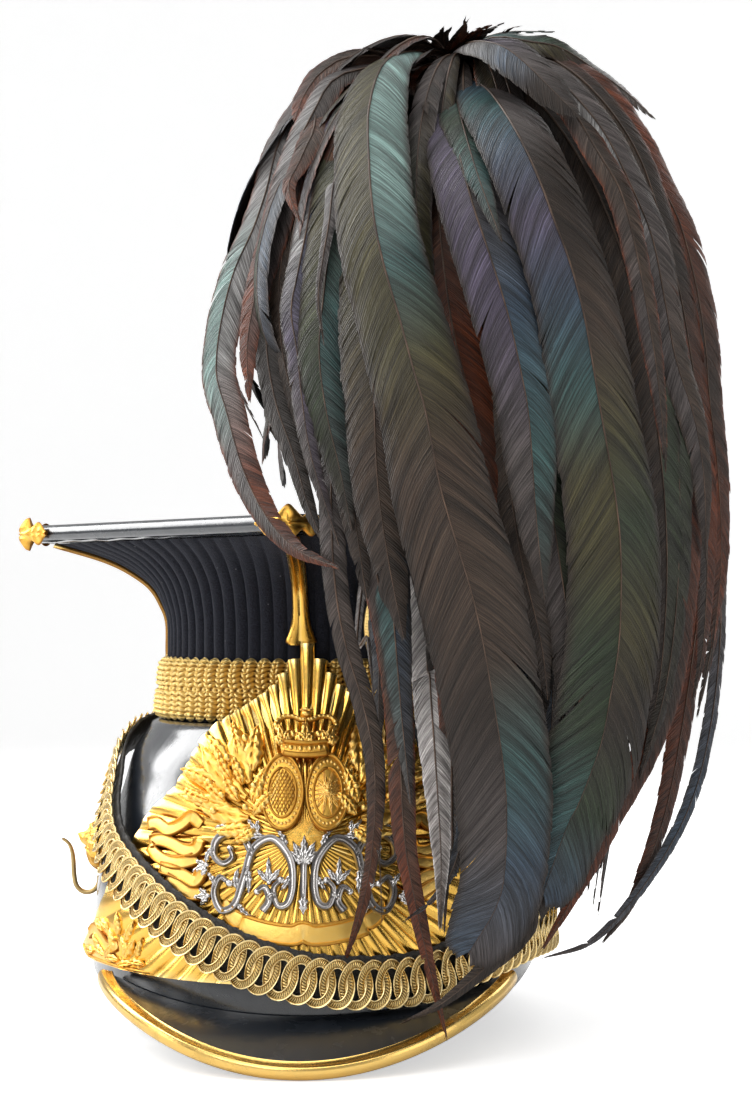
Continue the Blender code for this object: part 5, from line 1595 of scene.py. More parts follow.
# (sideways and height of the root, heading, bend, length, half width)
SPRAY_LEAVES = [
    (20.0, 68.0, 62.0, -30.0, 25.0, 5.2),
    (19.0, 73.0, 30.0, -24.0, 22.0, 5.0),
    (19.0, 61.0, 88.0, -22.0, 20.0, 4.4),
    (18.0, 77.0, 2.0, -14.0, 15.0, 4.0),
    (24.0, 63.0, 70.0, 16.0, 24.0, 3.6),
    (26.0, 78.0, 38.0, 20.0, 15.0, 3.2),
    (23.0, 82.0, 12.0, 16.0, 11.0, 2.8),
    (30.0, 72.0, 62.0, 24.0, 17.0, 3.2),
    (17.5, 66.0, -14.0, -16.0, 14.0, 3.0),
    (17.0, 62.0, -32.0, -22.0, 11.0, 2.6),
    (18.0, 58.0, 112.0, -30.0, 14.0, 3.0),
    (16.5, 57.0, 140.0, -40.0, 9.0, 2.4),
    (22.0, 66.0, 42.0, -30.0, 13.0, 2.6),
    (21.0, 72.0, 12.0, 30.0, 11.0, 2.4),
    (27.0, 66.0, 58.0, -26.0, 12.0, 2.4),
    (25.0, 74.0, 44.0, -30.0, 11.0, 2.3),
    (33.0, 66.0, 82.0, -30.0, 12.0, 2.4),
]
SPRAY_BERRIES = [(19.5, 64.0), (23.5, 70.0), (22.5, 77.5), (28.0, 68.0), (16.8, 71.5), (26.5, 80.5),
                 (33.0, 72.5), (31.0, 62.5), (20.6, 86.5)]
for side_name, side in SIDES:
    spray_heap = Heap()
    for k, (x, y, heading, bend, length, width) in enumerate(SPRAY_LEAVES):
        add_leaf(spray_heap, (x * side, y), heading * side, length, width,
                 SPRAY_SEAT - 0.6 + 0.1 * k, 2.3, 5, bend * side, 27)
    for x, y in SPRAY_BERRIES:
        add_bead(spray_heap, x * side, y, 1.2, SPRAY_SEAT + 1.6, 1.1)
    spray_heap.piece("leaf_spray_" + side_name, [cast_gilt], ["spray_" + side_name], "gilt",
                     sharp=60.0)

# %% [markdown]
# ### Blank scrolls and ribbon
# Honour scrolls fold back and forth on both wings of the plate, and a ribbon crosses its foot. They
# are left blank: a flat band with a raised rim on both edges. A fold is a second band that starts
# where the first ends and lies lower.

# %% Scrolls and the ribbon
# (sideways, height, standing) of each fold, from the upper end to the lower one
SCROLL_BENDS = [
    [(37.0, 58.2, 4.4), (40.6, 60.4, 5.0), (44.4, 57.6, 5.4), (50.0, 55.6, 5.4), (56.0, 57.6, 5.2),
     (61.5, 56.6, 4.8)],
    [(36.4, 53.2, 5.2), (38.0, 49.6, 5.4), (43.0, 49.2, 5.0), (49.0, 51.2, 4.6), (55.0, 52.0, 4.5),
     (60.0, 50.6, 4.4)],
    [(60.0, 50.2, 4.4), (55.0, 46.6, 4.8), (49.0, 44.8, 5.0), (42.6, 45.0, 5.2), (37.6, 46.6, 4.8)],
    [(35.0, 42.0, 5.4), (37.6, 39.0, 5.6), (42.4, 40.6, 5.2), (48.0, 42.0, 4.8), (54.0, 42.6, 4.5)],
    [(50.5, 39.4, 4.5), (45.4, 37.4, 4.9), (40.0, 35.0, 5.1), (35.6, 35.0, 4.8)],
]
for side_name, side in SIDES:
    scroll_heap = Heap()
    for rows in SCROLL_BENDS:
        line = [(x * side, y) for x, y, _ in rows]
        seats = [stand - 0.9 for _, _, stand in rows]
        add_bar(scroll_heap, line, 2.3, 1.5, seats, "ribbon", 40, ends=0.8)
    scroll_heap.piece("blank_scroll_" + side_name, [cast_gilt], ["scroll_" + side_name], "gilt",
                      sharp=50.0)

RIBBON_HEIGHT = 22.6
RIBBON_SEAT = 4.1
ribbon_heap = Heap()
ribbon_line = [(x, RIBBON_HEIGHT + 0.0078 * x * x + 1.3 * math.exp(-(x / 2.2) ** 2))
               for x in np.linspace(-21.0, 21.0, 15)]
add_bar(ribbon_heap, ribbon_line, 3.7, 1.0, RIBBON_SEAT, "ribbon", 90, ends=0.9)
for side in (-1.0, 1.0):
    add_bar(ribbon_heap, [(20.5 * side, 26.4), (24.5 * side, 29.0), (26.5 * side, 33.4)],
            [3.4, 2.8, 1.4], 1.0, RIBBON_SEAT - 0.2, "ribbon", 14)
ribbon_heap.piece("blank_ribbon", [cast_gilt], ["ribbon"], "gilt", sharp=50.0)

# %% [markdown]
# ### Wings of the plate
# Below the chain the plate ends in a wing on each side. A rim follows its edge, and leaves and a
# small blank scroll fill it. On the real cap they are struck in one with the plate.

# %% Relief on the wings
def skull_half_width(height):
    """Half width of the skull at one height."""
    return float(smooth_value(np.array([height]), SHELL_HEIGHTS, SHELL_WIDTHS)[0])


# Places are (angle, height) here, because the wings stand further and further off the skull
WING_RIM = [(70.8, 10.2), (66.4, 7.2), (58.0, 7.0), (48.0, 6.9), (38.0, 6.9)]
WING_SCROLL = [(66.0, 14.6), (62.5, 17.6), (58.5, 15.4), (54.5, 12.6), (50.5, 14.2)]

# (angle, height, heading, length, half width)
WING_LEAVES = [
    (63.0, 9.2, 84.0, 9.0, 2.0), (56.0, 9.6, 70.0, 11.0, 2.2), (50.0, 9.2, 84.0, 10.0, 2.0),
    (44.0, 9.0, 92.0, 10.0, 1.8), (56.0, 9.6, -62.0, 9.0, 2.0), (48.0, 9.8, -50.0, 10.0, 2.2),
    (60.0, 11.5, 30.0, 7.0, 1.8), (52.0, 11.5, 12.0, 9.0, 2.1), (46.0, 11.5, 24.0, 8.0, 2.0),
    (55.0, 19.0, 60.0, 9.0, 2.0), (50.5, 18.0, 0.0, 8.0, 2.0), (47.5, 16.0, -40.0, 9.0, 2.0),
    (58.5, 17.5, 40.0, 7.0, 1.8), (43.0, 11.0, -30.0, 8.0, 1.8), (40.0, 9.4, 80.0, 9.0, 1.6),
]


def add_wing_bar(heap, places, side, half_width, rise, lift, section, stations):
    """Bar through places on a wing, as far off the skull as the plate is there."""
    line = []
    seats = []
    for angle, height in places:
        line.append((math.radians(angle) * skull_half_width(height) * side, height))
        seats.append(float(plate_standing(angle)) + lift)
    add_bar(heap, line, half_width, rise, seats, section, stations)


for side_name, side in SIDES:
    wing_heap = Heap()
    add_wing_bar(wing_heap, WING_RIM, side, 0.6, 0.9, 0.7, "round", 70)
    add_wing_bar(wing_heap, WING_SCROLL, side, 2.2, 1.0, 1.0, "ribbon", 40)
    for angle, height, heading, length, width in WING_LEAVES:
        root = (math.radians(angle) * skull_half_width(height) * side, height)
        add_leaf(wing_heap, root, heading * side, length, width,
                 float(plate_standing(angle)) + 0.8, 1.9, 4, 24.0 * side)
    wing_heap.piece("wing_relief_" + side_name, [cast_gilt], (), "gilt", sharp=55.0)

# %% [markdown]
# ### Silver scrollwork
# Over the rays under the ovals lies a mount of dark silver: on each side a scroll that curls at both
# ends, two small volutes, and sprigs of leaves in the hollows, with a bud between the two sides. The
# bars have two ridges with a groove between them, worn bright on top and black in the groove with
# oxide and painted shade.

# %% Silver scrolls and bud
SILVER_SEAT = 4.0
# (angle, height) of one side, from its inner curl over the top to its outer curl
SILVER_ROUTE = [
    (5.3, 40.4), (6.9, 37.4), (5.9, 32.4), (3.6, 33.0), (2.5, 38.9), (3.3, 47.5), (7.4, 54.0),
    (11.9, 50.4), (13.9, 41.2), (16.0, 32.4), (19.3, 30.2), (21.3, 35.4), (20.0, 40.6), (17.7, 39.0),
]
# Volutes of one side as (sideways, height), each from its root to the middle of its curl
SILVER_VOLUTES = [
    [(17.2, 48.6), (20.0, 53.4), (25.2, 55.6), (30.0, 53.0), (30.8, 48.0), (27.4, 45.2), (24.2, 47.2),
     (25.2, 50.6)],
    [(13.4, 30.2), (11.2, 33.6), (12.6, 37.8), (15.4, 36.6)],
]
# Sprigs of one side: (sideways, height, heading of the middle leaf, length)
SILVER_SPRIGS = [(11.4, 39.6, 2.0, 8.6), (33.6, 44.6, 118.0, 6.4), (32.6, 34.6, 100.0, 6.0),
                 (15.6, 56.2, 40.0, 6.0)]
SPRIG_LEAVES = ((0.0, 1.0), (-42.0, 0.72), (42.0, 0.72))
# Leaves on the bars: (sideways, height, heading, bend, length, half width)
SILVER_LEAVES = [
    (6.2, 51.0, -4.0, 70.0, 7.0, 1.4),
    (12.6, 54.6, 78.0, 50.0, 7.5, 1.4),
    (19.0, 44.6, 196.0, -24.0, 9.0, 1.5),
    (21.6, 36.4, 24.0, -50.0, 8.0, 1.4),
    (21.6, 33.0, 200.0, 60.0, 6.5, 1.3),
    (24.6, 56.0, 50.0, 70.0, 7.0, 1.4),
    (30.9, 50.4, 130.0, 50.0, 6.5, 1.3),
    (4.4, 42.4, 168.0, -40.0, 6.5, 1.3),
    (8.6, 36.0, 96.0, 60.0, 5.0, 1.2),
    (29.6, 37.6, 20.0, 40.0, 6.0, 1.3),
]
SILVER_MIDDLE = 44.0
silver_scale = skull_half_width(SILVER_MIDDLE) * math.radians(1.0)
for side_name, side in SIDES:
    silver_heap = Heap()
    line = [(angle * silver_scale * side, height) for angle, height in SILVER_ROUTE]
    add_bar(silver_heap, line, [0.8, 1.25, 1.4, 1.4, 1.25, 0.8], 1.9, SILVER_SEAT, "double", 170)
    for x, y in (line[0], line[-1]):
        add_bead(silver_heap, x, y, 1.45, SILVER_SEAT, 1.2)
    for volute in SILVER_VOLUTES:
        bar = [(x * side, y) for x, y in volute]
        add_bar(silver_heap, bar, [1.4, 1.3, 1.1, 0.7], 1.8, SILVER_SEAT + 0.2, "double", 110)
        add_bead(silver_heap, bar[-1][0], bar[-1][1], 1.3, SILVER_SEAT, 1.2)
    for x, y, heading, length in SILVER_SPRIGS:
        for turn, share in SPRIG_LEAVES:
            add_leaf(silver_heap, (x * side, y), (heading + turn) * side, length * share, 1.35,
                     SILVER_SEAT + 0.5, 1.7, 3, stations=15)
        add_bead(silver_heap, x * side, y, 0.9, SILVER_SEAT + 0.5, 1.2)
    for x, y, heading, bend, length, width in SILVER_LEAVES:
        add_leaf(silver_heap, (x * side, y), heading * side, length, width, SILVER_SEAT + 0.6, 1.8,
                 4, bend * side, 17)
    silver_heap.piece("silver_scrollwork_" + side_name, [oxidised_silver],
                      ["silver_scroll_" + side_name], "oxidised_silver", sharp=55.0)

SILVER_BUD_HEIGHT = 42.0
bud_heap = Heap()
add_bar(bud_heap, [(0.0, SILVER_BUD_HEIGHT - 10.0), (0.0, SILVER_BUD_HEIGHT - 3.0),
                   (0.0, SILVER_BUD_HEIGHT + 5.0)], [0.9, 1.2, 1.2], 1.6, SILVER_SEAT, "double", 24)
for heading, length, width in ((-52.0, 7.0, 1.6), (52.0, 7.0, 1.6), (-27.0, 8.4, 1.6),
                               (27.0, 8.4, 1.6), (0.0, 9.6, 1.8)):
    add_leaf(bud_heap, (0.0, SILVER_BUD_HEIGHT + 4.0), heading, length, width, SILVER_SEAT + 0.4, 1.7,
             3)
add_leaf(bud_heap, (0.0, SILVER_BUD_HEIGHT - 6.0), 180.0, 6.8, 2.0, SILVER_SEAT + 0.3, 1.6, 3)
for side in (-1.0, 1.0):
    add_bead(bud_heap, side * 1.5, SILVER_BUD_HEIGHT + 4.3, 1.0, SILVER_SEAT + 0.5, 1.2)
bud_heap.piece("silver_bud", [oxidised_silver], ["silver_knot"], "oxidised_silver", sharp=55.0)

# %% [markdown]
# ## Chin chain and its strap
# The chain is a row of flat oval rings, each threaded through its neighbours, on a leather backing.
# It hooks up behind the head and hangs in a curve across the plate. One ring is drawn once: an oval
# band with two plain rims and a twisted rope between them. Each ring is also bent like a saddle, so
# that its left side lies over its neighbour above and under it below. That is how such rings lock.

# %% Route of the chain
# (angle, height, standing of the strap off the skull), a closed loop
CHAIN_ROUTE = [
    (-140.0, 83.0, 2.2),
    (-112.0, 85.0, 2.0),
    (-92.0, 83.0, 2.6),
    (-75.0, 70.0, 3.6),
    (-66.0, 57.0, 4.6),
    (-57.5, 46.5, 5.0),
    (-47.0, 38.0, 5.0),
    (-37.0, 30.6, 5.0),
    (-24.0, 20.6, 5.4),
    (-12.0, 13.0, 5.6),
    (0.0, 8.2, 5.6),
    (12.0, 6.4, 5.4),
    (26.0, 7.0, 5.2),
    (43.0, 12.2, 5.4),
    (60.0, 15.8, 6.0),
    (80.0, 16.0, 6.3),
    (98.0, 21.0, 3.0),
    (118.0, 42.0, 1.8),
    (145.0, 69.0, 2.0),
    (180.0, 80.0, 2.4),
]
ROUTE_STATIONS = 900
STRAP_HALF_WIDTH = 8.2
STRAP_SHIFT = 1.6
STRAP_THICKNESS = 1.2
CHAIN_SEAT = 3.45
route = smooth_route(CHAIN_ROUTE, ROUTE_STATIONS, loop=True)
route_points = standing_point(route[:, 0], route[:, 1], route[:, 2])
bare_points = shell_point(route[:, 0], route[:, 1])
route_normal = shell_normal(route[:, 0], route[:, 1])
route_along = unit(np.roll(bare_points, -1, axis=0) - np.roll(bare_points, 1, axis=0))
route_across = unit(np.cross(route_normal, route_along))
route_steps = np.linalg.norm(np.roll(route_points, -1, axis=0) - route_points, axis=1)
route_length = route_steps.sum()
route_run = np.concatenate([[0.0], np.cumsum(route_steps)])
print("chain:", round(route_length), "mm round")


def on_route(run, across, standing):
    """Point beside the route: distance along it, across it and off it, in mm."""
    run = run % route_length
    parts = []
    for values in (route_points, route_across, route_normal):
        closed = np.vstack([values, values[:1]])
        parts.append(np.stack([np.interp(run, route_run, closed[:, k]) for k in range(3)], axis=-1))
    return parts[0] + parts[1] * across[..., None] + parts[2] * standing[..., None]


# %% Strap behind the chain
strap_profile = [(-1.0, 0.25), (-1.0, 0.85), (-0.96, 1.0), (-0.5, 1.08), (0.0, 1.04), (0.5, 1.1),
                 (0.96, 1.0), (1.0, 0.85), (1.0, 0.25), (0.96, 0.02), (0.0, 0.0), (-0.96, 0.02)]
strap_runs = np.linspace(0.0, route_length, 600, endpoint=False)
ragged = 0.22 * np.sin(strap_runs * 0.9) + 0.16 * np.sin(strap_runs * 2.3 + 1.0)
rings = [on_route(strap_runs, STRAP_SHIFT + x * (STRAP_HALF_WIDTH + ragged * abs(x)),
                  np.full_like(strap_runs, y * STRAP_THICKNESS)) for x, y in strap_profile]
strap_heap = Heap()
strap_rings = np.array(rings).transpose(1, 0, 2)
add_rings(strap_heap, strap_rings, round_rows=True)
strap_heap.piece("strap_of_chain", [strap_leather], ["chain_strap"], "strap_leather", sharp=60.0)

# %% Rings of the chain
RING_PITCH = 6.3
RING_OUTER = (6.0, 8.7)
RING_INNER = (3.15, 5.3)
RING_SEGMENTS = 52
RING_SADDLE = 0.034
RING_ROPES = 42.0
# (place across the band, height)
RING_PROFILE = [(-1.0, 0.05), (-0.95, 0.44), (-0.76, 0.50), (-0.62, 0.14), (-0.3, 0.30),
                (0.0, 0.36), (0.3, 0.30), (0.62, 0.14), (0.76, 0.50), (0.95, 0.44), (1.0, 0.05),
                (0.8, -0.45), (-0.8, -0.45)]
ring_count = round(route_length / RING_PITCH)
turn = np.linspace(0.0, math.tau, RING_SEGMENTS + 1)[:, None]
share = np.array([row[0] for row in RING_PROFILE])[None, :] / 2.0 + 0.5
ring_x = np.cos(turn) * (RING_INNER[0] + (RING_OUTER[0] - RING_INNER[0]) * share)
ring_y = np.sin(turn) * (RING_INNER[1] + (RING_OUTER[1] - RING_INNER[1]) * share)
ring_z = np.array([row[1] for row in RING_PROFILE])[None, :] - RING_SADDLE * ring_x * ring_y
ring_uv = paired(turn / math.tau * RING_ROPES, share)
chain_heap = Heap()
ring_faces = grid_faces(RING_SEGMENTS + 1, len(RING_PROFILE), False, True)
for k in range(ring_count):
    middle = route_length * k / ring_count
    tip = math.radians(2.2 * math.sin(k * 2.4))
    x = ring_x * math.cos(tip) - ring_y * math.sin(tip)
    y = ring_y * math.cos(tip) + ring_x * math.sin(tip)
    chain_heap.add(on_route(middle + x, y, CHAIN_SEAT + ring_z), ring_faces, ring_uv)
chain_heap.piece("chain_rings", [ring_gilt], ["chain"], "tarnished_brass", sharp=70.0)
print("rings:", ring_count)

# %% [markdown]
# ## Lion mask bosses and the hook
# On each side a cast lion's mask covers the end of the chain. It is modelled as a height over a
# round patch: a dome, a mane of tufts round it, and a brow, cheeks, muzzle and eyes pressed out or in
# at their places. Under the one on the wearer's right is a wire hook, on which the chain can be
# hung up.

# %% Lion mask
BOSS_ANGLE = 95.0
BOSS_HEIGHT = 45.0
BOSS_RADIUS = 12.6
BOSS_SEAT = 0.6
MASK_DOME = 8.6
MANE_TUFTS = 13
MASK_COLUMNS = 112


def bump_at(x, y, middle_x, middle_y, wide, tall):
    """Soft round bump, 1 in its middle."""
    return np.exp(-((x - middle_x) / wide) ** 2 - ((y - middle_y) / tall) ** 2)


def two_bumps(x, y, aside, middle_y, wide, tall):
    """The same bump on both sides of the mask's middle line."""
    return bump_at(x, y, -aside, middle_y, wide, tall) + bump_at(x, y, aside, middle_y, wide, tall)


def mask_height(x, y):
    """Height of the lion's mask over a flat disc."""
    radius = np.hypot(x, y)
    bearing = np.arctan2(x, y)
    share = radius / BOSS_RADIUS
    dome = MASK_DOME * np.sqrt(np.clip(1.0 - (share * 0.96) ** 2, 0.0, 1.0))
    in_mane = eased((share - 0.48) / 0.18)
    tufts = np.abs(np.sin(bearing * MANE_TUFTS / 2.0 + 1.3 * np.sin(share * 6.0)))
    mane = in_mane * (1.6 * tufts ** 0.7 - 0.9) * (1.0 - 0.4 * share)
    strands = in_mane * 0.28 * np.sin(bearing * MANE_TUFTS * 3.0 + share * 9.0)
    muzzle = 3.7 * bump_at(x, y, 0.0, -2.6, 3.3, 2.7) + 0.8 * bump_at(x, y, 0.0, -6.0, 2.0, 1.3)
    nose = 1.5 * bump_at(x, y, 0.0, -1.0, 1.5, 1.0) + 1.1 * bump_at(x, y, 0.0, 1.8, 0.9, 3.2)
    brow = 1.3 * two_bumps(x, y, 2.7, 3.9, 2.0, 1.1)
    cheeks = 0.9 * two_bumps(x, y, 4.4, -1.2, 1.7, 2.2)
    sockets = -1.5 * two_bumps(x, y, 2.7, 1.9, 1.3, 1.0)
    eyes = 1.1 * two_bumps(x, y, 2.7, 1.9, 0.7, 0.6)
    mouth = -1.8 * bump_at(x, y + 0.02 * x * x, 0.0, -4.9, 2.7, 0.5)
    lip = -0.6 * bump_at(x, y, 0.0, -3.4, 0.3, 1.3)
    face = muzzle + nose + brow + cheeks + sockets + eyes + mouth + lip
    return dome + mane + strands + face * (1.0 - in_mane * 0.9)


disc_shares = np.concatenate([[0.012], np.linspace(0.05, 1.0, 40)])
disc_turns = math.tau / MASK_COLUMNS * np.arange(MASK_COLUMNS)
for side_name, side in SIDES:
    normal = shell_normal(side * BOSS_ANGLE, BOSS_HEIGHT)
    across = direction(side * BOSS_ANGLE + 90.0)
    rise = np.cross(normal, across)
    rise = rise * np.sign(rise[2])
    centre = shell_point(side * BOSS_ANGLE, BOSS_HEIGHT) + normal * BOSS_SEAT
    rings = []
    for share in disc_shares:
        scallop = 1.0 + 0.05 * share * np.cos(disc_turns * MANE_TUFTS)
        x = BOSS_RADIUS * share * np.cos(disc_turns) * scallop
        y = BOSS_RADIUS * share * np.sin(disc_turns) * scallop
        height = np.maximum(mask_height(x, y), 0.8)
        rings.append(centre + across * x[:, None] + rise * y[:, None] + normal * height[:, None])
    outer = rings[-1] - normal * (np.einsum("ij,j->i", rings[-1] - centre, normal))[:, None]
    rings.append(outer)
    boss_heap = Heap()
    add_rings(boss_heap, rings)
    boss_heap.piece("lion_mask_" + side_name, [cast_gilt], ["boss_" + side_name], "gilt", sharp=70.0)

# %% Hook under the mask on the wearer's right
HOOK_RADIUS = 0.95
HOOK_Y = 8.0
HOOK_STATIONS = 60
HOOK_TAPER = 0.35
# (out from the middle plane, height)
HOOK_ROUTE = [
    (85.5, 30.9), (85.7, 28.2), (87.2, 25.6), (89.6, 24.4), (92.4, 24.8), (94.7, 27.2), (95.6, 31.6),
    (95.9, 37.2), (96.6, 41.2), (98.0, 43.9), (100.4, 45.7),
]


# A direction along which no bar runs, to set each bar's frame by
SLANTED = (0.31, 0.93, 0.2)


def add_tube(heap, points, radii, sides=14):
    """Round bar along points, with a radius for each point."""
    points = np.asarray(points, dtype=float)
    along = unit(np.gradient(points, axis=0))
    side_way = unit(np.cross(along, np.array(SLANTED)))
    lift = np.cross(side_way, along)
    turns = math.tau / sides * np.arange(sides)
    add_rings(heap, round_rings(points, side_way, lift, radii, turns))


hook_line = smooth_route(HOOK_ROUTE, HOOK_STATIONS)
hook_points = np.stack([-hook_line[:, 0], np.full(HOOK_STATIONS, HOOK_Y), hook_line[:, 1]], axis=1)
run = np.linspace(0.0, 1.0, HOOK_STATIONS)
hook_radii = HOOK_RADIUS * (1.0 - HOOK_TAPER * eased((run - 0.6) / 0.4))
hook_radii[-3:] *= np.array([1.0, 0.85, 0.5])
hook_heap = Heap()
add_tube(hook_heap, hook_points, hook_radii)
hook_heap.piece("hook_wire", [tarnished_brass], ["hook_right"], "tarnished_brass", sharp=60.0)

# %% [markdown]
# ## Rosette and plume socket
# On the left front of the crown sits a rosette of bullion, rings of fat gold cord inside each other,
# and behind it a gilt tube rises past the board's edge and carries the plume.

# %% Rosette
ROSETTE_ANGLE = 36.0
ROSETTE_SEAT = 70.5
ROSETTE_HEIGHT = 134.0
ROSETTE_LEAN = 12.0
ROSETTE_WIRE = 0.9
# (radius of the ring of cord, height of its middle, radius of the cord)
ROSETTE_CORDS = [(24.6, 1.9, 1.9), (20.6, 2.0, 1.9), (16.6, 2.9, 1.9), (12.6, 3.8, 1.9),
                 (8.7, 4.6, 1.9), (5.0, 5.3, 1.8), (1.9, 5.8, 1.7)]
outward = direction(ROSETTE_ANGLE)
rosette_out = unit(np.array([outward[0], outward[1], -math.sin(math.radians(ROSETTE_LEAN))]))
rosette_across = unit(np.cross(rosette_out, upward))
rosette_up = np.cross(rosette_across, rosette_out)
rosette_up = rosette_up * np.sign(rosette_up[2])
rosette_centre = outward * ROSETTE_SEAT + upward * ROSETTE_HEIGHT
rosette_heap = Heap()
for ring_radius, lift, cord_radius in ROSETTE_CORDS:
    stations = max(int(ring_radius * 8), 30)
    turns = np.linspace(0.0, math.tau, stations)
    around = np.linspace(0.0, math.tau, 13)
    spread = ring_radius + cord_radius * np.cos(around)[None, :]
    level = np.broadcast_to(lift + cord_radius * np.sin(around), (stations, len(around)))
    rings = (rosette_centre
             + rosette_across * (np.cos(turns)[:, None] * spread)[..., None]
             + rosette_up * (np.sin(turns)[:, None] * spread)[..., None]
             + rosette_out * level[..., None])
    uv = paired((turns * ring_radius)[:, None] * ROSETTE_WIRE, (around / math.tau)[None, :])
    add_rings(rosette_heap, rings, caps=False, uv=uv, seam=True)
rosette_heap.piece("rosette_bullion", [gold_cord], ["rosette"], "gold_gimp")

# %% Plume socket
SOCKET_FOOT = (81.6, 138.0)
SOCKET_HEAD = (86.6, 186.0)
# (share of the way up, radius)
SOCKET_SHAPE = [(0.0, 2.3), (0.02, 2.9), (0.3, 2.9), (0.32, 3.3), (0.36, 3.3), (0.38, 2.9),
                (0.74, 2.9), (0.8, 3.2), (0.86, 4.1), (0.89, 4.6), (0.92, 4.3), (0.95, 4.6),
                (1.0, 4.5)]
PLUME_SIDE_ANGLE = 42.5
plume_level = direction(PLUME_SIDE_ANGLE)
foot = plume_level * SOCKET_FOOT[0] + upward * SOCKET_FOOT[1]
head = plume_level * SOCKET_HEAD[0] + upward * SOCKET_HEAD[1]
socket_points = [foot + (head - foot) * share for share, _ in SOCKET_SHAPE]
socket_heap = Heap()
add_tube(socket_heap, socket_points, [radius for _, radius in SOCKET_SHAPE], 28)
socket_heap.piece("plume_socket_gilt", [gilt], ["plume_socket"], "gilt", sharp=40.0)

# %% [markdown]
# ## Plume of cock's feathers
# The plume is a hundred and more tail feathers of a cock, tied to a wound head on the socket. Each
# feather rises from the head, turns over and falls. A curve with a flat bevel could stand for one,
# but a feather's look comes from its barbs: fine strips that leave the quill at a slant and part from
# each other here and there. So a feather is built barb strip by barb strip, on both sides of its
# quill, and hundreds of strips make its slanted grain and its frayed edge.

# %% Plume head and the dome that the feathers hang on
HEAD_OUT = 86.6
head_axis = direction(PLUME_SIDE_ANGLE) * HEAD_OUT
# (height, distance of the outermost feathers from the head's axis)
DOME = [(-20.0, 60.0), (20.0, 71.0), (91.0, 88.0), (154.0, 96.0), (210.0, 96.5), (257.0, 89.0),
        (295.0, 76.0), (324.0, 60.0), (343.0, 40.0), (352.0, 18.0), (358.0, 2.0)]
DOME_HEIGHTS, DOME_REACHES = zip(*DOME)
KNOT_PIXEL = np.array((440.0, 60.0))
ROOT_SPREAD = 75.0
head_right = head_axis @ rightward
head_near = head_axis @ back


def seen_point(x_pixel, y_pixel, nearness):
    """Point of the cap that the picture shows at a pixel, at a distance towards the camera."""
    scale = (CAMERA_AWAY - nearness) / FOCAL_PIXELS
    across = (x_pixel - CAP_MIDDLE_PIXEL[0]) * scale
    height = CAMERA_HEIGHT - (y_pixel - CAP_MIDDLE_PIXEL[1]) * scale
    return rightward * across + back * nearness + upward * height


def dome_nearness(x_pixel, y_pixel, layer):
    """How far towards the camera the dome, drawn in by a layer's share, is seen at a pixel."""
    nearness = head_near
    for _ in range(6):
        point = seen_point(x_pixel, y_pixel, nearness)
        reach = float(np.interp(point[2], DOME_HEIGHTS, DOME_REACHES)) * layer
        aside = (point @ rightward - head_right) / reach
        nearness = head_near + reach * max(1.0 - aside * aside, 0.0) ** 0.6
    return nearness


# %% [markdown]
# ### Colours of the feathers
# The feathers look black at a glance. They are dark brown with green, teal and blue lights, paler
# where they turn to the window, olive in places, and russet at thin edges. The tints paint these lights
# in: teal, blue and violet are painted sheen, and pale and silver are painted highlights. Each feather
# carries a row of tints for each side, and the finish streaks them along the barbs.

# %% Tints and the feather's finish
# Teal, blue and violet are painted sheen; silver and pale are painted highlights
TINTS = {
    "brown": (0.050, 0.032, 0.022),
    "umber": (0.024, 0.016, 0.012),
    "black": (0.007, 0.006, 0.006),
    "teal": (0.034, 0.080, 0.078),
    "silver": (0.150, 0.240, 0.220),
    "blue": (0.036, 0.058, 0.088),
    "violet": (0.066, 0.054, 0.086),
    "grey": (0.074, 0.062, 0.060),
    "pale": (0.230, 0.225, 0.220),
    "olive": (0.052, 0.046, 0.018),
    "green": (0.022, 0.036, 0.018),
    "russet": (0.120, 0.026, 0.007),
    "white": (0.62, 0.58, 0.56),
    "quill": (0.085, 0.052, 0.036),
}
vane_grain, given, made_out = new_group(
    "vane grain",
    [("Barbs a mm", "Float", 1.1), ("Streak Length", "Float", 0.35), ("Streak Scale", "Float", 0.6)],
    [("Barbs", "Float"), ("Streaks", "Float"), ("Patches", "Float")])
tree = vane_grain
place = mesh_place(tree)
barb_wave = wave_of(tree, maths(tree, "MULTIPLY", place["X"], given["Barbs a mm"]))
tree.links.new(maths(tree, "MULTIPLY_ADD", barb_wave, 0.5, 0.5), made_out["Barbs"])
streak_place = new_node(tree, "ShaderNodeCombineXYZ", {
    "X": maths(tree, "MULTIPLY", place["X"], given["Streak Scale"]),
    "Y": maths(tree, "MULTIPLY", place["Y"], given["Streak Length"]),
}).outputs[0]
tree.links.new(noise(tree, streak_place, 1.7, 5.0, 0.62), made_out["Streaks"])
tree.links.new(noise(tree, streak_place, 0.22, 3.0, 0.6), made_out["Patches"])

feather_gloss, tree, shader = new_finish(
    "feather gloss", Specular_IOR_Level=0.34, Specular_Tint=(1.0, 0.96, 0.92))
vane = use_group(tree, vane_grain)
tint = new_node(tree, "ShaderNodeAttribute", attribute_name="tint").outputs["Vector"]
darker = blend(tree, 1.0, tint, (0.42, 0.40, 0.40), "MULTIPLY")
lighter = blend(tree, 1.0, tint, (1.6, 1.62, 1.62), "MULTIPLY")
colour = blend(tree, stretch(tree, vane["Streaks"], 0.38, 0.64), darker, lighter)
shade = stretch(tree, vane["Patches"], 0.35, 0.62, 0.45, 1.25)
shade = new_node(tree, "ShaderNodeCombineXYZ", {"X": shade, "Y": shade, "Z": shade}).outputs[0]
colour = blend(tree, 1.0, colour, shade, "MULTIPLY")
colour = blend(tree, maths(tree, "MULTIPLY", vane["Barbs"], 0.3), colour, (0.006, 0.005, 0.005))
set_surface(tree, shader, colour, stretch(tree, vane["Streaks"], 0.3, 0.7, 0.46, 0.27))
add_bumps(tree, shader, (vane["Barbs"], 0.10), (vane["Streaks"], 0.5))
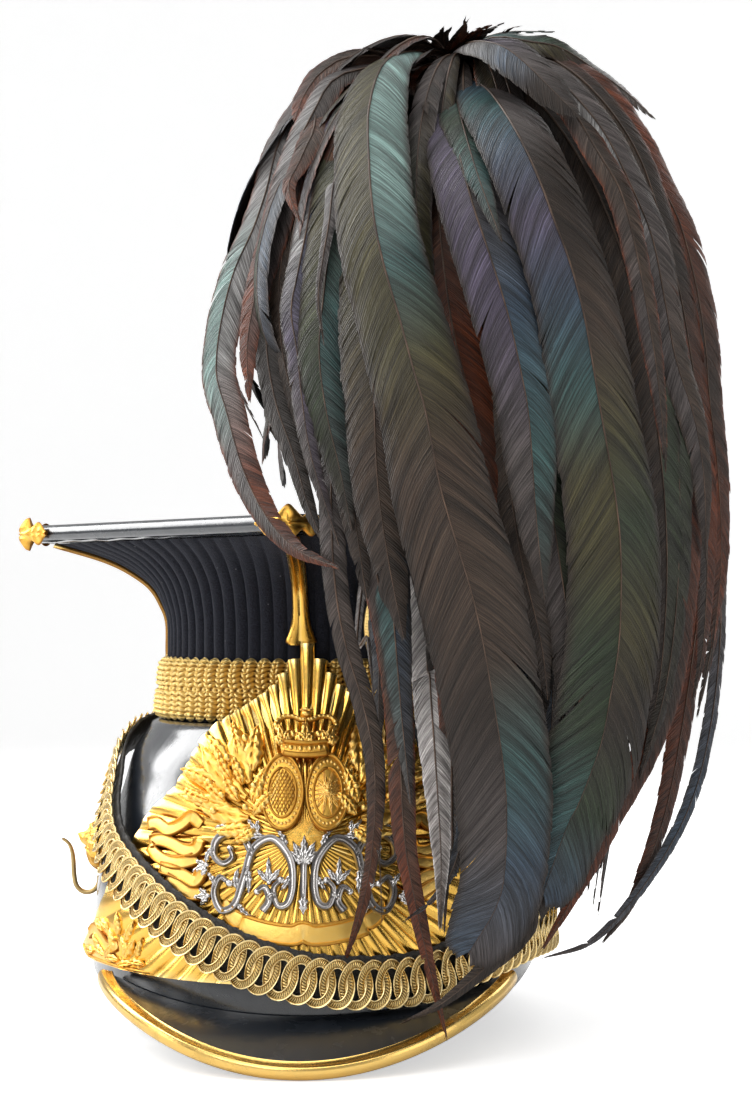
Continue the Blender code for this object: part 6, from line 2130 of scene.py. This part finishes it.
print("tints:", len(TINTS))

# %% [markdown]
# ### One feather
# A feather's quill is a smooth curve. Across it lies a frame: away from the plume's middle is its
# face, and the side is at right angles to that and to the quill. A barb strip starts on the quill and
# ends further along, at the vane's edge. The vane droops a little from the quill, and the strips are
# drawn together at their ends, some more than others, which frays the edge. Here and there the
# strips on both sides of a split part from each other, and the dark behind shows through.

# %% Feather from its quill's curve
# share of the length: share of the full half width
VANE_SHAPES = {
    "broad": [(0.0, 0.2), (0.06, 0.55), (0.13, 0.76), (0.35, 0.84), (0.6, 1.0), (0.8, 0.94),
              (0.92, 0.76), (0.97, 0.48), (1.0, 0.08)],
    "slim": [(0.0, 0.2), (0.08, 0.5), (0.25, 0.9), (0.5, 1.0), (0.75, 0.78), (0.9, 0.42),
             (1.0, 0.04)],
    "hackle": [(0.0, 0.3), (0.15, 0.85), (0.4, 1.0), (0.7, 0.6), (0.9, 0.25), (1.0, 0.03)],
}
BARB_STRIP = 2.7
BARB_COLUMNS = 6
STRIP_OVERLAP = 0.5
BARB_SWEEP = 1.25
BARE_ROOT = 22.0
SPLIT_WIDTH = 1.7
SPLIT_SPAN = 7.0
SPLIT_EVERY = 11.0
VANE_WAVE = 17.0
DROOP = 0.22
QUILL_SAMPLES = 160
QUILL_SIDES = 5
QUILL_PROUD = 0.35
QUILL_TAPER = 0.82
QUILL_GRAIN = 0.05
chance = np.random.default_rng(11)


def tint_rows(colours, share):
    """Colour at each share of the length, from names of tints set evenly along it."""
    values = np.array([TINTS[name] for name in colours.split()])
    places = np.linspace(0.0, 1.0, len(values))
    return np.stack([np.interp(share, places, values[:, k]) for k in range(3)], axis=-1)


def add_feather(heap, knots, half_width, left, right=None, shape="broad", edge="umber", lean=0.0,
                fray=0.15, uneven=0.0, quill_radius=0.5, root=BARE_ROOT, facing=0.0):
    """One feather along knots, points of its quill from the root to the tip.

    left and right name the tints of its sides; facing turns it towards the viewer."""
    right = left if right is None else right
    fine = smooth_route(knots, QUILL_SAMPLES)
    run = distance_along(fine)
    length = run[-1]
    tangent = unit(np.gradient(fine, run, axis=0))
    away = fine - head_axis
    away[:, 2] *= 0.25
    away = unit(away) * (1.0 - facing) + back * facing
    face = unit(unit(away) - tangent * (unit(away) * tangent).sum(axis=1, keepdims=True))
    side = np.cross(tangent, face)
    swing = np.radians(lean)
    face, side = (face * math.cos(swing) + side * math.sin(swing),
                  side * math.cos(swing) - face * math.sin(swing))

    def at(values, where):
        held = np.clip(where, 0.0, length)
        return np.stack([np.interp(held, run, values[:, k]) for k in range(3)], axis=-1)

    def on_quill(where):
        beyond = np.maximum(where - length, 0.0)
        return at(fine, where) + tangent[-1] * beyond[..., None]

    shape_places, shape_values = zip(*VANE_SHAPES[shape])
    strips = max(int(length / BARB_STRIP), 6)
    starts = np.linspace(0.02 * length, 0.995 * length, strips + 1)
    across = np.linspace(0.0, 1.0, BARB_COLUMNS)
    for hand, colours in ((1.0, left), (-1.0, right)):
        near, far = starts[:-1], starts[1:]
        middle = (near + far) / 2
        jitter = 1.0 + fray * 0.10 * chance.standard_normal(strips)
        drawn = 0.02 + 0.5 * fray * chance.random(strips) ** 3
        lift = 0.30 * chance.standard_normal(strips) * (0.3 + fray)
        slip = fray * 0.8 * chance.standard_normal(strips)
        parting = np.zeros(strips)
        for _ in range(int(fray * length / SPLIT_EVERY)):
            away_from = middle - length * (0.15 + 0.85 * chance.random())
            gape = SPLIT_WIDTH * (0.3 + 1.2 * chance.random())
            parting += gape * np.sign(away_from) * np.exp(-np.abs(away_from) / SPLIT_SPAN)
        rows = []
        places = []
        tints = []
        for begin in (near, far):
            reach = (np.interp(begin / length, shape_places, shape_values) * half_width
                     * jitter * (0.12 + 0.88 * eased(begin / root)))
            along = (begin[:, None] + BARB_SWEEP * reach[:, None] * across[None, :] ** 1.1
                     + (middle - begin)[:, None] * drawn[:, None] * across[None, :] ** 3
                     + (begin - middle)[:, None] * STRIP_OVERLAP * across[None, :]
                     + slip[:, None] * across[None, :] ** 2
                     + parting[:, None] * across[None, :] ** 1.6)
            bow = across * (1.0 - 0.12 * across * across)
            lateral = hand * reach[:, None] * bow[None, :]
            fall = (-DROOP * reach[:, None] * across[None, :] ** 1.8
                    + lift[:, None] * across[None, :] ** 2
                    + uneven * reach[:, None] * across[None, :]
                    * np.sin(begin / VANE_WAVE + hand)[:, None])
            rows.append(on_quill(along) + at(side, along) * lateral[..., None]
                        + at(face, along) * fall[..., None])
            places.append(paired(begin[:, None] + 0.25 * across[None, :],
                                 hand * (0.02 + across)[None, :]))
            inner = tint_rows(colours, along / length)
            tints.append(inner + (np.array(TINTS[edge]) - inner) * (across ** 7)[None, :, None])
        points = np.stack(rows, axis=1)
        uv = np.stack(places, axis=1) + chance.random() * 40.0 * np.array([1.0, 0.0])
        first = np.arange(strips)[:, None, None] * 2 * BARB_COLUMNS
        quads = grid_faces(2, BARB_COLUMNS)[None, :, :] + first
        heap.add(points, quads.reshape(-1, 4), uv, tint=np.stack(tints, axis=1).reshape(-1, 3))
    turns = np.linspace(0.0, math.tau, QUILL_SIDES, endpoint=False)
    picks = np.linspace(0, len(fine) - 1, max(int(length / 6.0), 8)).astype(int)
    radius = quill_radius * (1.0 - QUILL_TAPER * picks / (len(fine) - 1))
    middles = fine[picks] + face[picks] * (radius * QUILL_PROUD)[:, None]
    rings = round_rings(middles, side[picks], face[picks], radius, turns)
    quill_uv = paired(run[picks][:, None] * QUILL_GRAIN, np.zeros((1, QUILL_SIDES)))
    add_rings(heap, rings, caps=False, uv=quill_uv, tint=np.array(TINTS["quill"]))


# %% [markdown]
# ### The feathers that the picture shows
# The front of the plume is a few big feathers that overlap, and many narrow ones beside and between
# them. Each row is one feather: tints of its left and right vane from root to tip, its half width,
# its layer on the dome, its shape and edge, and its quill's places in the picture. A feather starts
# at the knot on top, and so does one whose row begins further out: the first stretch is added. The
# feathers are also turned partly towards the viewer, so that none is seen edge-on.

# %% Big feathers of the front
BIG_FEATHERS = [
    ("umber olive olive olive olive brown brown umber grey blue",
     "umber silver silver silver teal olive brown brown brown teal blue grey", 19.5, 1.05, "broad",
     "umber", [(414, 48), (384, 60), (369, 105), (369, 157), (373, 209), (383, 260), (401, 322),
               (414, 370), (426, 412), (439, 480), (450, 521), (475, 605), (492, 692), (505, 780),
               (506, 850), (498, 902), (466, 956)]),
    ("brown violet violet violet grey umber", "umber blue grey blue teal umber", 13.5, 0.985,
     "slim", "umber", [(441, 86), (453, 118), (461, 157), (474, 204), (487, 243), (500, 283),
                       (511, 322), (522, 372), (530, 420), (537, 520), (545, 600)]),
    ("brown blue teal blue violet blue teal olive olive green green teal blue",
     "umber grey grey umber umber brown olive green olive umber green blue", 20.5, 1.02, "broad",
     "umber", [(482, 81), (503, 105), (524, 141), (542, 181), (555, 217), (568, 251), (579, 288),
               (588, 327), (600, 400), (617, 500), (622, 563), (620, 640), (611, 696), (601, 745),
               (580, 801), (566, 829), (541, 898)]),
]

# %% Narrower feathers beside, between and behind the big ones
SEEN_FEATHERS = [
    # left, from the outside in
    ("russet grey grey pale silver silver grey umber russet", "brown grey pale pale russet umber",
     8.6, 1.0, "slim", "russet", [(332, 62), (302, 98), (278, 142), (266, 189), (252, 230),
                                  (234, 270), (221, 321), (216, 372), (226, 410), (240, 461),
                                  (257, 501), (277, 531), (302, 553), (339, 568)]),
    ("brown grey pale grey russet russet", "brown umber grey grey russet", 7.5, 0.98, "slim",
     "russet", [(345, 70), (312, 112), (290, 165), (272, 230), (256, 290), (247, 345), (249, 402)]),
    ("russet brown umber russet", "russet brown russet", 6.5, 1.02, "slim", "russet",
     [(360, 52), (325, 66), (305, 90), (294, 118)]),
    ("russet russet brown russet", None, 7.5, 1.0, "hackle", "russet",
     [(330, 100), (312, 132), (298, 162), (288, 186), (299, 220)]),
    ("umber violet violet pale violet grey umber", "umber blue violet umber", 5.6, 0.99, "slim",
     "umber", [(345, 105), (318, 170), (306, 230), (297, 275), (291, 310), (297, 352), (302, 400),
               (312, 460), (339, 546)]),
    ("umber grey pale grey umber", None, 4.0, 1.01, "hackle", "pale",
     [(350, 120), (334, 180), (329, 220), (322, 262), (318, 300), (324, 345)]),
    ("umber black umber", None, 6.5, 0.93, "slim", "umber",
     [(335, 112), (292, 195), (272, 280), (266, 340), (275, 400), (292, 450), (310, 511), (329, 553)]),
    ("umber black brown black", "umber brown umber", 7.5, 0.9, "slim", "russet",
     [(345, 110), (300, 190), (280, 270), (282, 350), (300, 420), (318, 480)]),
    ("umber green olive green umber", "olive olive teal umber", 10.5, 0.97, "slim", "umber",
     [(360, 95), (340, 160), (331, 230), (324, 290), (319, 350), (326, 410), (340, 470), (352, 530)]),
    # between the left ones and the big front feather
    ("umber olive olive brown umber", "brown olive grey brown umber", 13.0, 1.0, "slim", "umber",
     [(385, 150), (372, 250), (371, 330), (374, 399), (377, 474), (383, 526), (392, 580),
      (404, 640)]),
    ("brown umber brown umber", "brown grey brown umber", 10.0, 0.95, "slim", "umber",
     [(375, 200), (352, 300), (345, 400), (350, 480), (358, 540), (367, 600)]),
    ("umber brown grey brown russet", None, 5.2, 0.96, "slim", "umber",
     [(360, 250), (343, 380), (332, 470), (332, 540), (337, 600), (347, 650), (362, 700), (374, 760),
      (374, 830), (363, 902), (338, 979)]),
    ("umber brown blue grey brown russet russet", "umber brown grey brown russet", 6.5, 0.93, "slim",
     "russet", [(375, 250), (362, 400), (364, 500), (376, 570), (390, 640), (399, 720), (402, 800),
                (406, 850), (415, 900), (428, 960), (447, 1039)]),
    ("umber brown blue teal grey", "umber brown blue umber", 8.4, 0.96, "slim", "umber",
     [(390, 350), (388, 480), (392, 590), (397, 660), (402, 720), (411, 806)]),
    ("umber umber brown umber", "umber russet umber", 10.0, 0.93, "slim", "umber",
     [(410, 350), (415, 480), (428, 560), (436, 620), (444, 670), (452, 715)]),
    ("umber brown russet umber", None, 7.0, 0.9, "slim", "russet",
     [(420, 350), (425, 500), (438, 600), (447, 700), (443, 800)]),
    # behind the big front feather and between it and the one on the right
    ("umber brown russet umber", None, 12.0, 0.92, "slim", "russet",
     [(436, 110), (440, 220), (452, 320), (470, 400), (480, 480), (490, 560)]),
    ("umber brown brown umber", "umber olive brown umber", 11.5, 0.92, "slim", "umber",
     [(460, 150), (490, 280), (503, 380), (508, 460), (520, 550), (541, 640), (548, 700)]),
    ("umber olive olive grey umber", "umber olive green umber", 12.5, 0.94, "slim", "umber",
     [(470, 140), (510, 270), (533, 380), (546, 470), (560, 560), (569, 640), (562, 730)]),
    ("umber teal green teal umber", None, 8.5, 1.01, "hackle", "umber",
     [(455, 90), (463, 120), (476, 165), (490, 205), (503, 240)]),
    ("umber black umber", None, 12.0, 0.88, "slim", "umber",
     [(500, 180), (540, 330), (560, 480), (545, 620), (540, 740)]),
    # white ones low in the middle
    ("white white white white brown", "grey white white white brown", 8.6, (0.9, 0.93, 0.97, 0.97),
     "slim", "white", [(428, 600), (430, 680), (434, 740), (438, 800), (441, 860), (440, 930)]),
    ("brown white brown", None, 4.6, (0.92, 0.965), "slim", "brown",
     [(452, 800), (449, 850), (446, 890), (444, 934)]),
    ("grey white grey", None, 2.4, 0.92, "slim", "grey", [(362, 590), (368, 640), (374, 700)]),
    ("brown white pale", None, 1.0, 0.96, "slim", "white", [(372, 790), (379, 850), (382, 922)]),
    # tips that curl forward at the foot
    ("umber umber umber blue umber", "umber umber umber grey umber", 5.6, (0.8, 0.86, 0.93, 1.0),
     "slim", "blue", [(480, 640), (473, 720), (468, 790), (460, 845), (447, 880), (428, 903),
                      (405, 919)]),
    ("umber umber brown umber brown", "umber umber grey umber umber", 7.6, (0.8, 0.9, 1.0, 1.03),
     "slim", "umber", [(530, 660), (545, 740), (552, 820), (545, 885), (520, 935), (484, 968),
                       (440, 1003), (401, 1021)]),
    # right, from the inside out
    ("umber grey brown grey umber", "umber umber brown umber", 6.0, 1.0, "slim", "russet",
     [(520, 68), (563, 92), (602, 152), (624, 192), (640, 257), (653, 331), (661, 389), (668, 470)]),
    ("umber grey pale grey grey umber", "umber grey grey brown umber", 9.0, 0.99, "slim", "brown",
     [(500, 44), (545, 62), (575, 90), (607, 130), (636, 189), (655, 237), (668, 304), (678, 358),
      (697, 419), (706, 480), (708, 560)]),
    ("umber brown grey umber", "russet umber umber russet umber", 8.5, 0.96, "slim", "russet",
     [(510, 42), (560, 58), (604, 96), (640, 150), (664, 220), (682, 290), (694, 360), (704, 440),
      (709, 540), (705, 640), (694, 700)]),
    ("umber russet russet umber russet umber", "umber russet umber russet", 9.5, 0.99, "slim",
     "russet", [(530, 42), (585, 68), (616, 98), (642, 137), (664, 182), (684, 225), (700, 290),
                (708, 345), (712, 400), (720, 470), (723, 560), (714, 650)]),
    ("green green olive umber brown brown", "green teal green umber russet", 6.0, 1.04, "slim",
     "brown", [(490, 34), (530, 37), (562, 43), (596, 64), (629, 88), (658, 115)]),
    ("umber grey pale blue umber umber", "umber violet grey umber", 10.0, 1.02, "slim", "umber",
     [(462, 42), (482, 37), (506, 43), (530, 62), (556, 88), (580, 112)]),
    ("umber umber brown umber umber", "umber umber green umber", 12.0, 0.93, "slim", "umber",
     [(520, 80), (590, 170), (635, 290), (658, 420), (668, 540), (664, 650), (650, 740)]),
    ("umber brown umber russet russet", "umber umber russet umber russet", 8.5, 0.93, "slim",
     "russet", [(520, 70), (610, 150), (660, 270), (684, 400), (690, 500), (685, 590), (672, 680),
                (648, 750), (615, 815), (580, 885), (541, 951)]),
    ("umber umber russet umber", "umber russet umber", 8.0, 0.9, "slim", "russet",
     [(540, 70), (640, 190), (688, 340), (704, 480), (700, 600), (684, 720), (664, 818), (632, 902),
      (601, 944)]),
    ("umber grey umber grey blue grey", None, 4.6, 0.95, "slim", "grey",
     [(560, 60), (650, 160), (698, 300), (716, 430), (723, 560), (718, 680), (697, 787), (657, 867),
      (597, 937), (541, 958)]),
    ("umber umber russet brown umber", None, 5.6, 0.97, "slim", "russet",
     [(580, 66), (660, 160), (702, 290), (720, 420), (726, 520), (720, 605), (706, 680), (698, 718)]),
    ("umber green umber", None, 8.0, 0.94, "slim", "umber",
     [(590, 160), (640, 280), (676, 420), (680, 560), (668, 680), (640, 780)]),
]

# %% Ragged tips round the knot
TOP_TIPS = [
    ("brown umber black", 2.6, [(420, 52), (412, 44), (409, 36)]),
    ("black umber black", 2.2, [(428, 50), (421, 40), (419, 31)]),
    ("russet brown umber", 3.0, [(438, 48), (437, 34), (444, 24)]),
    ("brown umber black", 2.4, [(446, 46), (444, 32), (452, 23)]),
    ("russet brown black", 2.6, [(450, 46), (457, 30), (470, 14)]),
    ("brown russet brown", 3.2, [(456, 44), (463, 28), (466, 17)]),
    ("brown russet russet", 4.2, [(462, 42), (478, 26), (493, 20)]),
    ("brown grey brown", 4.2, [(466, 42), (486, 26), (505, 19)]),
    ("green teal green", 2.6, [(480, 36), (511, 27), (556, 27)]),
    ("umber green umber", 2.6, [(484, 40), (520, 33), (548, 30)]),
    ("umber black umber", 2.0, [(410, 52), (385, 45), (352, 46)]),
    ("russet brown umber", 2.6, [(405, 54), (378, 48), (364, 44)]),
    ("grey pale grey", 0.8, [(410, 50), (400, 43), (391, 37)]),
    ("umber russet umber", 3.4, [(425, 62), (412, 72), (414, 92)]),
    ("umber brown umber", 3.6, [(432, 64), (424, 82), (428, 112)]),
    ("brown umber black", 4.0, [(446, 62), (450, 76), (447, 96)]),
]


def place_feather(heap, quill, layer, **settings):
    """Feather of a table, its quill read through the pixels on the plume's dome."""
    places = np.vstack([KNOT_PIXEL, quill])
    spread = np.linalg.norm(places - KNOT_PIXEL, axis=1)
    drawn = 0.12 + 0.88 * eased(spread / ROOT_SPREAD)
    layers = spread_over(layer, np.linspace(0.0, 1.0, len(places)))
    nearness = np.array([dome_nearness(x, y, depth * share)
                         for (x, y), depth, share in zip(places, layers, drawn)])
    for _ in range(4):
        nearness[1:-1] = (nearness[:-2] + 2.0 * nearness[1:-1] + nearness[2:]) / 4.0
    knots = [seen_point(x, y, near) for (x, y), near in zip(places, nearness)]
    add_feather(heap, knots, **settings)


front_heap = Heap()
seen_heap = Heap()
# (heap, table, how far its feathers turn towards the viewer, how frayed they are)
FEATHER_TABLES = [(front_heap, BIG_FEATHERS, 0.25, 0.12), (seen_heap, SEEN_FEATHERS, 0.55, 0.2)]
for heap, table, facing, fray in FEATHER_TABLES:
    for left, right, half_width, layer, shape, edge, quill in table:
        place_feather(heap, quill, layer, half_width=half_width, left=left, right=right,
                      shape=shape, edge=edge, facing=facing, fray=fray)
for colours, half_width, quill in TOP_TIPS:
    place_feather(seen_heap, quill, 1.02, half_width=half_width, left=colours, shape="hackle",
                  root=5.0, quill_radius=0.4, fray=0.5)

# %% [markdown]
# ### The rest of the plume
# Behind the feathers of the tables hang many more, all round the head and down to different lengths.
# They follow the layers of the plume: each rises, turns over at the shoulder and falls, and its
# bearing, length and tint are drawn by chance from a fixed seed.

# %% Feathers all round the head
# name: (height of the root, rise, reach and height of the shoulder, number, half width)
LAYERS = {
    "outer": (333.0, 388.0, 140.0, 262.0, 34, 8.5),
    "middle": (313.0, 362.0, 122.0, 236.0, 30, 10.0),
    "inner": (294.0, 338.0, 98.0, 212.0, 18, 10.0),
}
# (bearing from straight out, height of the longest tips there, reach of the tips)
TIP_ROUND = [(-180.0, 184.0, 78.0), (-137.0, 188.0, 82.0), (-113.0, 176.0, 88.0),
             (-88.0, 80.0, 66.0), (-62.0, 40.0, 64.0), (-37.0, 24.0, 64.0), (-12.0, 30.0, 64.0),
             (13.0, 30.0, 66.0), (39.0, 30.0, 70.0), (55.0, 90.0, 80.0), (70.0, 176.0, 90.0),
             (90.0, 182.0, 90.0), (108.0, 184.0, 90.0), (127.0, 188.0, 84.0), (180.0, 184.0, 78.0)]
TIP_BEARINGS, TIP_HEIGHTS, TIP_REACHES = zip(*TIP_ROUND)
# Share of a layer's reach, and how much less of it where the feathers of the tables hang
FILL_REACH = 0.92
HELD_IN_FRONT = 0.22
HELD_IN_LEFT = 0.17
VIEWER_SPREAD = 62.0
LEFT_BEARING = -70.0
LEFT_SPREAD = 60.0
FALL_KNOTS = 9
# How much chance changes the tip's height, its bearing and the rise of a feather, in mm and degrees
TIP_SCATTER = 70.0
BEARING_SCATTER = 14.0
RISE_SCATTER = 7.0
FILL_TINTS = ["brown", "umber", "black", "green", "blue", "olive", "grey", "umber", "russet"]


def falling_knots(layer, bearing, shorten, wander, lift):
    """Points of a quill that rises from the head, turns over and falls."""
    root, rise, shoulder_reach, shoulder, _, _ = LAYERS[layer]
    tip_height = float(np.interp(bearing, TIP_BEARINGS, TIP_HEIGHTS)) + shorten
    tip_reach = float(np.interp(bearing, TIP_BEARINGS, TIP_REACHES))
    tip_height = min(tip_height, shoulder - 30.0) if abs(bearing) < 100.0 else tip_height
    towards_viewer = math.exp(-((bearing - PLUME_SIDE_ANGLE) / VIEWER_SPREAD) ** 2)
    leftward = math.exp(-((bearing - LEFT_BEARING) / LEFT_SPREAD) ** 2)
    held_in = FILL_REACH - HELD_IN_FRONT * towards_viewer - HELD_IN_LEFT * leftward
    t = np.linspace(0.0, 1.0, FALL_KNOTS)[:, None]
    knots = np.array([(5.5, root), (26.0, rise + lift - 26.0 * towards_viewer),
                      (shoulder_reach * held_in, shoulder), (tip_reach * held_in, tip_height)])
    weights = np.hstack([(1 - t) ** 3, 3 * t * (1 - t) ** 2, 3 * t * t * (1 - t), t ** 3])
    out, up = (weights @ knots).T
    bearings = bearing + wander * t[:, 0] ** 2
    return head_axis + direction(PLUME_SIDE_ANGLE - bearings) * out[:, None] + upward * up[:, None]


fill_heaps = {"front": Heap(), "left": Heap(), "right": Heap(), "back": Heap()}
for layer, (_, _, _, _, number, half_width) in LAYERS.items():
    for i in range(number):
        bearing = (360.0 * (i + 0.9 * chance.random()) / number + 180.0) % 360.0 - 180.0
        knots = falling_knots(layer, bearing, TIP_SCATTER * chance.random() ** 1.6,
                              BEARING_SCATTER * chance.standard_normal(),
                              RISE_SCATTER * chance.standard_normal())
        side_name = ("front" if abs(bearing) < 50.0 else "back" if abs(bearing) > 125.0
                     else "right" if bearing > 0.0 else "left")
        tints = [" ".join(["umber", *chance.choice(FILL_TINTS, 2), "umber"]) for _ in range(2)]
        add_feather(fill_heaps[side_name], knots, half_width * (0.55 + 0.6 * chance.random()),
                    tints[0], tints[1], shape=str(chance.choice(["broad", "slim", "slim"])),
                    edge=str(chance.choice(["umber", "russet", "grey"])),
                    lean=14.0 * chance.standard_normal(), fray=0.22,
                    uneven=0.07 * chance.standard_normal())

# %% Tuft and wound knot on top of the head
KNOT_HEIGHT = 322.0
KNOT_TALL = 17.0
KNOT_RADIUS = 6.0
KNOT_THREADS = 13.0
KNOT_THREAD_DEPTH = 0.3
KNOT_COLUMNS = 24
TUFT_FEATHERS = 26
for _ in range(TUFT_FEATHERS):
    bearing = 360.0 * chance.random()
    out = 8.0 + 20.0 * chance.random()
    rise = 9.0 * chance.random()
    tuft = [(2.0, 328.0), (2.0 + 0.35 * out, 338.0), (2.0 + 0.75 * out, 341.0 + 0.6 * rise),
            (3.0 + out, 338.0 + rise)]
    knots = [head_axis + direction(bearing) * reach + upward * height for reach, height in tuft]
    add_feather(seen_heap, knots, 1.5 + 2.2 * chance.random(),
                str(chance.choice(["umber black", "brown umber", "russet brown", "russet umber"])),
                shape="hackle", root=4.0, quill_radius=0.35, fray=0.5)
front_heap.piece("plume_big_feathers", [feather_gloss], ["plume"], "feather")
seen_heap.piece("plume_narrow_feathers", [feather_gloss], ["plume"], "feather")
for side_name, heap in fill_heaps.items():
    heap.piece("plume_feathers_" + side_name, [feather_gloss], ["plume"], "feather")

knot_turns = 360.0 / KNOT_COLUMNS * np.arange(KNOT_COLUMNS)
knot_rings = []
for climb in np.linspace(0.0, 1.0, 40):
    thread = KNOT_THREAD_DEPTH * math.cos(climb * math.tau * KNOT_THREADS)
    radius = KNOT_RADIUS * math.sin(math.pi * (0.12 + 0.76 * climb)) ** 0.6 + thread
    knot_rings.append(head_axis + upward * (KNOT_HEIGHT + KNOT_TALL * climb)
                      + direction(knot_turns) * radius)
knot_heap = Heap()
add_rings(knot_heap, knot_rings)
knot_heap.piece("plume_knot", [strap_leather], ["plume"], "feather")
